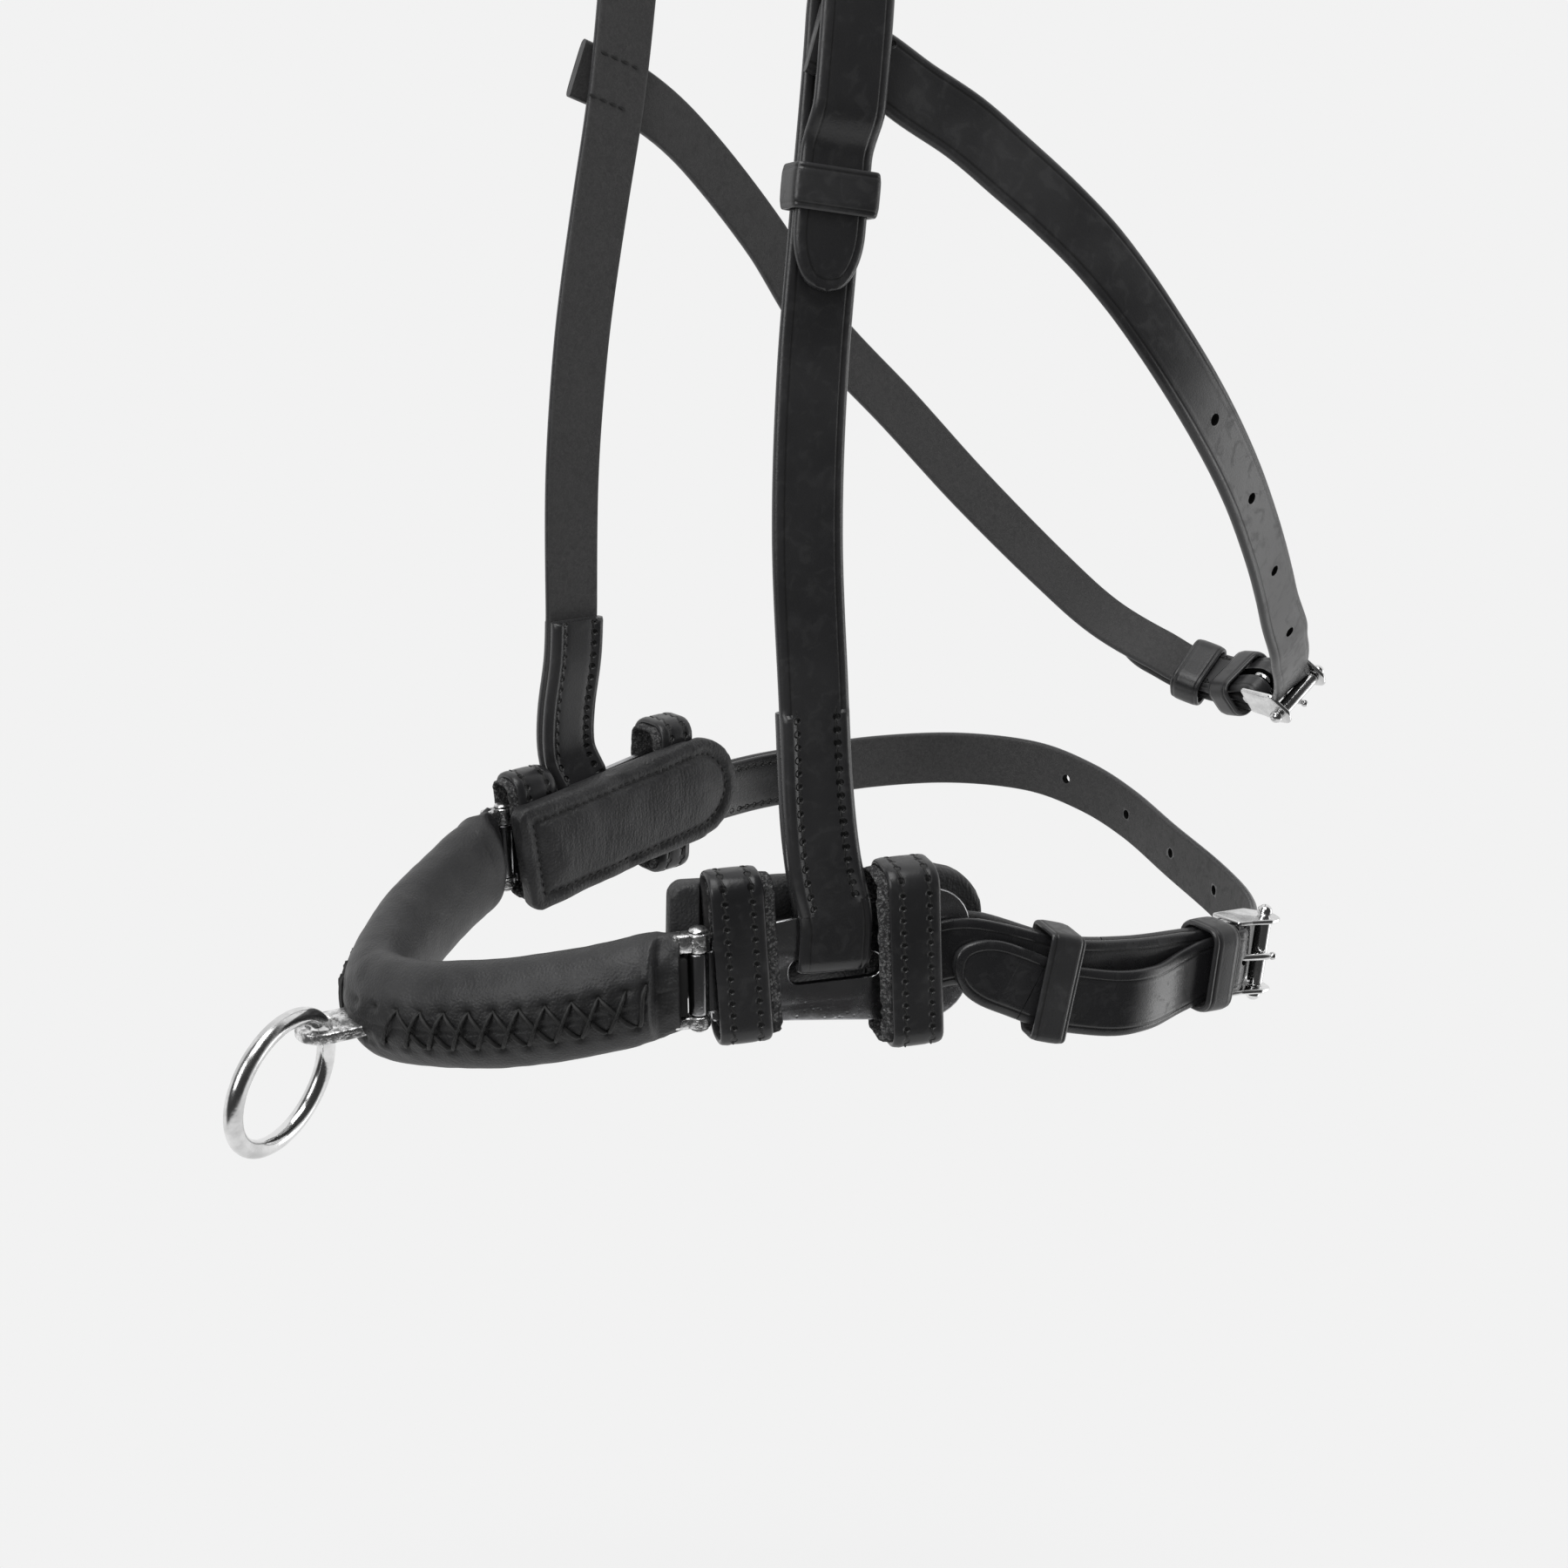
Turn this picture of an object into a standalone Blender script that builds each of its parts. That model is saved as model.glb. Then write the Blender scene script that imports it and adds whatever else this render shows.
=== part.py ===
"""Lunging cavesson for a horse: hinged nosepiece, side plates, cheek straps, jowl strap and chin strap.

Metres, +Z up, -Y towards the horse's nose, +X to the horse's left (the near side). The origin is the
poll: the underside of the crown strap, in the middle. All pieces hang from one empty at the middle of
the noseband, and sizes below are measured from there.
"""
import math

import bmesh
import bpy
from mathutils import Matrix, Vector

# The whole headstall
POLL_HEIGHT = 0.400          # poll above the middle of the noseband
POLL_BACK = 0.028            # poll behind the middle of the noseband
GAP = 0.0003                 # gap kept between pieces that touch
OVERRUN = 0.020              # how far a cut runs past the solid that it cuts
WELD = 0.000001              # points closer than this are one point

# Nosepiece
NOSE_HALF_WIDTH = 0.062      # centre line of the nosepiece at its ends
NOSE_REACH = 0.061           # centre line's front before its ends
NOSE_END_BACK = -0.042       # ends of the nosepiece, before the middle of the noseband
NOSE_END_HEIGHT = 0.003      # ends of the nosepiece above the middle of the noseband
NOSE_DIP = 0.0173            # how much lower the front lies than the ends
NOSE_SIDE_POWER = 1.28       # how straight the sides run
NOSE_FRONT_POWER = 1.56      # how blunt the front is
NOSE_DIP_POWER = 1.44
NOSE_THICKNESS = 0.0215      # padded tube, front to back
NOSE_TALL = 0.0312           # padded tube, top to bottom
COVER_WALL = 0.0016
NOSE_PLATE_END = -0.0004     # end of the cover, along the plate
PADDING_START = 0.0115       # padding's end before the cover's end
END_TAPER = 0.0100           # length over which the cover's inner side draws in at its end
END_DEPTH = 0.0043           # cover's inner side at its end, from the iron's middle
IRON_THICKNESS = 0.0027
IRON_TALL = 0.0160
IRON_SHOULDER = 0.0030        # iron widens to its eye this far before the pin
IRON_NECK = 0.0045
LACE_DIAMETER = 0.0012
LACE_CROSSES = 24            # crosses from end to end, round the front
LACE_HALF_SPREAD = 0.0058    # lace holes above and below the seam
LACE_OVER_TAB = 0.6          # share of the spread at which the lace passes the eye plate
LACE_ANGLE = -3.0            # seam below the middle of the tube's outer side, degrees
NOSE_STEPS = 14              # points of the centre line on each side of the front
NOSE_SWEEP = 75.0            # degrees from the front to where the centre line joins its plate

# Hinge between the nosepiece and a side plate
HINGE_HALF_WIDTH = 0.065     # plate line at the end of the nosepiece
NEAR_TOE = 15.0              # near plate spreads towards the rear, degrees
FAR_TOE = 10.0
FAR_DROP = 0.0030            # far plate hangs lower than the near one
PIN_ALONG = 0.0045           # pin behind the end of the nosepiece, along the plate
PIN_RADIUS = 0.0015
PIN_HEAD_RADIUS = 0.0026
PIN_HEAD_TALL = 0.0012
EYE_WALL = 0.0014
BARREL_TOP = 0.011
BARREL_BOTTOM = -0.007
EYE_TOP = 0.0168
EYE_BOTTOM = -0.0108

# Side plate
PLATE_THICKNESS = 0.0025
PLATE_LENGTH = 0.082         # from the end of the nosepiece to the plate's rear edge
PLATE_FRONT = 0.0080         # where the plate reaches its full height behind the barrel
PLATE_FRONT_TOP = 0.0155
PLATE_FRONT_BOTTOM = -0.0097
PLATE_REAR_TOP = 0.0235
PLATE_REAR_BOTTOM = -0.0183
PLATE_REAR_RADIUS = 0.0120
PLATE_CORNER_RADIUS = 0.0030
CHEEK_SLOT_START = 0.0295
CHEEK_SLOT_END = 0.0560
CHEEK_SLOT_BOTTOM = -0.0018
CHEEK_SLOT_TOP = 0.0056
CHIN_SLOT_MIDDLE = 0.0685
CHIN_SLOT_WIDTH = 0.0050
CHIN_SLOT_SPARE = 0.0012     # slot longer than the strap is wide, at each end

# Straps
CHEEK_WIDTH = 0.0194
CHEEK_FOLD_WIDTH = 0.0180
CHEEK_THICKNESS = 0.0030
JOWL_WIDTH = 0.0172
JOWL_THICKNESS = 0.0026
CHIN_WIDTH = 0.0200
CHIN_THICKNESS = 0.0026
STRAP_STEP = 0.0085
HOLE_RADIUS = 0.0017
TIP_LENGTH = 0.0150
TIP_BLUNT_SHARE = 0.22       # share of a strap's width left at the very tip

# Cheek straps: where each folds round its plate, and where its pieces meet
NEAR_FOLD_ALONG = 0.0430
FAR_FOLD_ALONG = 0.0415
FOLD_SEAM = 0.0240           # plain strap starts this far up from the fold
FOLD_STITCHED = 0.0700       # turned-back end reaches this far up
CHEEK_BUCKLE_PAST_JOWL = 0.0690   # hinge bar of the cheek buckle above the jowl strap's crossing
CHEEK_CHAPE = 0.0450
CHEEK_TIP_BELOW_JOWL = 0.0540
CHEEK_FIXED_KEEPER_PAST_JOWL = 0.0530
CHEEK_SLIDING_KEEPER_BELOW_JOWL = 0.0300
CHEEK_FIRST_HOLE = 0.0450    # first spare hole past the buckle's hinge bar
CHEEK_HOLE_SPACING = 0.0250
CHEEK_HOLES = 3

# Jowl strap
JOWL_JOIN_UP = 0.2310        # where it crosses the cheek strap
NEAR_JOWL_LAP = -0.0010      # its end past the cheek strap's front edge
FAR_JOWL_LAP = 0.0020
JOWL_HALF_WIDTH = 0.0905
JOWL_DEPTH = 0.2140
JOWL_LOW = 0.0350
JOWL_CHAPE = 0.0420
JOWL_BUCKLE_FROM_MIDDLE = 0.0150
JOWL_TIP_LENGTH = 0.0620     # tip past the buckle's hinge bar
JOWL_FIXED_KEEPER_BACK = 0.0112
JOWL_SLIDING_KEEPER_BACK = 0.0310
JOWL_FIRST_HOLE = 0.0410     # first spare hole past the buckle's hinge bar
JOWL_HOLE_SPACING = 0.0350
JOWL_HOLES = 5

# Chin strap
CHIN_HALF_WIDTH = 0.0970
CHIN_DEPTH = 0.1860
CHIN_DROP = 0.0210
CHIN_SEAM = 0.0340           # plain strap starts this far behind the plate's slot
CHIN_TURNED_END = 0.0560     # turned-back end reaches this far behind the slot
CHIN_BUCKLE_BACK = 0.1065    # hinge bar of the chin buckle behind the near plate's slot
CHIN_TIP_BACK = 0.0070       # tip of the billet behind the near plate's slot
CHIN_FIXED_KEEPER_BACK = 0.0955
CHIN_SLIDING_KEEPER_BACK = 0.0395
CHIN_FIRST_HOLE = 0.0300     # first spare hole past the buckle's hinge bar
CHIN_HOLE_SPACING = 0.0338
CHIN_HOLES = 5
CHIN_SAG = 0.0075            # how far the billet sags below the strap that it lies on
CHIN_KEEPER_ROOM = 0.0012    # room above and below the straps in the keepers

# Buckles: two side arms, a hinge bar in the strap's fold, and a roller on a ball-ended pin
BAR_RADIUS = 0.0017
ROLLER_REACH = 0.0140
ROLLER_RISE = 0.0036
ROLLER_RADIUS = 0.0024
ROLLER_PIN_RADIUS = 0.0013
BALL_RADIUS = 0.0022
ARM_THICKNESS = 0.0015
ARM_RADIUS = 0.0031
ARM_TAIL = 0.0020
BUCKLE_SIDE_ROOM = 0.0004
TONGUE_RADIUS = 0.0011
TONGUE_OVERHANG = 0.0020
TONGUE_SLOT_ROOM = 0.0006
TONGUE_HOLE_ROOM = 0.0012

# Keepers on the straps
KEEPER_THICKNESS = 0.0016
KEEPER_WIDTH = 0.0105
SLIDING_KEEPER_WIDTH = 0.0125
KEEPER_CORNER = 0.0012
SLIDING_ROOM = 0.0011

# Pads inside the plates, and the padded keepers that hold them
PAD_LENGTH = 0.0915
PAD_TALL = 0.0340
PAD_THICKNESS = 0.0105
PAD_FRONT_RADIUS = 0.0045
NEAR_PAD_START = -0.0007
NEAR_PAD_HEIGHT = 0.0105
NEAR_PAD_TILT = -2.0
FAR_PAD_START = 0.0030
FAR_PAD_HEIGHT = 0.0005
FAR_PAD_TILT = 8.0
LOOP_THICKNESS = 0.0034
LOOP_WIDTH = 0.0160
LOOP_CORNER = 0.0042
NEAR_LOOPS_ALONG = (0.0162, 0.0636)
FAR_LOOPS_ALONG = (0.0162, 0.0705)
LOOP_TOP_ROOM = 0.0020       # loop's inside above the pad
LOOP_BOTTOM_ROOM = 0.0040    # loop's inside below the plate

# Front eye and ring
TAB_RADIUS = 0.0078
TAB_THICKNESS = 0.0034
TAB_HEIGHT = -0.0180
TAB_HOLE_FORWARD = -0.1212
RING_MIDDLE_RADIUS = 0.0194
RING_WIRE_RADIUS = 0.0026
RING_TURN = 27.0             # ring turned to the near side, degrees
RING_DROOP = 29.0
RING_ROLL = -13.5

LEATHER = (0.042, 0.042, 0.044)
PADDED_LEATHER = (0.050, 0.050, 0.052)
FELT = (0.060, 0.060, 0.062)
THREAD = (0.020, 0.020, 0.020)
STEEL = (0.720, 0.720, 0.730)

SMOOTH_ANGLE = math.radians(35)

for old in list(bpy.data.objects):
    bpy.data.objects.remove(old)

parts = bpy.data.collections.new("cavesson")
cutters = bpy.data.collections.new("cutters")
bpy.context.scene.collection.children.link(parts)
bpy.context.scene.collection.children.link(cutters)

noseband_middle = bpy.data.objects.new("noseband_middle", None)
noseband_middle.location = (0, -POLL_BACK, -POLL_HEIGHT)
parts.objects.link(noseband_middle)


def material(name, colour, roughness, metallic):
    made = bpy.data.materials.get(name)
    if made is None:
        made = bpy.data.materials.new(name)
        made.use_nodes = True
        made.diffuse_color = (*colour, 1)
        shader = made.node_tree.nodes["Principled BSDF"]
        shader.inputs["Base Color"].default_value = (*colour, 1)
        shader.inputs["Roughness"].default_value = roughness
        shader.inputs["Metallic"].default_value = metallic
    return made


level_axes = (Vector((1, 0, 0)), Vector((0, 1, 0)), Vector((0, 0, 1)))

# Finishes: name of the finish, colour, roughness, metallic
FINISHES = {
    "leather": (LEATHER, 0.38, 0),
    "padded_leather": (PADDED_LEATHER, 0.62, 0),
    "felt": (FELT, 0.95, 0),
    "thread": (THREAD, 0.70, 0),
    "steel": (STEEL, 0.22, 1),
}


# Making and placing objects

def finish(obj, finish_name):
    """Gives the object its own material, and smooth shading broken at sharp edges."""
    obj.data.materials.clear()
    obj.data.materials.append(material(obj.name + "_" + finish_name, *FINISHES[finish_name]))
    if obj.type == "MESH":
        obj.data.shade_smooth()
        obj.data.set_sharp_from_angle(angle=SMOOTH_ANGLE)
    return obj


def mesh_object(name, bm, collection=parts):
    mesh = bpy.data.meshes.new(name)
    bm.to_mesh(mesh)
    bm.free()
    obj = bpy.data.objects.new(name, mesh)
    collection.objects.link(obj)
    return obj


def cutter(name, bm):
    obj = mesh_object(name, bm, cutters)
    obj.hide_render = True
    obj.display_type = "WIRE"
    return obj


def boolean(target, operand, operation="DIFFERENCE"):
    step = target.modifiers.new(operation.lower(), "BOOLEAN")
    step.operation = operation
    step.solver = "EXACT"
    step.object = operand


def solidify(obj, thickness, offset=0.0):
    wall = obj.modifiers.new("wall", "SOLIDIFY")
    wall.thickness = thickness
    wall.offset = offset
    wall.use_even_offset = True


def baked(obj):
    """The object's shape with its modifiers applied, as a new mesh; the object itself is removed."""
    bpy.context.view_layer.update()
    evaluated = obj.evaluated_get(bpy.context.evaluated_depsgraph_get())
    mesh = bpy.data.meshes.new_from_object(evaluated)
    bm = bmesh.new()
    bm.from_mesh(mesh)
    bm.transform(obj.matrix_world)
    bmesh.ops.remove_doubles(bm, verts=bm.verts, dist=WELD)
    bmesh.ops.recalc_face_normals(bm, faces=bm.faces)
    bpy.data.objects.remove(obj)
    return bm


def hang(obj, origin):
    """Hangs the object from the noseband's middle, with its own origin at the given point."""
    obj.data.transform(Matrix.Translation(-origin))
    obj.parent = noseband_middle
    obj.location = origin
    return obj


def put(name, bm, axes, origin, finish_name):
    """Places a shape made in its own axes: columns of axes are where its x, y and z point."""
    turn = Matrix((axes[0], axes[1], axes[2])).transposed()
    bm.transform(turn.to_4x4())
    if turn.determinant() < 0:
        bmesh.ops.reverse_faces(bm, faces=bm.faces)
    obj = mesh_object(name, bm)
    obj.parent = noseband_middle
    obj.location = origin
    return finish(obj, finish_name)


def cylinder(radius, length, middle=(0, 0, 0), axis="Z", segments=24):
    bm = bmesh.new()
    bmesh.ops.create_cone(bm, cap_ends=True, segments=segments, radius1=radius, radius2=radius,
                          depth=length)
    if axis == "Y":
        bm.transform(Matrix.Rotation(math.radians(90), 4, "X"))
    if axis == "X":
        bm.transform(Matrix.Rotation(math.radians(90), 4, "Y"))
    bm.transform(Matrix.Translation(middle))
    return bm


def block(low, high):
    bm = bmesh.new()
    bmesh.ops.create_cube(bm, size=1)
    low, high = Vector(low), Vector(high)
    for vert in bm.verts:
        for k in range(3):
            vert.co[k] = high[k] if vert.co[k] > 0 else low[k]
    return bm


def capsule(radius, start, end, half_thickness, segments=20):
    """A flat bar with round ends, in the X-Z plane, thick along Y."""
    bm = cylinder(radius, 2 * half_thickness, axis="Y", segments=segments)
    reach = Vector((end[0] - start[0], 0, end[1] - start[1]))
    along = reach.normalized()
    for vert in bm.verts:
        flat = Vector((vert.co.x, 0, vert.co.z))
        vert.co += Vector((start[0], 0, start[1]))
        if flat.dot(along) > 0:
            vert.co += reach
    return bm


def turned(name, profile, steps):
    """A closed outline of (radius, height) turned round Z."""
    bm = bmesh.new()
    verts = [bm.verts.new((r, 0, z)) for r, z in profile]
    closed = profile[0][0] > 0
    for a, b in zip(verts, verts[1:] + (verts[:1] if closed else [])):
        bm.edges.new((a, b))
    obj = mesh_object(name, bm)
    screw = obj.modifiers.new("turn", "SCREW")
    screw.steps = steps
    screw.render_steps = steps
    screw.use_merge_vertices = True
    screw.merge_threshold = WELD
    screw.use_normal_calculate = True
    return obj


# Routes that straps follow

class Route:
    """A smooth line through points, with the direction that faces away from the horse at each."""

    SAMPLES = 12

    def __init__(self, points, outward):
        self.places, self.faces, self.lengths = [], [], []
        padded = [points[0] * 2 - points[1]] + list(points) + [points[-1] * 2 - points[-2]]
        for i in range(len(points) - 1):
            last = i == len(points) - 2
            for k in range(self.SAMPLES + last):
                t = k / self.SAMPLES
                self.places.append(between(*padded[i:i + 4], t))
                self.faces.append(outward[i].lerp(outward[i + 1], t))
        total = 0
        for i, place in enumerate(self.places):
            total += (place - self.places[i - 1]).length if i else 0
            self.lengths.append(total)
        self.length = total

    def at(self, s):
        """Place, direction along, direction across and outward direction at length s."""
        i = 1
        while i < len(self.lengths) - 1 and self.lengths[i] < s:
            i += 1
        a, b = self.places[i - 1], self.places[i]
        share = (s - self.lengths[i - 1]) / (self.lengths[i] - self.lengths[i - 1])
        before = self.places[max(i - 2, 0)]
        after = self.places[min(i + 1, len(self.places) - 1)]
        held = min(max(share, 0), 1)
        along = (b - before).lerp(after - a, held).normalized()
        face = self.faces[i - 1].lerp(self.faces[i], held)
        across = along.cross(face).normalized()
        return a.lerp(b, share), along, across, across.cross(along)

    def facing(self, s):
        """The given outward direction at length s, not squared up with the direction along."""
        i = min(sum(k < s for k in self.lengths), len(self.faces) - 1)
        step = self.lengths[i] - self.lengths[i - 1] if i else 1
        before = self.faces[max(i - 1, 0)]
        return before.lerp(self.faces[i], min(max((s - self.lengths[max(i - 1, 0)]) / step, 0), 1))

    def nearest(self, point):
        """Length along the route of its sample nearest to a point."""
        gaps = [(place - point).length for place in self.places]
        return self.lengths[gaps.index(min(gaps))]


def between(a, b, c, d, t):
    """Point on the smooth curve from b to c."""
    return 0.5 * (2 * b + (c - a) * t + (2 * a - 5 * b + 4 * c - d) * t ** 2
                  + (3 * b - a - 3 * c + d) * t ** 3)


def run(start, end, height, end_height=None, step=STRAP_STEP):
    """Points (length, height above the route) of a stretch of strap, easing to its end height."""
    end_height = height if end_height is None else end_height
    count = max(1, math.ceil(abs(end - start) / step))
    made = []
    for i in range(count + 1):
        t = i / count
        ease = t * t * (3 - 2 * t)
        made.append((start + (end - start) * t, height + (end_height - height) * ease))
    return made


def arc(middle, radius, start, end, steps=5):
    made = []
    for i in range(steps + 1):
        a = math.radians(start + (end - start) * i / steps)
        made.append((middle[0] + radius * math.cos(a), middle[1] + radius * math.sin(a)))
    return made


def joined(*stretches):
    """One line of points from several stretches, without points that repeat."""
    line = [stretches[0][0]]
    for stretch in stretches:
        for point in stretch:
            if math.dist(point, line[-1]) > GAP:
                line.append(point)
    return line


def eased(stops, s):
    """Value at s, easing between stops of (length, value)."""
    for (s0, v0), (s1, v1) in zip(stops, stops[1:]):
        if s <= s1:
            t = max((s - s0) / (s1 - s0), 0)
            return v0 + (v1 - v0) * t * t * (3 - 2 * t)
    return stops[-1][1]


def strap(name, route, line, width, thickness, tip=0.0, sag=((0, 0), (1, 0))):
    """A flat strap along a route: a sheet of quads with a wall, narrowed to a rounded tip."""
    count = len(line) - 1
    bm = bmesh.new()
    bmesh.ops.create_grid(bm, x_segments=count, y_segments=1, size=0.5)
    walked = [0.0]
    for a, b in zip(line, line[1:]):
        walked.append(walked[-1] + math.dist(a, b))
    for vert in bm.verts:
        i = round((vert.co.x + 0.5) * count)
        side = 1 if vert.co.y > 0 else -1
        s, height = line[i]
        place, along, across, outward = route.at(s)
        half = width / 2
        if walked[i] < tip:
            rise = math.sqrt(1 - (1 - walked[i] / tip) ** 2)
            half *= TIP_BLUNT_SHARE + (1 - TIP_BLUNT_SHARE) * rise
        vert.co = place + outward * height + across * (side * half + eased(sag, s))
    obj = mesh_object(name, bm)
    solidify(obj, thickness)
    hang(obj, route.at(line[0][0])[0])
    return finish(obj, "leather")


def punch(obj, route, s, radius, height=0.0, long_radius=None):
    """A hole through a strap, round or drawn out along it."""
    place, along, across, outward = route.at(s)
    bm = cylinder(radius, OVERRUN, segments=12)
    for vert in bm.verts:
        vert.co.x *= (long_radius or radius) / radius
    bm.transform(Matrix((along, across, -outward)).transposed().to_4x4())
    hole = cutter(obj.name + "_hole", bm)
    if (Matrix((along, across, -outward)).determinant()) < 0:
        hole.data.flip_normals()
    hole.parent = noseband_middle
    hole.location = place + outward * height
    boolean(obj, hole)


def band(name, frame, inside, thickness, width, finish_name, corner=KEEPER_CORNER, origin=None):
    """A loop of leather: inside gives its low and high corners across and outward."""
    (low_w, low_n), (high_w, high_n) = inside
    half = thickness / 2
    path = rounded([(low_w - half, low_n - half), (high_w + half, low_n - half),
                    (high_w + half, high_n + half), (low_w - half, high_n + half)],
                   [corner + half] * 4, 3)
    bm = bmesh.new()
    bmesh.ops.create_cone(bm, cap_ends=False, segments=len(path), radius1=1, radius2=1, depth=1)
    for vert in bm.verts:
        turn = math.atan2(vert.co.y, vert.co.x) / math.tau * len(path)
        place, along, across, outward = frame(width / 2 if vert.co.z > 0 else -width / 2)
        w, n = path[round(turn) % len(path)]
        vert.co = place + across * w + outward * n
    obj = mesh_object(name, bm)
    solidify(obj, thickness)
    hang(obj, origin or frame(0)[0])
    return finish(obj, finish_name)


def rounded(corners, radii, steps):
    """An outline with its corners turned to arcs."""
    made = []
    count = len(corners)
    for i, corner in enumerate(corners):
        here = Vector(corner)
        to_last = (Vector(corners[i - 1]) - here).normalized()
        to_next = (Vector(corners[(i + 1) % count]) - here).normalized()
        half_angle = to_last.angle(to_next) / 2
        back = radii[i] / math.tan(half_angle)
        middle = here + (to_last + to_next).normalized() * (radii[i] / math.sin(half_angle))
        start = here + to_last * back - middle
        sweep = start.angle_signed(here + to_next * back - middle)
        for k in range(steps + 1):
            turn = Matrix.Rotation(-sweep * k / steps, 2)
            made.append(tuple(middle + turn @ start))
    return made


# Where things are

def plate_axes(side):
    """Along the plate, outward from it, and up. side is 1 for the near plate and -1 for the far one."""
    toe = math.radians(NEAR_TOE if side > 0 else FAR_TOE)
    along = Vector((side * math.sin(toe), math.cos(toe), 0))
    outward = Vector((side * math.cos(toe), -math.sin(toe), 0))
    return along, outward, Vector((0, 0, 1))


def plate_point(side, along, outward=0.0, up=0.0):
    a, o, z = plate_axes(side)
    start = Vector((side * HINGE_HALF_WIDTH, NOSE_END_BACK, 0 if side > 0 else -FAR_DROP))
    return start + a * along + o * outward + z * up


def pin_place(side):
    return plate_point(side, PIN_ALONG)


# Height of the middle of the cheek strap's fold, which hooks under the plate's bar
fold_radius = PLATE_THICKNESS / 2 + GAP + CHEEK_THICKNESS / 2 + GAP
fold_height = CHEEK_SLOT_TOP + GAP

# Cheek strap from the plate to the poll: shares of the spread, of the way back and of the height
cheek_route_shares = [
    (1.000, 0.00, 0.000), (1.000, 0.01, 0.030), (0.996, -0.10, 0.065), (0.974, -0.145, 0.100),
    (0.944, -0.155, 0.140), (0.928, -0.17, 0.190), (0.882, -0.16, 0.291), (0.843, -0.05, 0.392),
    (0.813, 0.13, 0.494), (0.774, 0.33, 0.595), (0.735, 0.47, 0.696), (0.690, 0.61, 0.800),
    (0.560, 0.77, 0.900), (0.330, 0.92, 0.975),
]


def cheek_points(side, fold_along):
    low = plate_point(side, fold_along, fold_radius, fold_height)
    return [Vector((low.x * x, low.y + (POLL_BACK - low.y) * y, low.z + (crown_height - low.z) * z))
            for x, y, z in cheek_route_shares]


crown_height = POLL_HEIGHT + CHEEK_THICKNESS / 2
near_cheek = cheek_points(1, NEAR_FOLD_ALONG)
far_cheek = cheek_points(-1, FAR_FOLD_ALONG)
head_points = near_cheek + [Vector((0, POLL_BACK, crown_height))] + far_cheek[::-1]


def strap_faces(points, across_directions):
    """Outward directions of a strap whose width lies along the given directions."""
    faces = []
    for i, across in enumerate(across_directions):
        along = points[min(i + 1, len(points) - 1)] - points[max(i - 1, 0)]
        faces.append(across.cross(along).normalized())
    return faces


def head_across(point):
    turn = math.radians(NEAR_TOE if point.x > 0 else FAR_TOE) * (1 - point.z / crown_height)
    return Vector((math.copysign(math.sin(turn), point.x), math.cos(turn), 0))


head = Route(head_points, strap_faces(head_points, [head_across(p) for p in head_points]))

# Jowl strap: shares of its half width, its depth and its height above its lowest point
jowl_side_shares = [
    (0.805, 0.187, 0.915), (0.920, 0.335, 0.775), (0.990, 0.459, 0.620), (0.925, 0.598, 0.468),
    (0.815, 0.716, 0.323), (0.650, 0.838, 0.175),
]
jowl_low_shares = [
    (-0.500, 0.915, 0.085), (-0.280, 0.980, 0.028), (-0.090, 1.016, 0.005), (0.090, 1.014, 0.015),
    (0.265, 1.013, 0.0245), (0.420, 1.011, 0.033), (0.514, 0.977, 0.0575), (0.575, 0.918, 0.1025),
]
# Outward directions of the jowl strap at those points
jowl_side_faces = [
    (0.95, 0.05, -0.16), (0.95, 0.12, -0.18), (0.92, 0.25, -0.22), (0.90, 0.34, -0.26),
    (0.86, 0.38, -0.34), (0.74, 0.42, -0.52),
]
jowl_low_faces = [
    (-0.50, 0.52, -0.70), (-0.25, 0.57, -0.78), (0.08, 0.56, -0.825), (0.08, 0.56, -0.825),
    (0.08, 0.56, -0.825), (0.10, 0.56, -0.825), (0.35, 0.54, -0.765), (0.50, 0.53, -0.68),
]

jowl_join_height = CHEEK_THICKNESS / 2 + 3 * GAP + JOWL_THICKNESS / 2


def jowl_ends(side):
    """The two points where the jowl strap lies across the outer face of the cheek strap."""
    s = JOWL_JOIN_UP if side > 0 else head.length - JOWL_JOIN_UP
    place, along, across, outward = head.at(s)
    lap = CHEEK_WIDTH / 2 + (NEAR_JOWL_LAP if side > 0 else FAR_JOWL_LAP)
    slope = Vector((0, 0, CHEEK_WIDTH / 4))
    front = place + outward * jowl_join_height - across * lap + slope
    rear = place + outward * (jowl_join_height + 3 * GAP) + across * CHEEK_WIDTH / 2
    return [(front, outward), (rear, outward)]


def jowl_point(share, side, top):
    x, y, z = share
    return Vector((side * x * JOWL_HALF_WIDTH, y * JOWL_DEPTH, JOWL_LOW + z * (top - JOWL_LOW)))


far_ends = jowl_ends(-1)
near_ends = jowl_ends(1)
jowl_top = near_ends[1][0].z
far_side = [(jowl_point(p, -1, jowl_top), Vector((-f[0], f[1], f[2])))
            for p, f in zip(jowl_side_shares, jowl_side_faces)]
near_side = [(jowl_point(p, 1, jowl_top), Vector(f))
             for p, f in zip(jowl_side_shares, jowl_side_faces)]
low_side = [(jowl_point(p, 1, jowl_top), Vector(f))
            for p, f in zip(jowl_low_shares, jowl_low_faces)]
jowl_line = far_ends + far_side + low_side + near_side[::-1] + near_ends[::-1]
jowl = Route([p for p, f in jowl_line], [f for p, f in jowl_line])

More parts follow.
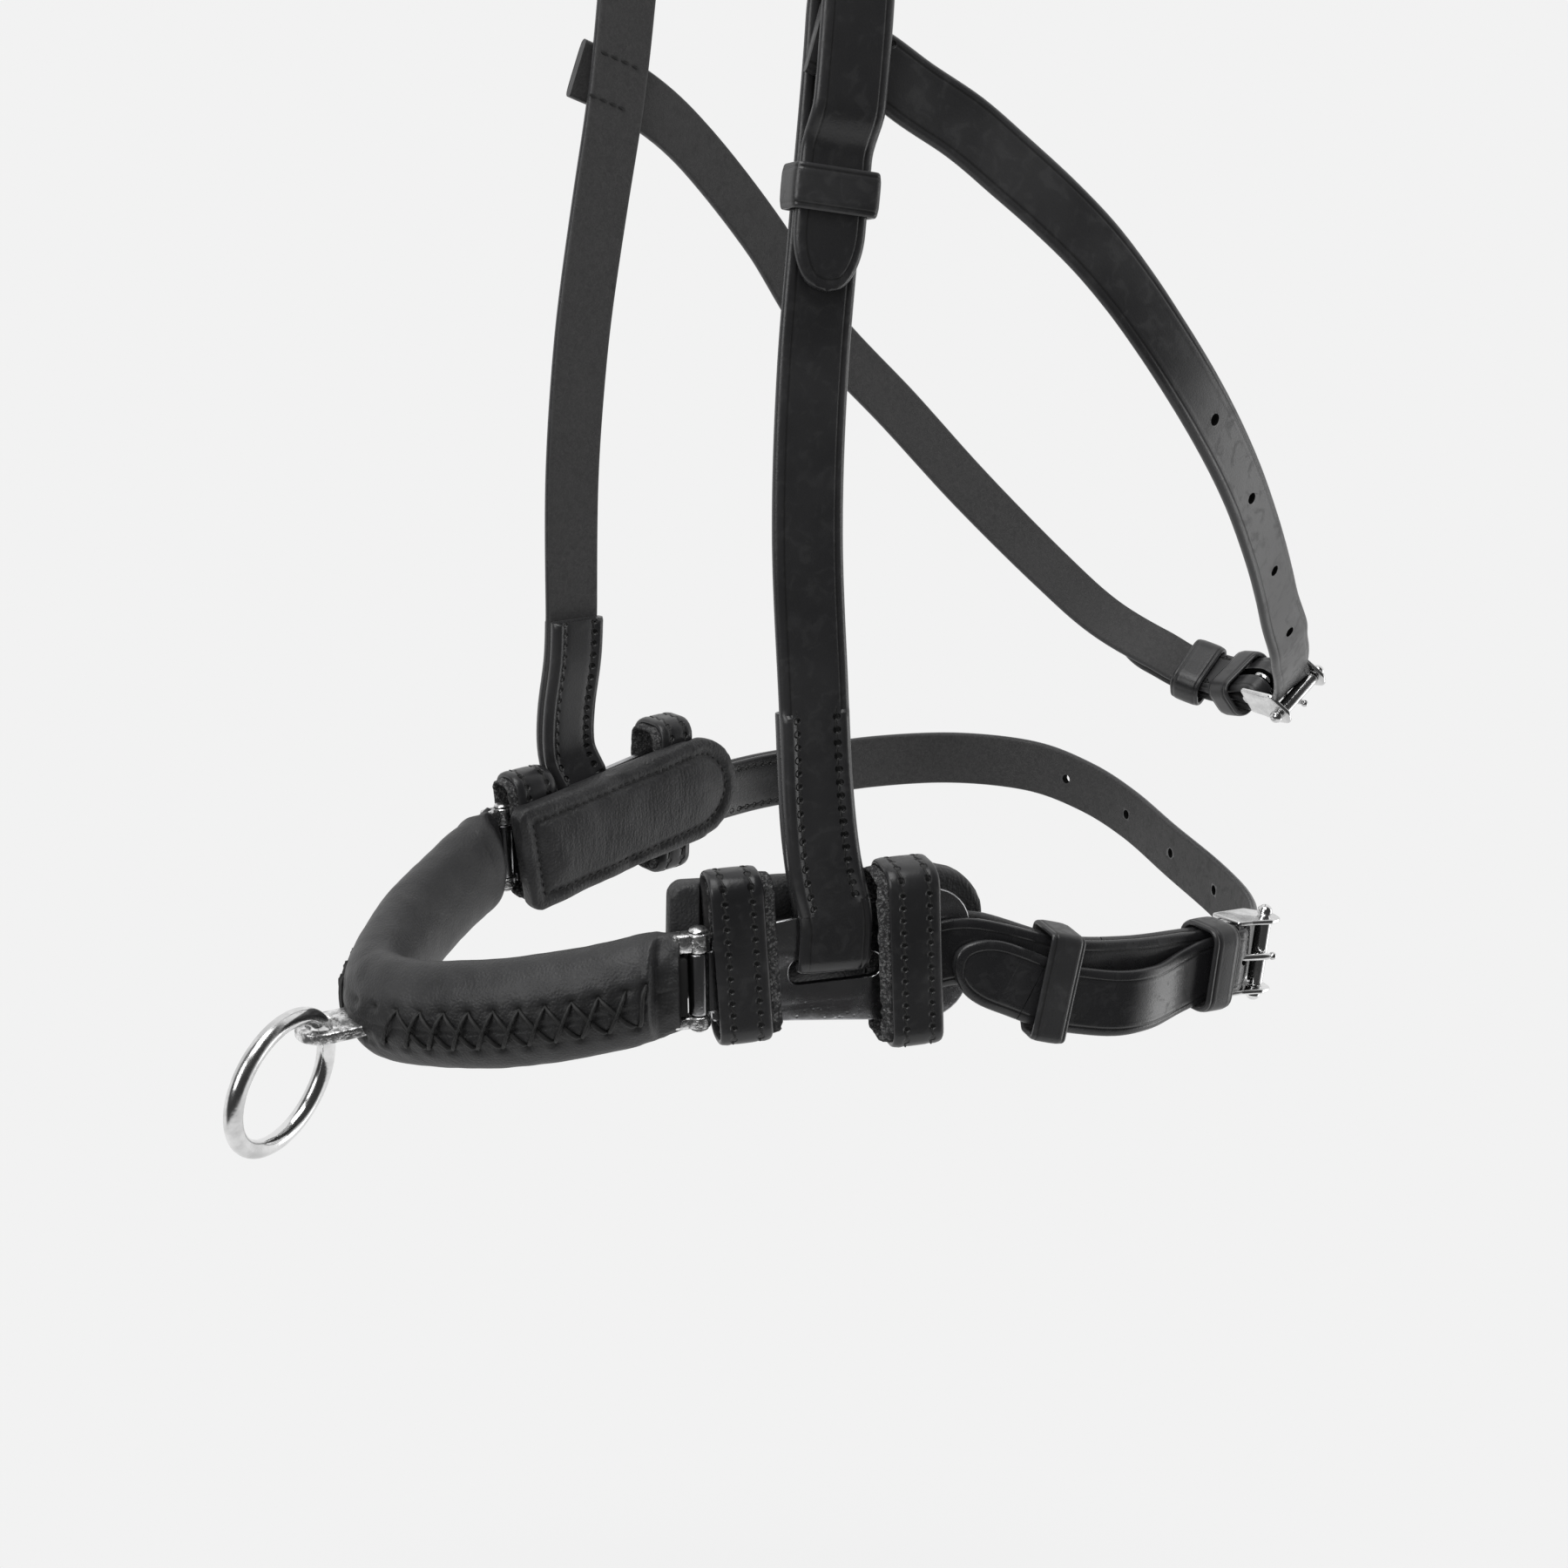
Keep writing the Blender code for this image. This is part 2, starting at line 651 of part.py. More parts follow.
# Chin strap, from the near plate's rear slot round to the far one: shares of its half width, of its
# depth and of its drop
chin_route_shares = [
    (0.975, 0.330, 0.42), (0.990, 0.455, 0.66), (0.985, 0.580, 0.80), (0.975, 0.680, 0.90),
    (0.935, 0.765, 0.97), (0.780, 0.835, 0.98), (0.520, 0.895, 0.96), (0.175, 0.950, 0.90),
    (-0.145, 0.990, 0.75), (-0.400, 0.990, 0.58), (-0.640, 0.950, 0.44), (-0.815, 0.825, 0.32),
    (-0.880, 0.650, 0.22), (-0.880, 0.480, 0.17), (-0.872, 0.360, 0.15),
]
plate_middle = (PLATE_FRONT_TOP + PLATE_FRONT_BOTTOM) / 2
chin_points = [plate_point(1, CHIN_SLOT_MIDDLE, 0, plate_middle),
               plate_point(1, PLATE_LENGTH, 0, plate_middle)]
for x, y, z in chin_route_shares:
    chin_points.append(Vector((x * CHIN_HALF_WIDTH, y * CHIN_DEPTH, plate_middle - z * CHIN_DROP)))
chin_points += [plate_point(-1, PLATE_LENGTH, 0, plate_middle),
                plate_point(-1, CHIN_SLOT_MIDDLE, 0, plate_middle)]
chin = Route(chin_points, strap_faces(chin_points, [Vector((0, 0, -1))] * len(chin_points)))


# Nosepiece

def nose_point(angle):
    """Centre line of the nosepiece: 0 degrees is the near end and 90 the front."""
    side = 1 if angle <= 90 else -1
    a = math.radians(angle if side > 0 else 180 - angle)
    x = side * NOSE_HALF_WIDTH * math.cos(a) ** NOSE_SIDE_POWER
    y = NOSE_END_BACK - NOSE_REACH * math.sin(a) ** NOSE_FRONT_POWER
    z = NOSE_END_HEIGHT - NOSE_DIP * math.sin(a) ** NOSE_DIP_POWER
    if side < 0:
        z -= FAR_DROP * math.cos(a)
    return Vector((x, y, z))


nose_angles = [90 + NOSE_SWEEP * (i / NOSE_STEPS - 1) for i in range(2 * NOSE_STEPS + 1)]
nose_points = [nose_point(a) for a in nose_angles]
nose_points.insert(0, plate_point(1, NOSE_PLATE_END, 0, NOSE_END_HEIGHT))
nose_points.append(plate_point(-1, NOSE_PLATE_END, 0, NOSE_END_HEIGHT))


nose_faces = strap_faces(nose_points, [Vector((0, 0, 1))] * len(nose_points))
nose_faces[0] = plate_axes(1)[1]
nose_faces[-1] = plate_axes(-1)[1]
nose = Route(nose_points, nose_faces)


def tube_sheet(name, start, end, rings, wall, segments):
    """An open oval tube along the nosepiece, flatter towards the horse at its ends."""
    outward_radius = NOSE_THICKNESS / 2 - wall
    up_radius = NOSE_TALL / 2 - wall
    bm = bmesh.new()
    bmesh.ops.create_grid(bm, x_segments=rings, y_segments=segments, size=0.5)
    for vert in bm.verts:
        share = vert.co.x + 0.5
        turn = (vert.co.y + 0.5) * math.tau
        s = start + (end - start) * share
        place, outward = nose.at(s)[0], nose.facing(s)
        full = min(min(s, nose.length - s) / END_TAPER, 1)
        full = max(full * 1.5 - 0.5, 0)
        reach = outward_radius
        if math.cos(turn) < 0:
            reach = (END_DEPTH - wall) + (outward_radius - END_DEPTH + wall) * full
        vert.co = (place + outward * reach * math.cos(turn)
                   + Vector((0, 0, up_radius * math.sin(turn))))
    bmesh.ops.remove_doubles(bm, verts=bm.verts, dist=WELD)
    bmesh.ops.recalc_face_normals(bm, faces=bm.faces)
    return mesh_object(name, bm)


def tab_opening():
    """A level slot through the front of the cover and padding, round the eye plate."""
    room = TAB_THICKNESS / 2 + GAP
    low = (-TAB_RADIUS - GAP, TAB_HOLE_FORWARD, TAB_HEIGHT - room)
    high = (TAB_RADIUS + GAP, NOSE_END_BACK - NOSE_REACH + 2 * GAP, TAB_HEIGHT + room)
    slot = cutter("tab_opening", block(low, high))
    slot.parent = noseband_middle
    return slot


def flat_sweep(name, points, heights, half_thickness, collection=parts):
    """A flat bar on edge along points, with its low and high edge at each."""
    count = len(points) - 1
    bm = bmesh.new()
    bmesh.ops.create_grid(bm, x_segments=count, y_segments=1, size=0.5)
    for vert in bm.verts:
        i = round((vert.co.x + 0.5) * count)
        vert.co = points[i] + Vector((0, 0, heights[i][1] if vert.co.y > 0 else heights[i][0]))
    obj = mesh_object(name, bm, collection)
    solidify(obj, 2 * half_thickness)
    return obj


def make_nosepiece():
    opening = tab_opening()
    cover = tube_sheet("nose_cover", 0, nose.length, 3 * NOSE_STEPS, 0, 20)
    solidify(cover, COVER_WALL, -1)
    cover.parent = noseband_middle
    boolean(cover, opening)
    finish(cover, "padded_leather")

    iron_points = [nose.at(nose.length * (i + 0.5) / 25)[0] for i in range(25)]
    heights = [(-IRON_TALL / 2, IRON_TALL / 2)] * 25
    eye_low, eye_high = EYE_BOTTOM - NOSE_END_HEIGHT, EYE_TOP - NOSE_END_HEIGHT
    for along, low, high in ((IRON_NECK, -IRON_TALL / 2, IRON_TALL / 2),
                             (IRON_SHOULDER, eye_low, eye_high), (0, eye_low, eye_high)):
        up = NOSE_END_HEIGHT
        iron_points.insert(0, plate_point(1, PIN_ALONG - along, 0, up))
        iron_points.append(plate_point(-1, PIN_ALONG - along, 0, up))
        heights = [(low, high)] + heights + [(low, high)]
    room = [(low - GAP, high + GAP) for low, high in heights]
    fat = flat_sweep("padding_bore", iron_points, room, IRON_THICKNESS / 2 + GAP, cutters)
    fat.hide_render = True
    fat.display_type = "WIRE"
    fat.parent = noseband_middle

    padding = tube_sheet("nose_padding", PADDING_START, nose.length - PADDING_START,
                         3 * NOSE_STEPS, COVER_WALL + 3 * GAP, 20)
    close_ends(padding)
    padding.parent = noseband_middle
    boolean(padding, fat)
    boolean(padding, opening)
    finish(padding, "felt")

    make_iron(iron_points, heights)
    make_lacing()


def close_ends(obj):
    bm = bmesh.new()
    bm.from_mesh(obj.data)
    bmesh.ops.holes_fill(bm, edges=[e for e in bm.edges if e.is_boundary])
    bmesh.ops.recalc_face_normals(bm, faces=bm.faces)
    bm.to_mesh(obj.data)
    bm.free()


def make_iron(points, heights):
    """The iron in the nosepiece, with a forked eye at each end and the ring's eye plate in front."""
    iron = flat_sweep("nose_iron", points, heights, IRON_THICKNESS / 2)
    iron.parent = noseband_middle
    eye_radius = PIN_RADIUS + EYE_WALL
    for side in (1, -1):
        pin = pin_place(side)
        eye = cylinder(eye_radius, EYE_TOP - EYE_BOTTOM, (0, 0, (EYE_TOP + EYE_BOTTOM) / 2),
                       segments=20)
        notch = cylinder(eye_radius + GAP, BARREL_TOP - BARREL_BOTTOM + 2 * GAP,
                         (0, 0, (BARREL_TOP + BARREL_BOTTOM) / 2), segments=20)
        bore = cylinder(PIN_RADIUS + GAP, 2 * OVERRUN + EYE_TOP, segments=16)
        for label, shape, operation in (("iron_eye", eye, "UNION"), ("iron_notch", notch, "DIFFERENCE"),
                                        ("iron_bore", bore, "DIFFERENCE")):
            tool = cutter(label, shape)
            tool.parent = noseband_middle
            tool.location = pin
            boolean(iron, tool, operation)
    root = NOSE_END_BACK - NOSE_REACH
    tab_bm = capsule(TAB_RADIUS, (0, 0), (root - TAB_HOLE_FORWARD, 0), TAB_THICKNESS / 2)
    tab_bm.transform(Matrix.Rotation(math.radians(90), 4, "X"))
    tab_bm.transform(Matrix.Rotation(math.radians(90), 4, "Z"))
    tab_bm.transform(Matrix.Translation((0, TAB_HOLE_FORWARD, TAB_HEIGHT)))
    bmesh.ops.bisect_plane(tab_bm, geom=tab_bm.verts[:] + tab_bm.edges[:] + tab_bm.faces[:],
                           plane_co=(0, root, 0), plane_no=(0, 1, 0), clear_outer=True)
    bmesh.ops.holes_fill(tab_bm, edges=[e for e in tab_bm.edges if e.is_boundary])
    tab = cutter("ring_tab", tab_bm)
    tab.parent = noseband_middle
    boolean(iron, tab, "UNION")
    hole = cutter("ring_hole", cylinder(tab_hole_radius, OVERRUN,
                                        (0, TAB_HOLE_FORWARD, TAB_HEIGHT), segments=24))
    hole.parent = noseband_middle
    boolean(iron, hole)
    finish(iron, "steel")


# The ring's plane: towards its middle, and along its wire where it passes through the hole
turn, droop, roll = (math.radians(a) for a in (RING_TURN, RING_DROOP, RING_ROLL))
ring_to_middle = Vector((math.cos(droop) * math.sin(turn), -math.cos(droop) * math.cos(turn),
                         -math.sin(droop)))
ring_up = Vector((math.sin(droop) * math.sin(turn), -math.sin(droop) * math.cos(turn),
                  math.cos(droop)))
ring_wire = ring_up * math.cos(roll) + ring_to_middle.cross(ring_up) * math.sin(roll)
wire_lean = ring_wire.angle(Vector((0, 0, 1)))
tab_hole_radius = (RING_WIRE_RADIUS / math.cos(wire_lean)
                   + TAB_THICKNESS / 2 * math.tan(wire_lean) + 3 * GAP)


def make_ring():
    ring = turned("front_ring", arc((RING_MIDDLE_RADIUS, 0), RING_WIRE_RADIUS, 0, -330, 11), 36)
    bm = baked(ring)
    bm.transform(Matrix.Translation((RING_MIDDLE_RADIUS, 0, 0)))
    axes = (ring_to_middle, ring_wire, ring_to_middle.cross(ring_wire))
    put("front_ring", bm, axes, Vector((0, TAB_HOLE_FORWARD, TAB_HEIGHT)), "steel")


def make_lacing():
    """One lace, zigzagging from end to end and back, so that it crosses itself in the middle."""
    start = PADDING_START
    end = nose.length - PADDING_START
    seam = math.radians(LACE_ANGLE)
    points = []
    steps = 2 * LACE_CROSSES
    for k in range(steps + 1):
        points.append((start + (end - start) * k / steps, (0, 1, 0, -1)[k % 4], 0))
    for k in range(steps - 1, 0, -1):
        up = (0, -1, 0, 1)[k % 4]
        over = 0 if up else LACE_DIAMETER * 1.35
        points.append((start + (end - start) * k / steps, up, over))
    # Both runs of the lace pass over the eye plate
    for i, (s, up, over) in enumerate(points):
        if abs(s - nose.length / 2) < TAB_RADIUS + 4 * LACE_DIAMETER:
            points[i] = (s, LACE_OVER_TAB + (LACE_OVER_TAB / 3 if i > steps else 0), 0)
    curve = bpy.data.curves.new("nose_lacing", "CURVE")
    curve.dimensions = "3D"
    curve.bevel_depth = LACE_DIAMETER / 2
    curve.bevel_resolution = 1
    curve.use_fill_caps = True
    spline = curve.splines.new("POLY")
    spline.points.add(len(points) - 1)
    for point, (s, up, over) in zip(spline.points, points):
        place, along, across, outward = nose.at(s)
        angle = seam + up * LACE_HALF_SPREAD / (NOSE_TALL / 2)
        lift = LACE_DIAMETER / 2 + GAP + over
        out = NOSE_THICKNESS / 2 + lift
        rise = NOSE_TALL / 2 + lift
        co = place + outward * out * math.cos(angle) + Vector((0, 0, rise * math.sin(angle)))
        point.co = (*co, 1)
    lace = bpy.data.objects.new("nose_lacing", curve)
    parts.objects.link(lace)
    put("nose_lacing", baked(lace), level_axes, Vector((0, 0, 0)), "thread")


# Side plates, their hinge pins, pads and padded keepers

def plate_shape():
    """The steel side plate in its own axes: x along it, y outward, z up, from the hinge pin."""
    corners = [(0, BARREL_BOTTOM), (PLATE_FRONT, BARREL_BOTTOM), (PLATE_FRONT, PLATE_FRONT_BOTTOM),
               (PLATE_LENGTH, PLATE_REAR_BOTTOM), (PLATE_LENGTH, PLATE_REAR_TOP),
               (PLATE_FRONT, PLATE_FRONT_TOP), (PLATE_FRONT, BARREL_TOP), (0, BARREL_TOP)]
    corners = [(u - PIN_ALONG if u else 0, z) for u, z in corners]
    radii = [GAP, GAP, GAP, PLATE_REAR_RADIUS, PLATE_REAR_RADIUS, PLATE_CORNER_RADIUS, GAP, GAP]
    outline = rounded(corners, radii, 5)
    curve = bpy.data.curves.new("plate_outline", "CURVE")
    curve.dimensions = "2D"
    curve.fill_mode = "BOTH"
    curve.extrude = PLATE_THICKNESS / 2
    spline = curve.splines.new("POLY")
    spline.points.add(len(outline) - 1)
    for point, (u, z) in zip(spline.points, outline):
        point.co = (u, z, 0, 1)
    spline.use_cyclic_u = True
    flat = bpy.data.objects.new("plate_outline", curve)
    parts.objects.link(flat)
    flat.rotation_euler = (math.radians(90), 0, 0)
    plate = mesh_object("plate", baked(flat))
    barrel = cutter("plate_barrel", cylinder(
        PIN_RADIUS + EYE_WALL, BARREL_TOP - BARREL_BOTTOM,
        (0, 0, (BARREL_TOP + BARREL_BOTTOM) / 2), segments=20))
    boolean(plate, barrel, "UNION")
    boolean(plate, cutter("plate_bore", cylinder(PIN_RADIUS + GAP, 2 * OVERRUN + EYE_TOP,
                                                 segments=16)))
    slot_radius = (CHEEK_SLOT_TOP - CHEEK_SLOT_BOTTOM) / 2
    slot_up = (CHEEK_SLOT_TOP + CHEEK_SLOT_BOTTOM) / 2
    boolean(plate, cutter("cheek_slot", capsule(
        slot_radius, (CHEEK_SLOT_START + slot_radius - PIN_ALONG, slot_up),
        (CHEEK_SLOT_END - slot_radius - PIN_ALONG, slot_up), OVERRUN)))
    half = CHIN_WIDTH / 2 + CHIN_SLOT_SPARE
    rear_radius = CHIN_SLOT_WIDTH / 2
    along = CHIN_SLOT_MIDDLE - PIN_ALONG
    boolean(plate, cutter("chin_slot", capsule(
        rear_radius, (along, plate_middle - half), (along, plate_middle + half), OVERRUN)))
    return baked(plate)


pad_face = -(PLATE_THICKNESS / 2 + CHEEK_THICKNESS + 3 * GAP)
loop_inner_face = pad_face - LOOP_THICKNESS - GAP


# Pad from its flat back to the middle of its face: shares of the inset and of the thickness
pad_ring_shares = [(0.00, 0.00), (0.00, 0.62), (0.035, 0.80), (0.080, 0.86), (0.115, 0.80),
                   (0.150, 0.88), (0.240, 0.965), (0.340, 1.00)]


def pad_outline(inset):
    half = PAD_TALL / 2
    corners = [(inset, -half + inset), (PAD_LENGTH - inset, -half + inset),
               (PAD_LENGTH - inset, half - inset), (inset, half - inset)]
    front = max(PAD_FRONT_RADIUS - inset, GAP)
    rear = half - inset - GAP
    return rounded(corners, [front, rear, rear, front], 7)


def pad_shape(loops_along, start, height, tilt):
    """A leather pad: a tongue with a rolled border, a groove at its stitches and a crowned face."""
    rings = [pad_outline(inset * PAD_TALL) for inset, depth in pad_ring_shares]
    count = len(rings[0])
    bm = bmesh.new()
    bmesh.ops.create_grid(bm, x_segments=count, y_segments=len(rings) - 1, size=0.5)
    for vert in bm.verts:
        i = round((vert.co.x + 0.5) * count) % count
        ring = round((vert.co.y + 0.5) * (len(rings) - 1))
        u, z = rings[ring][i]
        vert.co = (u, -PAD_THICKNESS * pad_ring_shares[ring][1], z)
    bmesh.ops.remove_doubles(bm, verts=bm.verts, dist=WELD)
    bmesh.ops.holes_fill(bm, edges=[e for e in bm.edges if e.is_boundary])
    bmesh.ops.recalc_face_normals(bm, faces=bm.faces)
    bm.transform(Matrix.Rotation(math.radians(-tilt), 4, "Y"))
    bm.transform(Matrix.Translation((start - PIN_ALONG, pad_face, height)))
    pad = mesh_object("pad", bm)
    for along in loops_along:
        middle = along - PIN_ALONG
        low = (middle - LOOP_WIDTH / 2 - 2 * GAP, loop_inner_face - GAP, -OVERRUN * 2)
        high = (middle + LOOP_WIDTH / 2 + 2 * GAP, OVERRUN, OVERRUN * 2)
        boolean(pad, cutter("pad_channel", block(low, high)))
    return baked(pad)


def loop_shape(name, along, top, bottom, outer_face):
    """A padded keeper round the plate: inside corners and outer face are in the plate's axes."""
    def frame(offset):
        x, y, z = level_axes
        return x * (along - PIN_ALONG + offset), x, z, y
    inner_low = pad_face - GAP
    loop = band(name, frame, ((bottom, inner_low), (top, outer_face)), LOOP_THICKNESS,
                LOOP_WIDTH, "leather", corner=LOOP_CORNER - LOOP_THICKNESS / 2,
                origin=Vector((0, 0, 0)))
    loop.parent = None
    return baked(loop)


def plate_edges(along):
    """Top and bottom edges of the plate at a distance along it."""
    share = (along - PLATE_FRONT) / (PLATE_LENGTH - PLATE_FRONT)
    top = PLATE_FRONT_TOP + (PLATE_REAR_TOP - PLATE_FRONT_TOP) * share
    bottom = PLATE_FRONT_BOTTOM + (PLATE_REAR_BOTTOM - PLATE_FRONT_BOTTOM) * share
    return top, bottom


def make_side(prefix, side, loops_along, pad_start, pad_height, pad_tilt):
    axes = plate_axes(side)
    pin = pin_place(side)
    put(prefix + "_side_plate", plate_shape(), axes, pin, "steel")

    shaft = [(0, EYE_TOP + GAP + PIN_HEAD_TALL), (PIN_HEAD_RADIUS, EYE_TOP + GAP + PIN_HEAD_TALL),
             (PIN_HEAD_RADIUS, EYE_TOP + GAP), (PIN_RADIUS, EYE_TOP + GAP),
             (PIN_RADIUS, EYE_BOTTOM - GAP), (PIN_HEAD_RADIUS, EYE_BOTTOM - GAP),
             (PIN_HEAD_RADIUS, EYE_BOTTOM - GAP - PIN_HEAD_TALL),
             (0, EYE_BOTTOM - GAP - PIN_HEAD_TALL)]
    put(prefix + "_hinge_pin", baked(turned(prefix + "_pin", shaft, 16)),
        level_axes, pin, "steel")

    put(prefix + "_pad", pad_shape(loops_along, pad_start, pad_height, pad_tilt), axes, pin,
        "padded_leather")
    faces = (PLATE_THICKNESS / 2 + GAP, PLATE_THICKNESS / 2 + CHIN_THICKNESS + 4 * GAP)
    for label, along, face in zip(("front", "rear"), loops_along, faces):
        edge_top, edge_bottom = plate_edges(along)
        slope = math.tan(math.radians(pad_tilt))
        pad_top = (pad_height + PAD_TALL / 2 + slope * (along - pad_start)
                   + abs(slope) * LOOP_WIDTH / 2)
        top = max(edge_top, pad_top) + LOOP_TOP_ROOM
        bottom = edge_bottom - LOOP_BOTTOM_ROOM
        shape = loop_shape("loop", along, top, bottom, face)
        put(prefix + "_" + label + "_keeper", shape, axes, pin, "leather")


# Cheek straps and crown

def cheek_fold(name, from_start, width):
    """The strap's end: down outside the plate's bar, under it and up inside, stitched back."""
    top = plate_edges(NEAR_FOLD_ALONG)[0] - fold_height
    base = 0 if from_start else head.length
    way = 1 if from_start else -1
    bend = arc((0, -fold_radius), fold_radius, 90, 270, 8)
    inner = -fold_radius * 2
    turned_back = -(CHEEK_THICKNESS + GAP)
    line = joined([(FOLD_SEAM - GAP, 0), (FOLD_SEAM / 2, 0)], bend,
                  run(0, top, inner), run(top, top * 2, inner, turned_back, STRAP_STEP / 2),
                  run(top * 2, FOLD_STITCHED, turned_back))
    line = [(base + way * s, n) for s, n in line]
    return strap(name, head, line, width, CHEEK_THICKNESS)


def fold_rise(thickness):
    return BAR_RADIUS + GAP + thickness / 2


def chape_line(start, inner_end, bar, thickness, doubled=False):
    """A strap that folds round a buckle's hinge bar: its outer layer, the fold and its inner layer.

    The inner layer stops at inner_end. A doubled strap is two layers from its start on.
    """
    reach = fold_rise(thickness)
    rest = (thickness + GAP) / 2
    swell = reach * 4
    lead = inner_end - swell
    outer = run(start, lead, 0) + run(lead, inner_end, 0, rest, STRAP_STEP / 2)
    if doubled:
        outer = run(start, bar - swell, rest)
    return joined(outer, run(bar - swell, bar, rest, reach, STRAP_STEP / 2),
                  arc((bar, 0), reach, 90, -90, 8),
                  run(bar, bar - swell, -reach, -rest, STRAP_STEP / 2),
                  run(bar - swell, inner_end + GAP, -rest))


def billet_window(bar, thickness):
    """Where a billet crosses a buckle's window: over the fold, down and under the roller."""
    over = BAR_RADIUS + GAP + thickness + GAP + thickness / 2
    under = ROLLER_RADIUS + GAP + thickness / 2
    distance = math.hypot(ROLLER_REACH, ROLLER_RISE)
    lean = math.degrees(math.atan2(ROLLER_RISE, ROLLER_REACH))
    leave = lean + math.degrees(math.acos((over + under) / distance))
    return (arc((bar, 0), over, 90, leave, 3),
            arc((bar + ROLLER_REACH, ROLLER_RISE), under, leave + 180, 270, 3), leave, over)


def tongue_direction():
    """Angle of the tongue: it leaves the hinge bar's top and lies on the roller's top."""
    near = BAR_RADIUS + GAP + TONGUE_RADIUS
    far = ROLLER_RADIUS + GAP + TONGUE_RADIUS
    distance = math.hypot(ROLLER_REACH, ROLLER_RISE)
    return math.atan2(ROLLER_RISE, ROLLER_REACH) + math.asin((far - near) / distance), near


def tongue_hole(bar, thickness):
    """Length along the route and height where the tongue's middle meets the billet's middle."""
    first, second, leave, over = billet_window(0, thickness)
    a = Vector(first[-1])
    b = Vector(second[0])
    angle, near = tongue_direction()
    start = Vector((-near * math.sin(angle), near * math.cos(angle)))
    way = Vector((math.cos(angle), math.sin(angle)))
    down = (b - a).normalized()
    k = (start - a).cross(way) / down.cross(way)
    meet = a + down * k
    return bar + meet.x, meet.y, down


def billet_line(tip, bar, thickness, rest_heights, end):
    """A billet from its tip, over the chape and through the buckle, to plain strap at its end."""
    first, second, leave, over = billet_window(bar, thickness)
    line = []
    for (s0, n0), (s1, n1) in zip(rest_heights, rest_heights[1:]):
        line += run(s0, s1, n0, n1)
    last_s, last_n = rest_heights[-1]
    step = STRAP_STEP / 2
    tail = second[-1]
    start = [(tip, line[0][1])]
    if line[0][0] >= tip + TIP_LENGTH:
        start = run(tip, tip + TIP_LENGTH, line[0][1], None, TIP_LENGTH / 7)
    return joined(start, line,
                  run(last_s, bar, last_n, over, step), first, second,
                  run(tail[0], tail[0] + STRAP_STEP * 2, tail[1], 0, step),
                  run(tail[0] + STRAP_STEP * 2, end, 0))


def punch_for_tongue(billet, route, bar, thickness):
    s, height, down = tongue_hole(bar, thickness)
    punch(billet, route, s, TONGUE_RADIUS + TONGUE_SLOT_ROOM, height,
          TONGUE_RADIUS + thickness / 2 + TONGUE_HOLE_ROOM)


def cut_tongue_slot(chape, route, bar, thickness):
    """A slot in the fold, so that the tongue can hook round the hinge bar."""
    place, along, across, outward = route.at(bar)
    reach = BAR_RADIUS + GAP + thickness + 4 * GAP
    half = TONGUE_RADIUS + TONGUE_SLOT_ROOM
    bm = block((-reach * 1.5, -half, -reach * 1.5), (reach * 1.5, half, reach * 1.5))
    axes = Matrix((along, across, outward)).transposed()
    bm.transform(axes.to_4x4())
    if axes.determinant() < 0:
        bmesh.ops.reverse_faces(bm, faces=bm.faces)
    slot = cutter(chape.name + "_tongue_slot", bm)
    slot.parent = noseband_middle
    slot.location = place
    boolean(chape, slot)


def keeper(name, route, s, width, strap_width, low, high, room, sag=0.0, spare=0.0):
    """A keeper round the straps: low and high are their faces, sag how far one hangs lower."""
    def frame(offset):
        return route.at(s + offset)
    half = strap_width / 2 + room + spare
    return band(name, frame, ((-half, low - room), (half + sag, high + room)), KEEPER_THICKNESS,
                width, "leather")


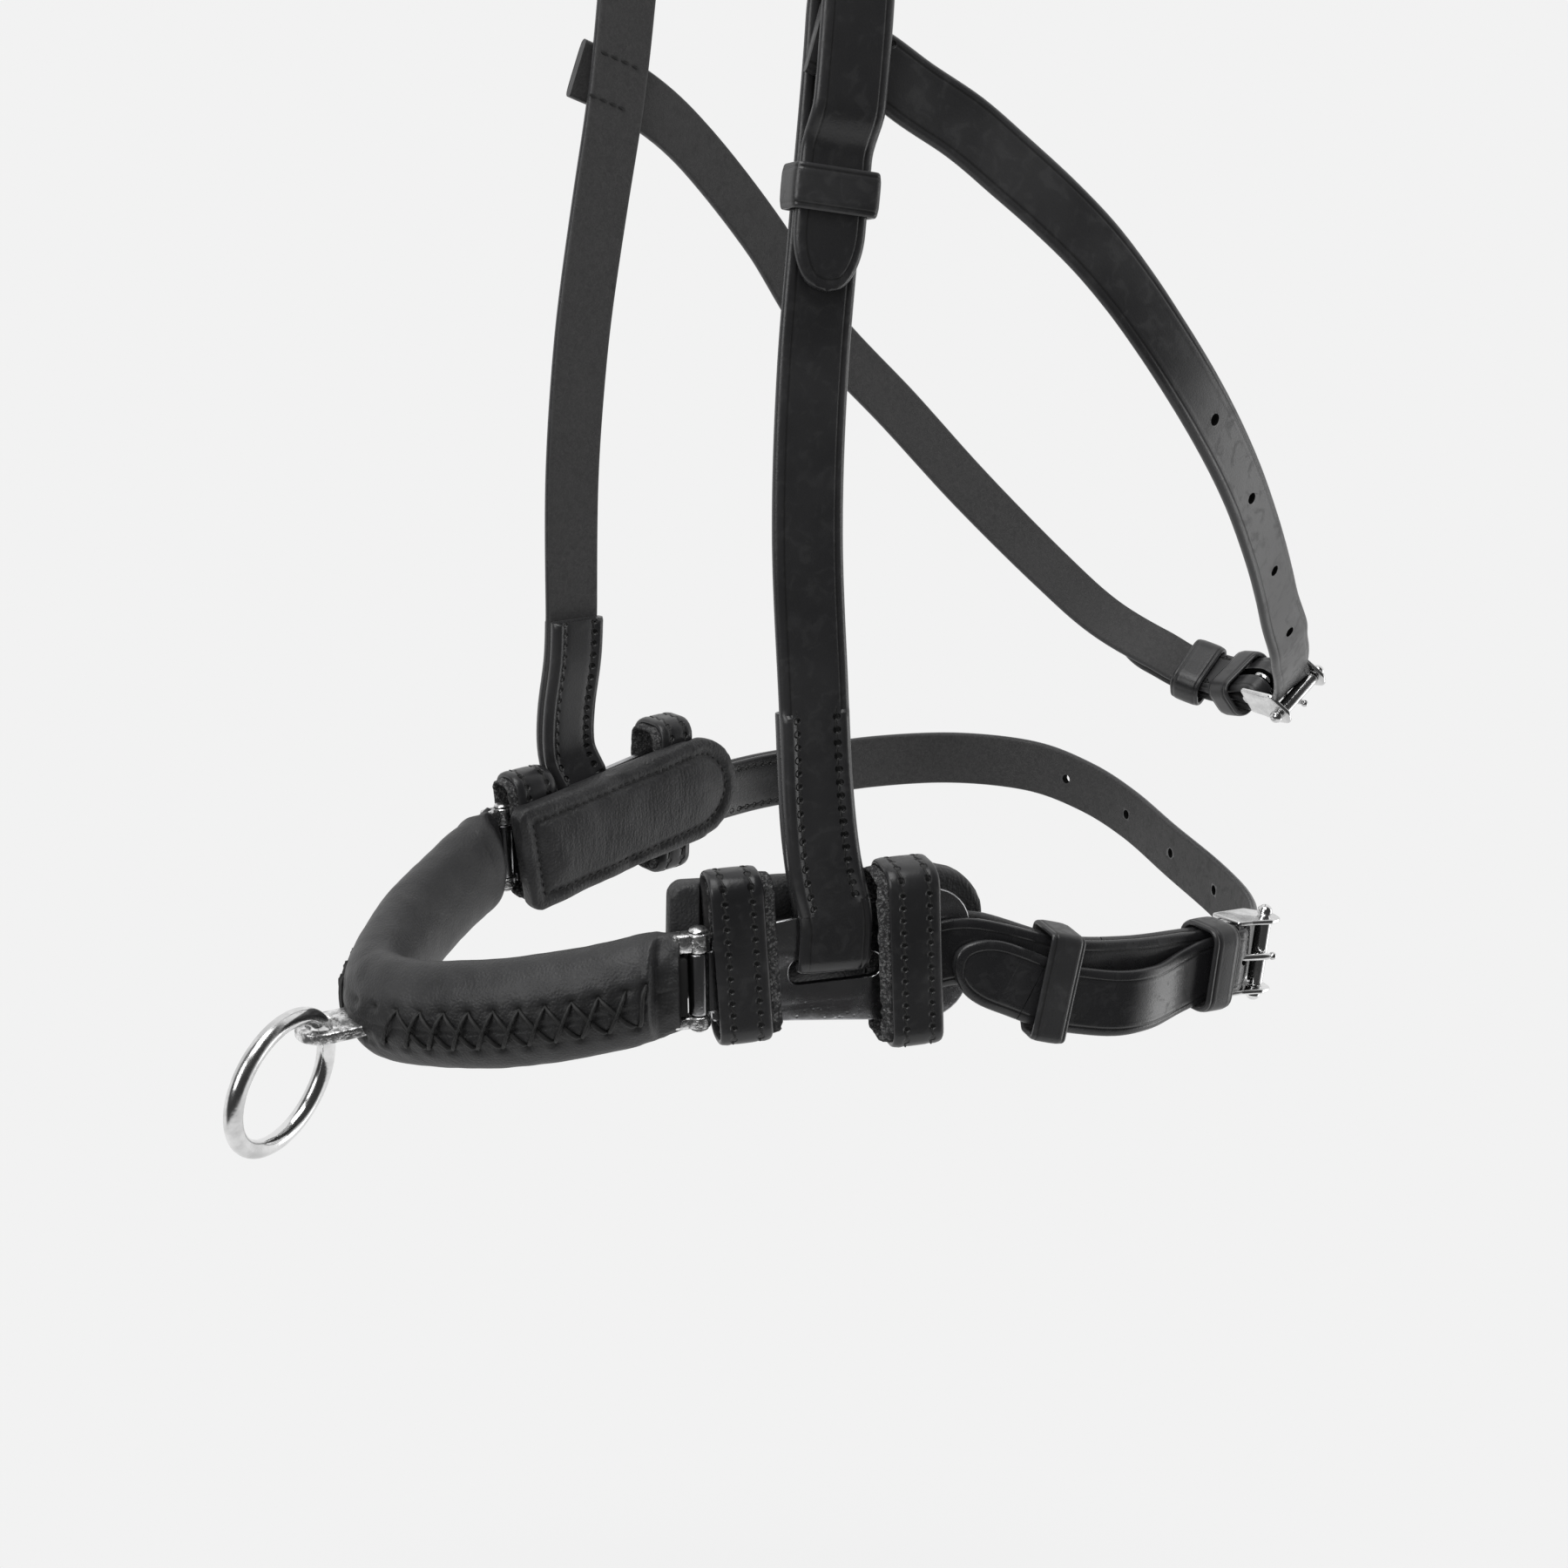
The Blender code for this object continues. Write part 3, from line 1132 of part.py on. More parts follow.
def make_buckle(prefix, route, bar, width):
    """Frame, ball-ended pin, roller and tongue, made flat and set on the strap's route."""
    place, along, across, outward = route.at(bar)
    axes = (along, across, outward)
    arm_middle = width / 2 + BUCKLE_SIDE_ROOM + ARM_THICKNESS / 2
    arms = []
    for side in (1, -1):
        bm = capsule(ARM_RADIUS, (-ARM_TAIL, 0), (ROLLER_REACH, ROLLER_RISE), ARM_THICKNESS / 2)
        bm.transform(Matrix.Translation((0, side * arm_middle, 0)))
        arms.append(bm)
    frame = mesh_object(prefix + "_frame", arms[0])
    boolean(frame, cutter("arm", arms[1]), "UNION")
    boolean(frame, cutter("bar", cylinder(BAR_RADIUS, 2 * arm_middle, axis="Y", segments=14)),
            "UNION")
    boolean(frame, cutter("pin_hole", cylinder(ROLLER_PIN_RADIUS + GAP, 4 * arm_middle,
                                               (ROLLER_REACH, 0, ROLLER_RISE), "Y", 14)))
    put(prefix + "_frame", baked(frame), axes, place, "steel")

    out = arm_middle + ARM_THICKNESS / 2 + GAP
    ball = [(0, out + BALL_RADIUS * 1.7), (BALL_RADIUS * 0.62, out + BALL_RADIUS * 1.5),
            (BALL_RADIUS, out + BALL_RADIUS * 0.85), (BALL_RADIUS * 0.75, out)]
    profile = (ball + [(ROLLER_PIN_RADIUS, out), (ROLLER_PIN_RADIUS, -out)]
               + [(r, -z) for r, z in ball[::-1]])
    pin = baked(turned(prefix + "_pin", profile, 12))
    to_across = Matrix.Rotation(math.radians(-90), 4, "X")
    pin.transform(to_across)
    offset = along * ROLLER_REACH + outward * ROLLER_RISE
    put(prefix + "_pin", pin, axes, place + offset, "steel")

    inner = ROLLER_PIN_RADIUS + GAP
    half = arm_middle - ARM_THICKNESS / 2 - GAP
    tube = [(inner, half), (ROLLER_RADIUS, half), (ROLLER_RADIUS, -half), (inner, -half)]
    roller = baked(turned(prefix + "_roller", tube, 14))
    roller.transform(to_across)
    put(prefix + "_roller", roller, axes, place + offset, "steel")

    angle, near = tongue_direction()
    start = math.degrees(angle) + 90
    hook = arc((0, 0), near, start + 245, start, 9)
    length = (ROLLER_REACH + TONGUE_OVERHANG) / math.cos(angle)
    tip = (hook[-1][0] + math.cos(angle) * length, hook[-1][1] + math.sin(angle) * length)
    middle = ((hook[-1][0] + tip[0]) / 2, (hook[-1][1] + tip[1]) / 2)
    curve = bpy.data.curves.new(prefix + "_tongue", "CURVE")
    curve.dimensions = "3D"
    curve.bevel_depth = TONGUE_RADIUS
    curve.bevel_resolution = 2
    curve.use_fill_caps = True
    spline = curve.splines.new("POLY")
    line = hook + [middle, tip]
    spline.points.add(len(line) - 1)
    for point, (x, z) in zip(spline.points, line):
        point.co = (x, 0, z, 1)
    wire = bpy.data.objects.new(prefix + "_tongue", curve)
    parts.objects.link(wire)
    put(prefix + "_tongue", baked(wire), axes, place, "steel")


def make_cheeks():
    bar = JOWL_JOIN_UP + CHEEK_BUCKLE_PAST_JOWL
    tip = JOWL_JOIN_UP - CHEEK_TIP_BELOW_JOWL
    sliding = JOWL_JOIN_UP - CHEEK_SLIDING_KEEPER_BELOW_JOWL
    t = CHEEK_THICKNESS
    cheek_fold("near_cheek_fold", True, CHEEK_FOLD_WIDTH)
    cheek_fold("far_cheek_fold", False, CHEEK_FOLD_WIDTH)

    near = strap("near_cheek_strap", head, chape_line(FOLD_SEAM, bar - CHEEK_CHAPE, bar, t),
                 CHEEK_WIDTH, t)
    cut_tongue_slot(near, head, bar, t)

    lap = t + GAP
    jowl_lap = lap + JOWL_THICKNESS + 8 * GAP
    ease = STRAP_STEP * 2
    chape_rest = (t + GAP) / 2 + t + GAP
    heights = [(tip + TIP_LENGTH, lap), (sliding + ease / 2, lap),
               (JOWL_JOIN_UP - JOWL_WIDTH / 2 - 4 * GAP, jowl_lap),
               (JOWL_JOIN_UP + JOWL_WIDTH / 2 + ease / 3, jowl_lap),
               (bar - CHEEK_CHAPE + ease, chape_rest), (bar - ease, chape_rest)]
    line = billet_line(tip, bar, t, heights, head.length - FOLD_SEAM)
    crown = strap("crown_strap", head, line, CHEEK_WIDTH, t, TIP_LENGTH)
    punch_for_tongue(crown, head, bar, t)
    for i in range(CHEEK_HOLES):
        punch(crown, head, bar + CHEEK_FIRST_HOLE + i * CHEEK_HOLE_SPACING, HOLE_RADIUS)

    make_buckle("cheek_buckle", head, bar, CHEEK_WIDTH)
    keeper("cheek_fixed_keeper", head, JOWL_JOIN_UP + CHEEK_FIXED_KEEPER_PAST_JOWL, KEEPER_WIDTH,
           CHEEK_WIDTH, -(t + GAP) / 2 - t / 2, chape_rest + t / 2 + 4 * GAP, 2 * GAP)
    keeper("cheek_sliding_keeper", head, sliding, SLIDING_KEEPER_WIDTH, CHEEK_WIDTH, -t / 2,
           lap + t / 2, SLIDING_ROOM)


def make_jowl():
    t = JOWL_THICKNESS
    bar = jowl.nearest(Vector((0, JOWL_DEPTH, JOWL_LOW))) + JOWL_BUCKLE_FROM_MIDDLE
    far = strap("far_jowl_strap", jowl, chape_line(0, bar - JOWL_CHAPE, bar, t), JOWL_WIDTH, t)
    cut_tongue_slot(far, jowl, bar, t)
    chape_rest = (t + GAP) / 2 + t + GAP
    ease = STRAP_STEP * 2
    tip = bar - JOWL_TIP_LENGTH
    heights = [(tip + TIP_LENGTH / 7, t + 2 * GAP), (bar - JOWL_CHAPE, chape_rest + GAP),
               (bar - ease, chape_rest)]
    line = billet_line(tip, bar, t, heights, jowl.length)
    near = strap("near_jowl_strap", jowl, line, JOWL_WIDTH, t, TIP_LENGTH)
    punch_for_tongue(near, jowl, bar, t)
    for i in range(JOWL_HOLES):
        punch(near, jowl, bar + JOWL_FIRST_HOLE + i * JOWL_HOLE_SPACING, HOLE_RADIUS)
    make_buckle("jowl_buckle", jowl, bar, JOWL_WIDTH)
    low = -(t + GAP) / 2 - t / 2
    keeper("jowl_fixed_keeper", jowl, bar - JOWL_FIXED_KEEPER_BACK, KEEPER_WIDTH, JOWL_WIDTH,
           low - 4 * GAP, chape_rest + t / 2 + 5 * GAP, 2 * GAP)
    keeper("jowl_sliding_keeper", jowl, bar - JOWL_SLIDING_KEEPER_BACK, SLIDING_KEEPER_WIDTH,
           JOWL_WIDTH, low, chape_rest + t / 2, SLIDING_ROOM)


def chin_fold(name, from_start):
    """The chin strap's end: outside the plate, forward to its slot, through it and back inside."""
    base = 0 if from_start else chin.length
    way = 1 if from_start else -1
    t = CHIN_THICKNESS
    straddle = PLATE_THICKNESS / 2 + GAP + t / 2 + GAP
    rest = (t + GAP) / 2
    plate_end = PLATE_LENGTH - CHIN_SLOT_MIDDLE
    outer_rest = rest if from_start else 0
    inner_rest = -rest if from_start else -(t + GAP)
    bend_middle = CHIN_SLOT_WIDTH / 2 + GAP
    line = joined(run(CHIN_SEAM - GAP, plate_end + 2 * GAP, outer_rest, straddle, STRAP_STEP / 2),
                  run(plate_end, bend_middle + straddle / 3, straddle),
                  arc((bend_middle, 0), straddle, 90, 270, 8),
                  run(bend_middle + straddle / 3, plate_end + 2 * GAP, -straddle),
                  run(plate_end + 2 * GAP, CHIN_SEAM - GAP, -straddle, inner_rest, STRAP_STEP / 2),
                  run(CHIN_SEAM, CHIN_TURNED_END - GAP, inner_rest))
    line = [(base + way * s, n) for s, n in line]
    return strap(name, chin, line, CHIN_WIDTH, t)


def make_chin():
    t = CHIN_THICKNESS
    bar = CHIN_BUCKLE_BACK
    chin_fold("near_chin_fold", True)
    chin_fold("far_chin_fold", False)
    near = strap("near_chin_strap", chin, chape_line(CHIN_SEAM, CHIN_TURNED_END, bar, t, True),
                 CHIN_WIDTH, t)
    cut_tongue_slot(near, chin, bar, t)
    rest = (t + GAP) / 2 + t + GAP
    straddle = PLATE_THICKNESS / 2 + GAP + t / 2 + GAP + t + GAP
    ease = STRAP_STEP * 2
    heights = [(CHIN_SEAM, rest), (CHIN_SLIDING_KEEPER_BACK + ease / 2, rest),
               (CHIN_SLIDING_KEEPER_BACK + ease * 1.5, rest + t * 1.2),
               (bar - ease * 1.15, rest), (bar - ease * 0.9, rest)]
    sag = [(CHIN_TIP_BACK, CHIN_SAG * 0.4), (CHIN_SLIDING_KEEPER_BACK + ease, CHIN_SAG),
           (bar - ease * 2, CHIN_SAG * 0.9), (bar, 0)]
    tip_end = CHIN_TIP_BACK + TIP_LENGTH
    line = joined(run(CHIN_TIP_BACK, tip_end, straddle, None, TIP_LENGTH / 7),
                  run(tip_end, CHIN_SEAM - GAP, straddle, rest, STRAP_STEP / 3))
    strap("chin_billet_end", chin, line, CHIN_WIDTH, t, TIP_LENGTH, sag)
    line = billet_line(CHIN_SEAM, bar, t, heights, chin.length - CHIN_SEAM)
    far = strap("far_chin_strap", chin, line, CHIN_WIDTH, t, 0, sag)
    punch_for_tongue(far, chin, bar, t)
    for i in range(CHIN_HOLES):
        punch(far, chin, bar + CHIN_FIRST_HOLE + i * CHIN_HOLE_SPACING, HOLE_RADIUS)
    make_buckle("chin_buckle", chin, bar, CHIN_WIDTH)
    low = -(t + GAP) / 2 - t / 2
    keeper("chin_fixed_keeper", chin, CHIN_FIXED_KEEPER_BACK, KEEPER_WIDTH, CHIN_WIDTH, low - 4 * GAP,
           rest + t / 2 + 6 * GAP, 2 * GAP, eased(sag, CHIN_FIXED_KEEPER_BACK - KEEPER_WIDTH / 2),
           CHIN_KEEPER_ROOM)
    keeper("chin_sliding_keeper", chin, CHIN_SLIDING_KEEPER_BACK, SLIDING_KEEPER_WIDTH,
           CHIN_WIDTH, low, rest + t / 2, SLIDING_ROOM,
           eased(sag, CHIN_SLIDING_KEEPER_BACK + SLIDING_KEEPER_WIDTH / 2), CHIN_KEEPER_ROOM)


make_nosepiece()
make_ring()
make_side("near", 1, NEAR_LOOPS_ALONG, NEAR_PAD_START, NEAR_PAD_HEIGHT, NEAR_PAD_TILT)
make_side("far", -1, FAR_LOOPS_ALONG, FAR_PAD_START, FAR_PAD_HEIGHT, FAR_PAD_TILT)
make_cheeks()
make_jowl()
make_chin()
bpy.context.view_layer.update()
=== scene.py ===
import math

import bmesh
import bpy
from mathutils import Matrix, Vector, noise
from mathutils.bvhtree import BVHTree


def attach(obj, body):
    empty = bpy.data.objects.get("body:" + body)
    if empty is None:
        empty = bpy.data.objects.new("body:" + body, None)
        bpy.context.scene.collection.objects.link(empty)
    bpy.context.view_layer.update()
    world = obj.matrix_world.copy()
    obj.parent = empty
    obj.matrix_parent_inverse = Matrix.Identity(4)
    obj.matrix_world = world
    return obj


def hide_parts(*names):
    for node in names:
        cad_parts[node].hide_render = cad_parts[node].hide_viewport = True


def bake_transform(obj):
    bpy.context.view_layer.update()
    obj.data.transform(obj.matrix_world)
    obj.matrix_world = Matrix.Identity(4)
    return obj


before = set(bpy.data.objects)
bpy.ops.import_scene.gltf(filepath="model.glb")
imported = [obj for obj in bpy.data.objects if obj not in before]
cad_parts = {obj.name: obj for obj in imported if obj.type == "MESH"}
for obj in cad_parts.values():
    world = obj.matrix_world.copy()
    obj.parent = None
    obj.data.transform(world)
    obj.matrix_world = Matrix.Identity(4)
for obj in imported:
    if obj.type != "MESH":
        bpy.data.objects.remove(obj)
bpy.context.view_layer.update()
scene = bpy.context.scene

# Studio: the cavesson hangs from a hook, well above a pale floor, in front of a pale wall.
# The camera stands at its near side, a little before it and above it, as in the photograph.
CAMERA_AZIMUTH = math.radians(58.8)
CAMERA_ELEVATION = math.radians(18.0)
camera_place = Vector((0.4841, -0.2919, -0.1876))
FLOOR_HEIGHT = -1.45
PALE = 0.888
view_back = Vector((math.cos(CAMERA_ELEVATION) * math.sin(CAMERA_AZIMUTH),
                    -math.cos(CAMERA_ELEVATION) * math.cos(CAMERA_AZIMUTH),
                    math.sin(CAMERA_ELEVATION)))
view_right = Vector((math.cos(CAMERA_AZIMUTH), math.sin(CAMERA_AZIMUTH), 0))

lens = bpy.data.cameras.new("camera")
lens.lens = 44
lens.sensor_width = 36
lens.clip_start = 0.01
camera = bpy.data.objects.new("camera", lens)
camera.matrix_world = (Matrix.Translation(camera_place) @ Matrix(
    (view_right, view_back.cross(view_right), view_back)).transposed().to_4x4())
scene.collection.objects.link(camera)
scene.camera = camera

scene.view_settings.view_transform = "Standard"


class Socket:
    """An output of a material's node. Python arithmetic on it adds Math nodes."""

    def __init__(self, tree, output=None):
        self.tree, self.output = tree, output

    def node(self, kind, settings=(), inputs=(), output=0):
        """A new node: its settings first, then values or links for its inputs."""
        made = self.tree.nodes.new("ShaderNode" + kind)
        for key, value in dict(settings).items():
            if key == "stops":
                stops = made.color_ramp.elements
                for i, (place, shade) in enumerate(value):
                    stop = stops[i] if i < 2 else stops.new(place)
                    stop.position = place
                    stop.color = (shade, shade, shade, 1)
            else:
                setattr(made, key, value)
        for key, value in dict(inputs).items():
            if isinstance(value, Socket):
                self.tree.links.new(value.output, made.inputs[key])
            else:
                made.inputs[key].default_value = value
        return Socket(self.tree, made.outputs[output])

    def maths(self, operation, a, b=0.0, c=0.0):
        return self.node("Math", {"operation": operation}, {0: a, 1: b, 2: c})

    def __add__(self, other):
        return self.maths("ADD", self, other)

    def __mul__(self, other):
        return self.maths("MULTIPLY", self, other)

    def __sub__(self, other):
        return self.maths("SUBTRACT", self, other)

    def __rsub__(self, other):
        return self.maths("SUBTRACT", other, self)

    def __truediv__(self, other):
        return self.maths("DIVIDE", self, other)

    __radd__ = __add__
    __rmul__ = __mul__

    def between(self, low, high):
        """0 at low and 1 at high, easing smoothly from one to the other."""
        return self.node("MapRange", {"interpolation_type": "SMOOTHSTEP"},
                         {"Value": self, "From Min": low, "From Max": high})

    def peak(self, centre, width):
        """1 at the centre, easing to 0 at the given width to each side of it."""
        return self.maths("ABSOLUTE", self - centre).between(width, 0.0)

    def mix(self, a, b):
        """Colour a where this is 0 and colour b where it is 1."""
        return self.node("Mix", {"data_type": "RGBA"}, {0: self, 6: a, 7: b}, 2)


def new_material(name):
    """A material with its Principled shader and its output node, and a socket to build from."""
    made = bpy.data.materials.new(name)
    made.use_nodes = True
    nodes = made.node_tree.nodes
    return made, nodes["Principled BSDF"], nodes["Material Output"], Socket(made.node_tree)


def pale_to_the_eye(start):
    """1 for rays that reach a surface straight from the camera, by reflection or through glass."""
    kinds = [start.node("LightPath", output=kind) for kind in
             ("Is Camera Ray", "Is Glossy Ray", "Is Transmission Ray")]
    return start.maths("MINIMUM", kinds[0] + kinds[1] + kinds[2], 1.0)


floor_bm = bmesh.new()
bmesh.ops.create_circle(floor_bm, cap_ends=True, segments=96, radius=1.5)
floor_mesh = bpy.data.meshes.new("floor")
floor_bm.to_mesh(floor_mesh)
floor_bm.free()
floor = bpy.data.objects.new("floor", floor_mesh)
floor.location.z = FLOOR_HEIGHT
scene.collection.objects.link(floor)
floor_paint, paint, floor_out, start = new_material("floor_paint")
floor_mesh.materials.append(floor_paint)
paint.inputs["Base Color"].default_value = (0.80, 0.80, 0.80, 1)
paint.inputs["Roughness"].default_value = 0.9
glow = start.node("Emission", inputs={"Color": (PALE, PALE, PALE, 1), "Strength": 1.0})
under = start.node("TexCoord", output="Object")
spread = start.node("VectorMath", {"operation": "LENGTH"}, {0: under}, "Value")
plain = pale_to_the_eye(start) * (1 - 0.35 * spread.between(1.1, 0.2))
lit = Socket(floor_paint.node_tree, paint.outputs[0])
both = start.node("MixShader", inputs={0: plain, 1: lit, 2: glow})
floor_paint.node_tree.links.new(both.output, floor_out.inputs["Surface"])

wall = bpy.data.worlds.new("pale_wall")
scene.world = wall
wall.use_nodes = True
start = Socket(wall.node_tree)
seen = start.node("Background", inputs={"Color": (PALE, PALE, PALE, 1), "Strength": 1.0})
fill = start.node("Background", inputs={"Color": (1, 1, 1, 1), "Strength": 0.38})
sky = start.node("MixShader", inputs={0: pale_to_the_eye(start), 1: fill, 2: seen})
wall.node_tree.links.new(sky.output, wall.node_tree.nodes["World Output"].inputs["Surface"])


def softbox(name, place, towards, width, height, watts):
    light = bpy.data.lights.new(name, "AREA")
    light.shape = "RECTANGLE"
    light.size, light.size_y = width, height
    light.energy = watts
    lamp = bpy.data.objects.new(name, light)
    lamp.location = place
    lamp.rotation_mode = "QUATERNION"
    lamp.rotation_quaternion = (Vector(towards) - Vector(place)).to_track_quat("-Z", "Y")
    scene.collection.objects.link(lamp)


object_middle = Vector((0.02, 0.01, -0.34))
softbox("top_softbox", (0.35, -0.35, 1.05), object_middle, 1.1, 1.1, 16)
softbox("front_softbox", (0.55, -1.45, 0.30), object_middle, 0.8, 1.0, 9)
softbox("rear_softbox", (0.55, 1.35, -0.70), object_middle, 0.35, 1.2, 3.5)

# A dark drape hangs round the camera's side of the set, so that plates and polished leather
# reflect something dark there, as they do in the photograph. It shows in reflections alone.
drape_bm = bmesh.new()
bmesh.ops.create_uvsphere(drape_bm, u_segments=64, v_segments=32, radius=3.4)
away = [f for f in drape_bm.faces if f.calc_center_median().normalized().dot(view_back) < -0.12]
bmesh.ops.delete(drape_bm, geom=away, context="FACES")
drape_mesh = bpy.data.meshes.new("drape")
drape_bm.to_mesh(drape_mesh)
drape_bm.free()
drape_mesh.shade_smooth()
drape = bpy.data.objects.new("drape", drape_mesh)
drape.visible_camera = drape.visible_diffuse = drape.visible_shadow = False
scene.collection.objects.link(drape)
drape_cloth, paint, drape_out, start = new_material("drape_cloth")
drape_mesh.materials.append(drape_cloth)
where = start.node("TexCoord", output="Object")
facing = start.node("VectorMath", {"operation": "DOT_PRODUCT"}, {0: where, 1: view_back / 3.4},
                    "Value")
shade = facing.between(0.30, -0.12) * PALE + 0.045
glow = start.node("Emission", inputs={"Color": (1, 1, 1, 1), "Strength": shade})
drape_cloth.node_tree.links.new(glow.output, drape_out.inputs["Surface"])


# Where the pieces are: places are measured from the middle of the noseband, as in the CAD model,
# 28 mm before the poll and 400 mm below it. Straps and the nosepiece follow routes: smooth lines,
# with the direction that faces away from the horse at each point.
POLL_HEIGHT = 0.400
POLL_BACK = 0.028
GAP = 0.0003
WELD = 0.000001
noseband = Vector((0, -POLL_BACK, -POLL_HEIGHT))
level_axes = (Vector((1, 0, 0)), Vector((0, 1, 0)), Vector((0, 0, 1)))


class Route:
    """A smooth line through points, with the direction that faces away from the horse at each."""

    SAMPLES = 12

    def __init__(self, points, outward):
        self.places, self.faces, self.lengths = [], [], []
        padded = [points[0] * 2 - points[1]] + list(points) + [points[-1] * 2 - points[-2]]
        for i in range(len(points) - 1):
            last = i == len(points) - 2
            for k in range(self.SAMPLES + last):
                t = k / self.SAMPLES
                self.places.append(between(*padded[i:i + 4], t))
                self.faces.append(outward[i].lerp(outward[i + 1], t))
        total = 0
        for i, place in enumerate(self.places):
            total += (place - self.places[i - 1]).length if i else 0
            self.lengths.append(total)
        self.length = total

    def at(self, s):
        """Place, direction along, direction across and outward direction at length s."""
        i = 1
        while i < len(self.lengths) - 1 and self.lengths[i] < s:
            i += 1
        a, b = self.places[i - 1], self.places[i]
        share = (s - self.lengths[i - 1]) / (self.lengths[i] - self.lengths[i - 1])
        before = self.places[max(i - 2, 0)]
        after = self.places[min(i + 1, len(self.places) - 1)]
        held = min(max(share, 0), 1)
        along = (b - before).lerp(after - a, held).normalized()
        face = self.faces[i - 1].lerp(self.faces[i], held)
        across = along.cross(face).normalized()
        return a.lerp(b, share), along, across, across.cross(along)

    def nearest(self, point):
        """Length along the route of its sample nearest to a point."""
        gaps = [(place - point).length for place in self.places]
        return self.lengths[gaps.index(min(gaps))]


def between(a, b, c, d, t):
    """Point on the smooth curve from b to c."""
    return 0.5 * (2 * b + (c - a) * t + (2 * a - 5 * b + 4 * c - d) * t ** 2
                  + (3 * b - a - 3 * c + d) * t ** 3)


def strap_faces(points, across_directions):
    """Outward directions of a strap whose width lies along the given directions."""
    faces = []
    for i, across in enumerate(across_directions):
        along = points[min(i + 1, len(points) - 1)] - points[max(i - 1, 0)]
        faces.append(across.cross(along).normalized())
    return faces


def smooth(t):
    t = min(max(t, 0), 1)
    return t * t * (3 - 2 * t)


def bell(distance, width):
    """1 at no distance, falling to nothing over a few widths."""
    return math.exp(-(distance / width) ** 2)


def piece(name, bm, finish, body=None, sharp=40, axes=level_axes, origin=Vector()):
    """Makes a shape an object of the part. Columns of axes are where its x, y and z point."""
    turn = Matrix(axes).transposed().to_4x4()
    bm.transform(Matrix.Translation(noseband + origin) @ turn)
    bm.normal_update()
    bmesh.ops.recalc_face_normals(bm, faces=bm.faces)
    mesh = bpy.data.meshes.new(name)
    bm.to_mesh(mesh)
    bm.free()
    mesh.shade_smooth()
    mesh.set_sharp_from_angle(angle=math.radians(sharp))
    for coat in finish if isinstance(finish, tuple) else (finish,):
        mesh.materials.append(coat)
    obj = bpy.data.objects.new(name, mesh)
    scene.collection.objects.link(obj)
    if body:
        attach(obj, body)
    return obj


# Side plates' places: each plate swings on a pin behind the end of the nosepiece, and its own axes
# run along it, outward from it, and up.
HINGE_HALF_WIDTH = 0.065
NOSE_END_BACK = -0.042
NEAR_TOE = 15.0
FAR_TOE = 10.0
FAR_DROP = 0.0030
PIN_ALONG = 0.0045


def plate_axes(side):
    toe = math.radians(NEAR_TOE if side > 0 else FAR_TOE)
    along = Vector((side * math.sin(toe), math.cos(toe), 0))
    outward = Vector((side * math.cos(toe), -math.sin(toe), 0))
    return along, outward, Vector((0, 0, 1))


def plate_point(side, along, outward=0.0, up=0.0):
    a, o, z = plate_axes(side)
    start = Vector((side * HINGE_HALF_WIDTH, NOSE_END_BACK, 0 if side > 0 else -FAR_DROP))
    return start + a * along + o * outward + z * up


# Nosepiece cover: soft padded leather sewn round a curved iron, laced shut along its outer side
# and drawn in round the iron at its ends. Its fine folds come from the lacing's pull.
NOSE_HALF_WIDTH = 0.062
NOSE_REACH = 0.061
NOSE_END_HEIGHT = 0.003
NOSE_DIP = 0.0173
NOSE_THICKNESS = 0.0215
NOSE_TALL = 0.0312
NOSE_PLATE_END = -0.0004
END_TAPER = 0.0100
END_DEPTH = 0.0043
LACE_MARGIN = 0.0068
LACE_CROSSES = 25
LACE_HALF_SPREAD = 0.0058
LACE_ANGLE = math.radians(-3.0)
LACE_RADIUS = 0.00062
LACE_SLANT = 0.68            # lower lace holes lie this share of a cross further forward
COVER_RINGS = 300
COVER_ROUND = 110
MOUTH = 0.0072               # length of the drawn-in mouth at each end of the cover
MOUTH_REACH = 0.0052


def nose_point(angle):
    """Centre line of the nosepiece: 0 degrees is the near end and 90 the front."""
    side = 1 if angle <= 90 else -1
    a = math.radians(angle if side > 0 else 180 - angle)
    x = side * NOSE_HALF_WIDTH * math.cos(a) ** 1.28
    y = NOSE_END_BACK - NOSE_REACH * math.sin(a) ** 1.56
    z = NOSE_END_HEIGHT - NOSE_DIP * math.sin(a) ** 1.44
    if side < 0:
        z -= FAR_DROP * math.cos(a)
    return Vector((x, y, z))


nose_points = [nose_point(90 + 75 * (i / 14 - 1)) for i in range(29)]
nose_points.insert(0, plate_point(1, NOSE_PLATE_END, 0, NOSE_END_HEIGHT))
nose_points.append(plate_point(-1, NOSE_PLATE_END, 0, NOSE_END_HEIGHT))
nose_faces = strap_faces(nose_points, [Vector((0, 0, 1))] * len(nose_points))
nose_faces[0] = plate_axes(1)[1]
nose_faces[-1] = plate_axes(-1)[1]
nose = Route(nose_points, nose_faces)
lace_pitch = (nose.length - 2 * LACE_MARGIN) / LACE_CROSSES
lace_turn = LACE_HALF_SPREAD / (NOSE_TALL / 2)


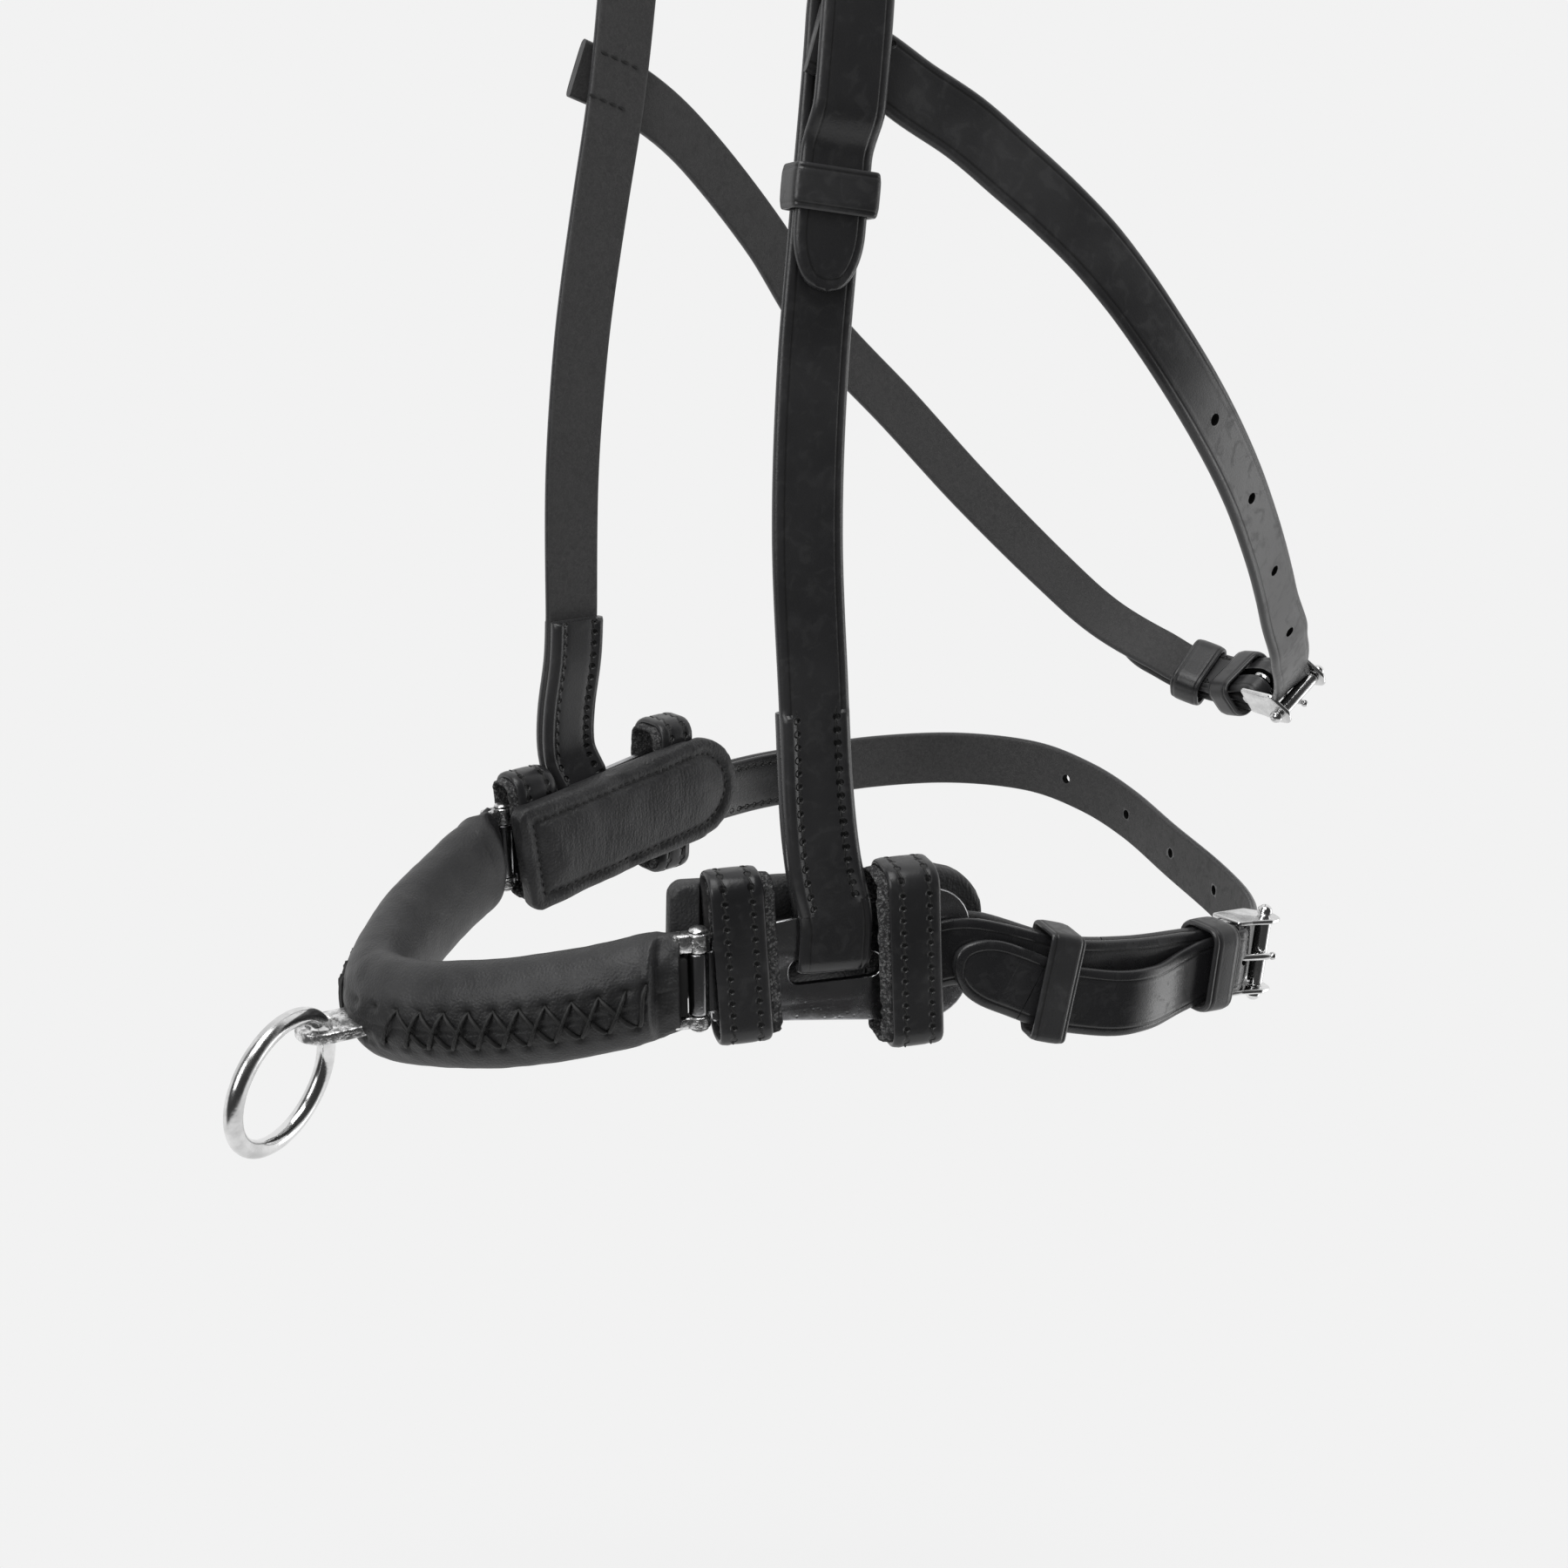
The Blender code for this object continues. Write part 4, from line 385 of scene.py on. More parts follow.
def cover_point(s, turn, lift=0.0):
    """A point on the cover: turn 0 is its outer side and a quarter turn its top."""
    place, along, across, outward = nose.at(s)
    outward = Vector((outward.x, outward.y, 0)).normalized()
    from_end = min(s, nose.length - s)
    reach = NOSE_THICKNESS / 2
    if math.cos(turn) < 0:
        full = smooth(from_end / END_TAPER * 1.5 - 0.5)
        reach = END_DEPTH + (reach - END_DEPTH) * full
    else:
        reach = MOUTH_REACH + (reach - MOUTH_REACH) * smooth((from_end - MOUTH + 0.0016) / 0.0022)
    tall = NOSE_TALL / 2 * (0.93 + 0.07 * smooth(from_end / MOUTH))
    return (place + outward * (reach + lift) * math.cos(turn)
            + Vector((0, 0, (tall + lift) * math.sin(turn))))


upper_holes = [(LACE_MARGIN + lace_pitch * (k + 0.2), LACE_ANGLE + lace_turn)
               for k in range(LACE_CROSSES)]
lower_holes = [(s + lace_pitch * LACE_SLANT, LACE_ANGLE - lace_turn) for s, turn in upper_holes]


def cover_depth(s, turn):
    """How far the cover's leather stands off its plain form: seam, lace dents and soft folds."""
    seam_gap = abs(turn - LACE_ANGLE) * NOSE_TALL / 2
    depth = -0.00055 * bell(seam_gap, 0.0008)
    if seam_gap < 3 * LACE_HALF_SPREAD:
        for hole_s, hole_turn in upper_holes + lower_holes:
            if abs(hole_s - s) < 0.006:
                apart = math.hypot(hole_s - s, (hole_turn - turn) * NOSE_TALL / 2)
                depth -= 0.0010 * bell(apart, 0.0014)
        pull = (s - LACE_MARGIN) / lace_pitch * math.tau
        depth += 0.00022 * math.cos(pull) * bell(seam_gap - LACE_HALF_SPREAD, 0.0035)
    place = cover_point(s, turn)
    depth += 0.00045 * noise.noise(place * 55) + 0.00016 * noise.noise(place * 190)
    ends = 1 - smooth((min(s, nose.length - s) - 0.004) / 0.006)
    depth += ends * 0.0006 * noise.noise(Vector((math.cos(turn), math.sin(turn), s * 90)) * 3.2)
    tab = bell(abs(s - nose.length / 2) - 0.0065, 0.005) * bell(turn + 0.45, 0.45)
    return depth + tab * 0.0011 * noise.noise(place * 260)


def cover_painted_shade(s, turn):
    """Painted shade on the cover's leather: black in the lace holes, and darker along the laced band, for
    the shade under the lace.
    """
    seam_gap = abs(turn - LACE_ANGLE) * NOSE_TALL / 2
    shade = 0.45 * (1 - smooth((seam_gap - LACE_HALF_SPREAD) / 0.004))
    for hole_s, hole_turn in upper_holes + lower_holes:
        if abs(hole_s - s) < 0.003 and seam_gap < 2 * LACE_HALF_SPREAD:
            apart = math.hypot(hole_s - s, (hole_turn - turn) * NOSE_TALL / 2)
            shade = max(shade, 1.3 * bell(apart, 0.0011))
    return shade


cover_bm = bmesh.new()
bmesh.ops.create_grid(cover_bm, x_segments=COVER_RINGS, y_segments=COVER_ROUND, size=0.5)
painted_shade_layer = cover_bm.verts.layers.float.new("shade")
for vert in cover_bm.verts:
    s = nose.length * (vert.co.x + 0.5)
    turn = (vert.co.y + 0.5) * math.tau - math.pi
    vert.co = cover_point(s, turn, cover_depth(s, turn))
    # painted shade: black in the lace holes and darker along the lacing, kept in the shade attribute
    vert[painted_shade_layer] = cover_painted_shade(s, turn)
bmesh.ops.remove_doubles(cover_bm, verts=cover_bm.verts, dist=WELD)
for ring in range(3):
    rim = [e for e in cover_bm.edges if e.is_boundary]
    tucked = bmesh.ops.extrude_edge_only(cover_bm, edges=rim)["geom"]
    for vert in [v for v in tucked if isinstance(v, bmesh.types.BMVert)]:
        s = 0 if vert.co.x > 0 else nose.length
        place, along, across, outward = nose.at(s)
        inward = along if s == 0 else -along
        vert.co = vert.co.lerp(place, (0.16, 0.30, 0.40)[ring]) + inward * (-0.0003, 0.0010, 0.0022)[ring]
bmesh.ops.holes_fill(cover_bm, edges=[e for e in cover_bm.edges if e.is_boundary])
bmesh.ops.recalc_face_normals(cover_bm, faces=cover_bm.faces)


def soft_leather(name, dark, light, rough, grain, wrinkle, streak=0.0):
    """Soft pebbled leather: small round grains, fine wrinkles and slow changes of tone, and
    upright stretch marks where streak is more than nothing. The mesh gives painted shade."""
    made, shader, out, start = new_material(name)
    where = start.node("TexCoord", output="Object")
    shade = start.maths("MINIMUM", start.node("Attribute", {"attribute_name": "shade"},
                                              output="Fac"), 1.0)
    drawn = start.node("Mapping", inputs={"Vector": where, "Scale": (1.0, 1.0, 0.16)})
    marks = start.node("TexNoise", inputs={"Vector": drawn, "Scale": 900.0, "Detail": 4.0})
    pebbles = start.node("TexVoronoi", {"feature": "SMOOTH_F1"},
                         {"Vector": where, "Scale": 1250.0, "Smoothness": 0.6}, "Distance")
    pores = start.node("TexNoise", inputs={"Vector": where, "Scale": 2300.0, "Detail": 3.0})
    creases = start.node("TexNoise", {"noise_type": "RIDGED_MULTIFRACTAL"}, {
        "Vector": where, "Scale": 210.0, "Detail": 4.0, "Distortion": 0.8})
    patches = start.node("TexNoise", inputs={"Vector": where, "Scale": 38.0, "Detail": 4.0})
    rubbed = start.node("TexNoise", inputs={"Vector": where, "Scale": 120.0, "Detail": 6.0})
    height = (pebbles * -grain + pores * grain * 0.5 + marks * streak
              + creases.between(0.2, 1.4) * wrinkle)
    tone = patches.between(0.34, 0.68) * 0.6 + rubbed.between(0.42, 0.62) * 0.4
    worn = rubbed.between(0.60, 0.74) * (1 - pebbles).between(0.45, 0.85)
    colour = tone.mix(dark, light)
    colour = (worn * 0.55).mix(colour, tuple(1.9 * c for c in light[:3]) + (1,))
    # painted shade: the shade attribute darkens the colour to near black in lace holes, along the lacing
    # and in sunk seams
    colour = shade.mix(colour, (0.003, 0.003, 0.003, 1))
    start.tree.links.new(colour.output, shader.inputs["Base Color"])
    roughness = rough + 0.10 * patches - 0.07 * worn
    start.tree.links.new(roughness.output, shader.inputs["Roughness"])
    bump = start.node("Bump", inputs={"Height": height, "Distance": 1.0, "Strength": 1.0})
    start.tree.links.new(bump.output, shader.inputs["Normal"])
    shader.inputs["Specular IOR Level"].default_value = 0.42
    return made


cover_leather = soft_leather("cover_leather", (0.018, 0.018, 0.019, 1), (0.034, 0.034, 0.035, 1),
                             0.44, 0.00012, 0.00010)
cover = piece("padded_nose_cover", cover_bm, cover_leather, "headstall", 60)
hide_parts("nose_cover", "nose_padding")


# Lacing: one waxed lace that closes the cover in slanting crosses, from hole to hole.
def tube(bm, points, radius, around=6):
    """Adds a round cord through points to a bmesh, narrowed at both ends, which are left open."""
    count = len(points) - 1
    made = bmesh.ops.create_grid(bm, x_segments=count, y_segments=around, size=0.5)["verts"]
    for vert in made:
        i = round((vert.co.x + 0.5) * count)
        turn = (vert.co.y + 0.5) * math.tau
        along = (points[min(i + 1, count)] - points[max(i - 1, 0)]).normalized()
        side = along.cross(Vector((0.13, 0.21, 0.97))).normalized()
        width = radius * (0.5 if i in (0, count) else 1)
        vert.co = points[i] + (side * math.cos(turn) + along.cross(side) * math.sin(turn)) * width
    bmesh.ops.remove_doubles(bm, verts=made, dist=WELD)


def closed(bm):
    """Fills what is open and turns all faces outwards."""
    bmesh.ops.holes_fill(bm, edges=[e for e in bm.edges if e.is_boundary])
    bm.normal_update()
    bmesh.ops.recalc_face_normals(bm, faces=bm.faces)
    return bm


def lace_run(bm, a, b, over):
    """One visible stretch of the lace, down into a hole at each end."""
    points = []
    for i in range(9):
        t = i / 8
        lift = LACE_RADIUS * 1.2 + over * math.sin(math.pi * t) - 0.0016 * (abs(2 * t - 1) ** 6)
        points.append(cover_point(a[0] + (b[0] - a[0]) * t, a[1] + (b[1] - a[1]) * t, lift))
    tube(bm, points, LACE_RADIUS)


lace_bm = bmesh.new()
for k, upper in enumerate(upper_holes):
    near_tab = abs(upper[0] + lace_pitch * LACE_SLANT / 2 - nose.length / 2)
    if near_tab > 0.0075:
        lace_run(lace_bm, lower_holes[k], upper, 0.0007)
        if k > 1:
            lace_run(lace_bm, upper, lower_holes[k - 2], 0.0)
closed(lace_bm)


def thread_finish(name, shade, twist):
    """Waxed twisted thread: dull, with a fine twist to it."""
    made, shader, out, start = new_material(name)
    where = start.node("TexCoord", output="Object")
    strands = start.node("TexWave", {"bands_direction": "DIAGONAL"}, {
        "Vector": where, "Scale": twist, "Distortion": 2.0, "Detail": 1.0})
    fluff = start.node("TexNoise", inputs={"Vector": where, "Scale": 1500.0, "Detail": 3.0})
    colour = (strands * 0.5 + fluff * 0.5).mix(shade, tuple(2.6 * c for c in shade[:3]) + (1,))
    start.tree.links.new(colour.output, shader.inputs["Base Color"])
    roughness = 0.5 + 0.3 * fluff
    start.tree.links.new(roughness.output, shader.inputs["Roughness"])
    bump = start.node("Bump", inputs={"Height": strands * 0.00006 + fluff * 0.00003,
                                      "Distance": 1.0, "Strength": 1.0})
    start.tree.links.new(bump.output, shader.inputs["Normal"])
    return made


lace_cord = thread_finish("waxed_lace", (0.006, 0.006, 0.006, 1), 260.0)
lacing = piece("nosepiece_lacing", lace_bm, lace_cord, "headstall", 80)
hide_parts("nose_lacing")


# Nose iron: only its forked eyes and the eye plate for the ring show. Cast and nickel plated,
# with the dull pits of rough casting.
EYE_TOP = 0.0168
EYE_BOTTOM = -0.0108
BARREL_TOP = 0.011
BARREL_BOTTOM = -0.007
PIN_RADIUS = 0.0015
EYE_WALL = 0.0014
TAB_RADIUS = 0.0078
TAB_THICKNESS = 0.0034
TAB_HEIGHT = -0.0180
TAB_HOLE_FORWARD = -0.1212
TAB_HOLE_RADIUS = 0.0046


def metal(name, dull, bright, smooth_rough, rough_rough, pits, patch=70.0):
    """Nickel-plated steel: bright with duller clouds, hair scratches and shallow pits."""
    made, shader, out, start = new_material(name)
    where = start.node("TexCoord", output="Object")
    clouds = start.node("TexNoise", inputs={"Vector": where, "Scale": patch, "Detail": 5.0,
                                            "Roughness": 0.62})
    specks = start.node("TexVoronoi", inputs={"Vector": where, "Scale": 620.0}, output="Distance")
    streaked = start.node("Mapping", inputs={"Vector": where, "Scale": (1.0, 1.0, 0.06),
                                             "Rotation": (0.4, 0.9, 0.3)})
    hairs = start.node("TexNoise", inputs={"Vector": streaked, "Scale": 2600.0, "Detail": 2.0})
    dullness = clouds.between(0.40, 0.66)
    start.tree.links.new(dullness.mix(bright, dull).output, shader.inputs["Base Color"])
    roughness = smooth_rough + dullness * (rough_rough - smooth_rough) + hairs * 0.05
    start.tree.links.new(roughness.output, shader.inputs["Roughness"])
    height = specks.between(0.35, 0.0) * -pits * 0.4 + clouds * pits * 2 + hairs * 0.000004
    bump = start.node("Bump", inputs={"Height": height, "Distance": 1.0, "Strength": 1.0})
    start.tree.links.new(bump.output, shader.inputs["Normal"])
    shader.inputs["Metallic"].default_value = 1.0
    return made


cast_nickel = metal("cast_nickel", (0.22, 0.22, 0.22, 1), (0.86, 0.86, 0.86, 1), 0.18, 0.46,
                    0.00020, 420.0)
polished_nickel = metal("polished_nickel", (0.62, 0.62, 0.62, 1), (0.82, 0.82, 0.82, 1), 0.10,
                        0.24, 0.00003)
plate_steel = metal("plate_steel", (0.30, 0.30, 0.31, 1), (0.50, 0.50, 0.51, 1), 0.14, 0.30,
                    0.00005, 55.0)


def rounded(corners, radii, steps):
    """An outline with its corners turned to arcs."""
    made = []
    count = len(corners)
    for i, corner in enumerate(corners):
        here = Vector(corner)
        to_last = (Vector(corners[i - 1]) - here).normalized()
        to_next = (Vector(corners[(i + 1) % count]) - here).normalized()
        half_angle = to_last.angle(to_next) / 2
        back = radii[i] / math.tan(half_angle)
        middle = here + (to_last + to_next).normalized() * (radii[i] / math.sin(half_angle))
        first = here + to_last * back - middle
        sweep = first.angle_signed(here + to_next * back - middle)
        for k in range(steps + 1):
            made.append(tuple(middle + Matrix.Rotation(-sweep * k / steps, 2) @ first))
    return made


def slot_outline(a, b, radius, steps=10):
    """Outline of a slot or tongue with round ends, between two points."""
    reach = Vector((b[0] - a[0], b[1] - a[1]))
    base = math.atan2(reach.y, reach.x) if reach.length > WELD else 0
    made = []
    for middle, first in ((b, -90), (a, 90)):
        for k in range(steps + 1):
            turn = base + math.radians(first + 180 * k / steps)
            made.append((middle[0] + radius * math.cos(turn), middle[1] + radius * math.sin(turn)))
    return made


def plate_bmesh(outlines, thickness, edge):
    """A flat plate in X and Y from an outline and the outlines of its holes, with rounded edges."""
    curve = bpy.data.curves.new("outline", "CURVE")
    curve.dimensions = "2D"
    curve.fill_mode = "BOTH"
    curve.extrude = thickness / 2 - edge
    curve.bevel_depth = edge
    curve.bevel_resolution = 3
    curve.offset = -edge
    for outline in outlines:
        spline = curve.splines.new("POLY")
        spline.points.add(len(outline) - 1)
        for point, (x, y) in zip(spline.points, outline):
            point.co = (x, y, 0, 1)
        spline.use_cyclic_u = True
    flat = bpy.data.objects.new("outline", curve)
    scene.collection.objects.link(flat)
    bpy.context.view_layer.update()
    mesh = bpy.data.meshes.new_from_object(flat.evaluated_get(
        bpy.context.evaluated_depsgraph_get()))
    bpy.data.objects.remove(flat)
    bm = bmesh.new()
    bm.from_mesh(mesh)
    bmesh.ops.remove_doubles(bm, verts=bm.verts, dist=WELD)
    return bm


def merge(target, bm):
    """Adds one bmesh to another."""
    mesh = bpy.data.meshes.new("merged")
    bm.to_mesh(mesh)
    bm.free()
    target.from_mesh(mesh)
    bpy.data.meshes.remove(mesh)


def turned(profile, segments=32):
    """A closed body from an outline of (radius, height) spun round Z; its ends lie on the axis."""
    bm = bmesh.new()
    verts = [bm.verts.new((r, 0, z)) for r, z in profile]
    edges = [bm.edges.new(pair) for pair in zip(verts, verts[1:])]
    bmesh.ops.spin(bm, geom=verts + edges, axis=(0, 0, 1), angle=math.tau, steps=segments,
                   use_merge=True)
    bmesh.ops.remove_doubles(bm, verts=bm.verts, dist=WELD)
    bmesh.ops.recalc_face_normals(bm, faces=bm.faces)
    return bm


def rounded_bar(radius, low, high, lip, segments=28):
    """A round bar along Z with rounded rims."""
    profile = [(0, high)]
    for k in range(5):
        a = math.radians(90 - 22.5 * k)
        profile.append((radius - lip + lip * math.cos(a), high - lip + lip * math.sin(a)))
    for k in range(5):
        a = math.radians(-22.5 * k)
        profile.append((radius - lip + lip * math.cos(a), low + lip + lip * math.sin(a)))
    profile.append((0, low))
    return turned(profile, segments)


nose_front = NOSE_END_BACK - NOSE_REACH
iron_bm = plate_bmesh([
    slot_outline((0, TAB_HOLE_FORWARD), (0, nose_front + TAB_RADIUS), TAB_RADIUS, 16),
    slot_outline((0, TAB_HOLE_FORWARD), (0, TAB_HOLE_FORWARD), TAB_HOLE_RADIUS, 14)],
    TAB_THICKNESS, 0.0008)
iron_bm.transform(Matrix.Translation((0, 0, TAB_HEIGHT)))
for side in (1, -1):
    pin = plate_point(side, PIN_ALONG)
    for low, high in ((BARREL_TOP + GAP, EYE_TOP), (EYE_BOTTOM, BARREL_BOTTOM - GAP)):
        ear = rounded_bar(PIN_RADIUS + EYE_WALL + GAP, low, high, 0.0006)
        along, outward, up = plate_axes(side)
        neck = bmesh.new()
        bmesh.ops.create_cube(neck, size=1)
        neck.transform(Matrix.Diagonal((0.0070, 0.0044, high - low, 1)))
        neck.transform(Matrix.Translation((-0.0038, 0, (low + high) / 2)))
        bmesh.ops.bevel(neck, geom=neck.edges[:], offset=0.0009, offset_type="OFFSET", segments=3,
                        profile=0.5, affect="EDGES", material=-1)
        neck.transform(Matrix((along, outward, up)).transposed().to_4x4())
        if side < 0:
            bmesh.ops.reverse_faces(neck, faces=neck.faces)
        merge(ear, neck)
        ear.transform(Matrix.Translation(pin))
        merge(iron_bm, ear)
iron = piece("nose_iron_eyes_and_ring_plate", iron_bm, cast_nickel, "headstall", 35)
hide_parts("nose_iron")


# Stuffing: the felt round the iron shows between the forked eyes at each end of the cover. It is coloured
# near black, partly its own dark felt and partly painted shade inside the cover's drawn-in mouth.
FELT_END = -0.0037
stuffing_bm = bmesh.new()
for side in (1, -1):
    plug = bmesh.new()
    bmesh.ops.create_cube(plug, size=1)
    low, high = BARREL_BOTTOM + 2 * GAP, BARREL_TOP - 2 * GAP
    plug.transform(Matrix.Diagonal((0.0040, 0.0068, high - low, 1)))
    plug.transform(Matrix.Translation((FELT_END - 0.0020, 0, (low + high) / 2)))
    bmesh.ops.bevel(plug, geom=plug.edges[:], offset=0.0008, offset_type="OFFSET", segments=2,
                    profile=0.5, affect="EDGES", material=-1)
    plug.transform(Matrix(plate_axes(side)).transposed().to_4x4())
    if side < 0:
        bmesh.ops.reverse_faces(plug, faces=plug.faces)
    plug.transform(Matrix.Translation(plate_point(side, PIN_ALONG)))
    merge(stuffing_bm, plug)
stuffing_felt_and_shade, paint, felt_out, start = new_material("stuffing_felt_and_shade")
# near black: painted shade inside the cover's drawn-in mouth, over dark felt
paint.inputs["Base Color"].default_value = (0.006, 0.006, 0.006, 1)
paint.inputs["Roughness"].default_value = 0.95
piece("nosepiece_stuffing_ends", stuffing_bm, stuffing_felt_and_shade, "headstall", 35)


# Front ring: a welded ring of round nickel-plated wire, loose in the eye plate, where it has come
# to rest turned to the near side.
RING_MIDDLE_RADIUS = 0.0194
RING_WIRE_RADIUS = 0.0026
turn, droop, roll = (math.radians(a) for a in (27.0, 29.0, -13.5))
ring_to_middle = Vector((math.cos(droop) * math.sin(turn), -math.cos(droop) * math.cos(turn),
                         -math.sin(droop)))
ring_up = Vector((math.sin(droop) * math.sin(turn), -math.sin(droop) * math.cos(turn),
                  math.cos(droop)))
ring_wire = ring_up * math.cos(roll) + ring_to_middle.cross(ring_up) * math.sin(roll)
ring_bm = bmesh.new()
wire = bmesh.ops.create_circle(ring_bm, segments=28, radius=RING_WIRE_RADIUS)["verts"]
bmesh.ops.rotate(ring_bm, verts=wire, cent=(0, 0, 0), matrix=Matrix.Rotation(math.pi / 2, 3, "X"))
bmesh.ops.translate(ring_bm, verts=wire, vec=(RING_MIDDLE_RADIUS, 0, 0))
bmesh.ops.spin(ring_bm, geom=ring_bm.verts[:] + ring_bm.edges[:], axis=(0, 0, 1),
               angle=math.tau, steps=120, use_merge=True)
bmesh.ops.remove_doubles(ring_bm, verts=ring_bm.verts, dist=WELD)
bmesh.ops.recalc_face_normals(ring_bm, faces=ring_bm.faces)
ring_bm.transform(Matrix.Translation((RING_MIDDLE_RADIUS, 0, 0)))
ring = piece("front_ring_wire", ring_bm, polished_nickel, "front_ring", 60,
             (ring_to_middle, ring_wire, ring_to_middle.cross(ring_wire)),
             Vector((0, TAB_HOLE_FORWARD, TAB_HEIGHT)))
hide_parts("front_ring")


# Side plates: stamped steel with a rolled barrel in front, a level slot for the cheek strap and
# an upright one for the chin strap, on a riveted hinge pin.
PLATE_THICKNESS = 0.0025
PLATE_LENGTH = 0.082
PLATE_FRONT = 0.0080
PLATE_FRONT_TOP = 0.0155
PLATE_FRONT_BOTTOM = -0.0097
PLATE_REAR_EDGES = {1: (0.0235, -0.0183), -1: (0.0268, -0.0130)}     # top and bottom
CHEEK_SLOT = (0.0295, 0.0560, -0.0018, 0.0056)
FAR_SLOT_SHIFT = -0.0052     # the far plate's level slot starts this much further forward
FAR_FOLD_SHIFT = -0.0070
CHIN_SLOT_MIDDLE = 0.0685
CHIN_SLOT_WIDTH = 0.0050
CHIN_WIDTH = 0.0200
PIN_HEAD_RADIUS = 0.0026
PIN_HEAD_TALL = 0.0012
plate_middle = (PLATE_FRONT_TOP + PLATE_FRONT_BOTTOM) / 2


def side_plate(side):
    """A side plate in its own axes: x along it, y outward, z up, from the hinge pin."""
    top, bottom = PLATE_REAR_EDGES[side]
    corners = [(PIN_ALONG, BARREL_BOTTOM), (PLATE_FRONT, BARREL_BOTTOM),
               (PLATE_FRONT, PLATE_FRONT_BOTTOM), (PLATE_LENGTH, bottom),
               (PLATE_LENGTH, top), (PLATE_FRONT, PLATE_FRONT_TOP),
               (PLATE_FRONT, BARREL_TOP), (PIN_ALONG, BARREL_TOP)]
    corners = [(u - PIN_ALONG, z) for u, z in corners]
    outline = rounded(corners, [GAP, GAP, 0.0010, 0.0120, 0.0120, 0.0030, GAP, GAP], 9)
    start, end, low, high = CHEEK_SLOT
    start += FAR_SLOT_SHIFT if side < 0 else 0
    radius = 0.0032
    cheek = rounded([(start - PIN_ALONG, low), (end - PIN_ALONG, low), (end - PIN_ALONG, high),
                     (start - PIN_ALONG, high)], [radius] * 4, 8)
    half = CHIN_WIDTH / 2 + 0.0012
    along = CHIN_SLOT_MIDDLE - PIN_ALONG
    chin_slot = slot_outline((along, plate_middle - half), (along, plate_middle + half),
                             CHIN_SLOT_WIDTH / 2)
    bm = plate_bmesh([outline, cheek, chin_slot], PLATE_THICKNESS, 0.00055)
    bm.transform(Matrix.Rotation(math.pi / 2, 4, "X"))
    merge(bm, rounded_bar(PIN_RADIUS + EYE_WALL, BARREL_BOTTOM, BARREL_TOP, 0.0005))
    return bm


for prefix, side in (("near", 1), ("far", -1)):
    pin = plate_point(side, PIN_ALONG)
    plate = piece(prefix + "_plate", side_plate(side), plate_steel, prefix + "_plate", 35,
                  plate_axes(side), pin)
    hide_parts(prefix + "_side_plate")
    top, low = EYE_TOP + GAP, EYE_BOTTOM - GAP
    dome = [(PIN_HEAD_RADIUS * math.cos(math.radians(a)), PIN_HEAD_TALL * math.sin(math.radians(a)))
            for a in (90, 70, 50, 30, 12, 0)]
    shaft = ([(r, top + z) for r, z in dome] + [(PIN_RADIUS, top), (PIN_RADIUS, low)]
             + [(r, low - z) for r, z in dome[::-1]])
    hinge_pin = piece(prefix + "_pin", turned(shaft, 24), cast_nickel, "headstall", 35,
                      origin=pin)
    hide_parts(prefix + "_hinge_pin")


# Pads: a tongue of soft leather sewn over felt behind each plate, with a rolled border outside
# the stitches and a crowned middle. Each one is inflated as cloth, then its seam is drawn in.
CHEEK_THICKNESS = 0.0030
PAD_THICKNESS = 0.0105
PAD_SEAM = 0.0066            # stitches this far in from the pad's edge
LOOP_THICKNESS = 0.0034
LOOP_WIDTH = 0.0160
pad_face = -(PLATE_THICKNESS / 2 + CHEEK_THICKNESS + 3 * GAP)
near_loops = (0.0162, 0.0636)
far_loops = (0.0162, 0.0705)


# Each pad's start along its plate, height, tilt in degrees, length and own height
near_pad_place = (-0.0030, 0.0108, -2.0, 0.0938, 0.0362)
far_pad_place = (0.0030, 0.0003, 8.0, 0.0915, 0.0388)


def pad_outline(place, inset, steps=10):
    length, half = place[3], place[4] / 2
    corners = [(inset, -half + inset), (length - inset, -half + inset),
               (length - inset, half - inset), (inset, half - inset)]
    front = max(0.0048 - inset, GAP)
    rear = half - inset - GAP
    return rounded(corners, [front, rear, rear, front], steps)


def edge_distance(outline, x, z):
    """Distance of a point from an outline, for points inside it."""
    best = 1.0
    for a, b in zip(outline, outline[1:] + outline[:1]):
        ax, az, bx, bz = *a, *b
        reach = (bx - ax) ** 2 + (bz - az) ** 2
        t = min(max(((x - ax) * (bx - ax) + (z - az) * (bz - az)) / max(reach, WELD ** 2), 0), 1)
        best = min(best, math.hypot(x - ax - (bx - ax) * t, z - az - (bz - az) * t))
    return best


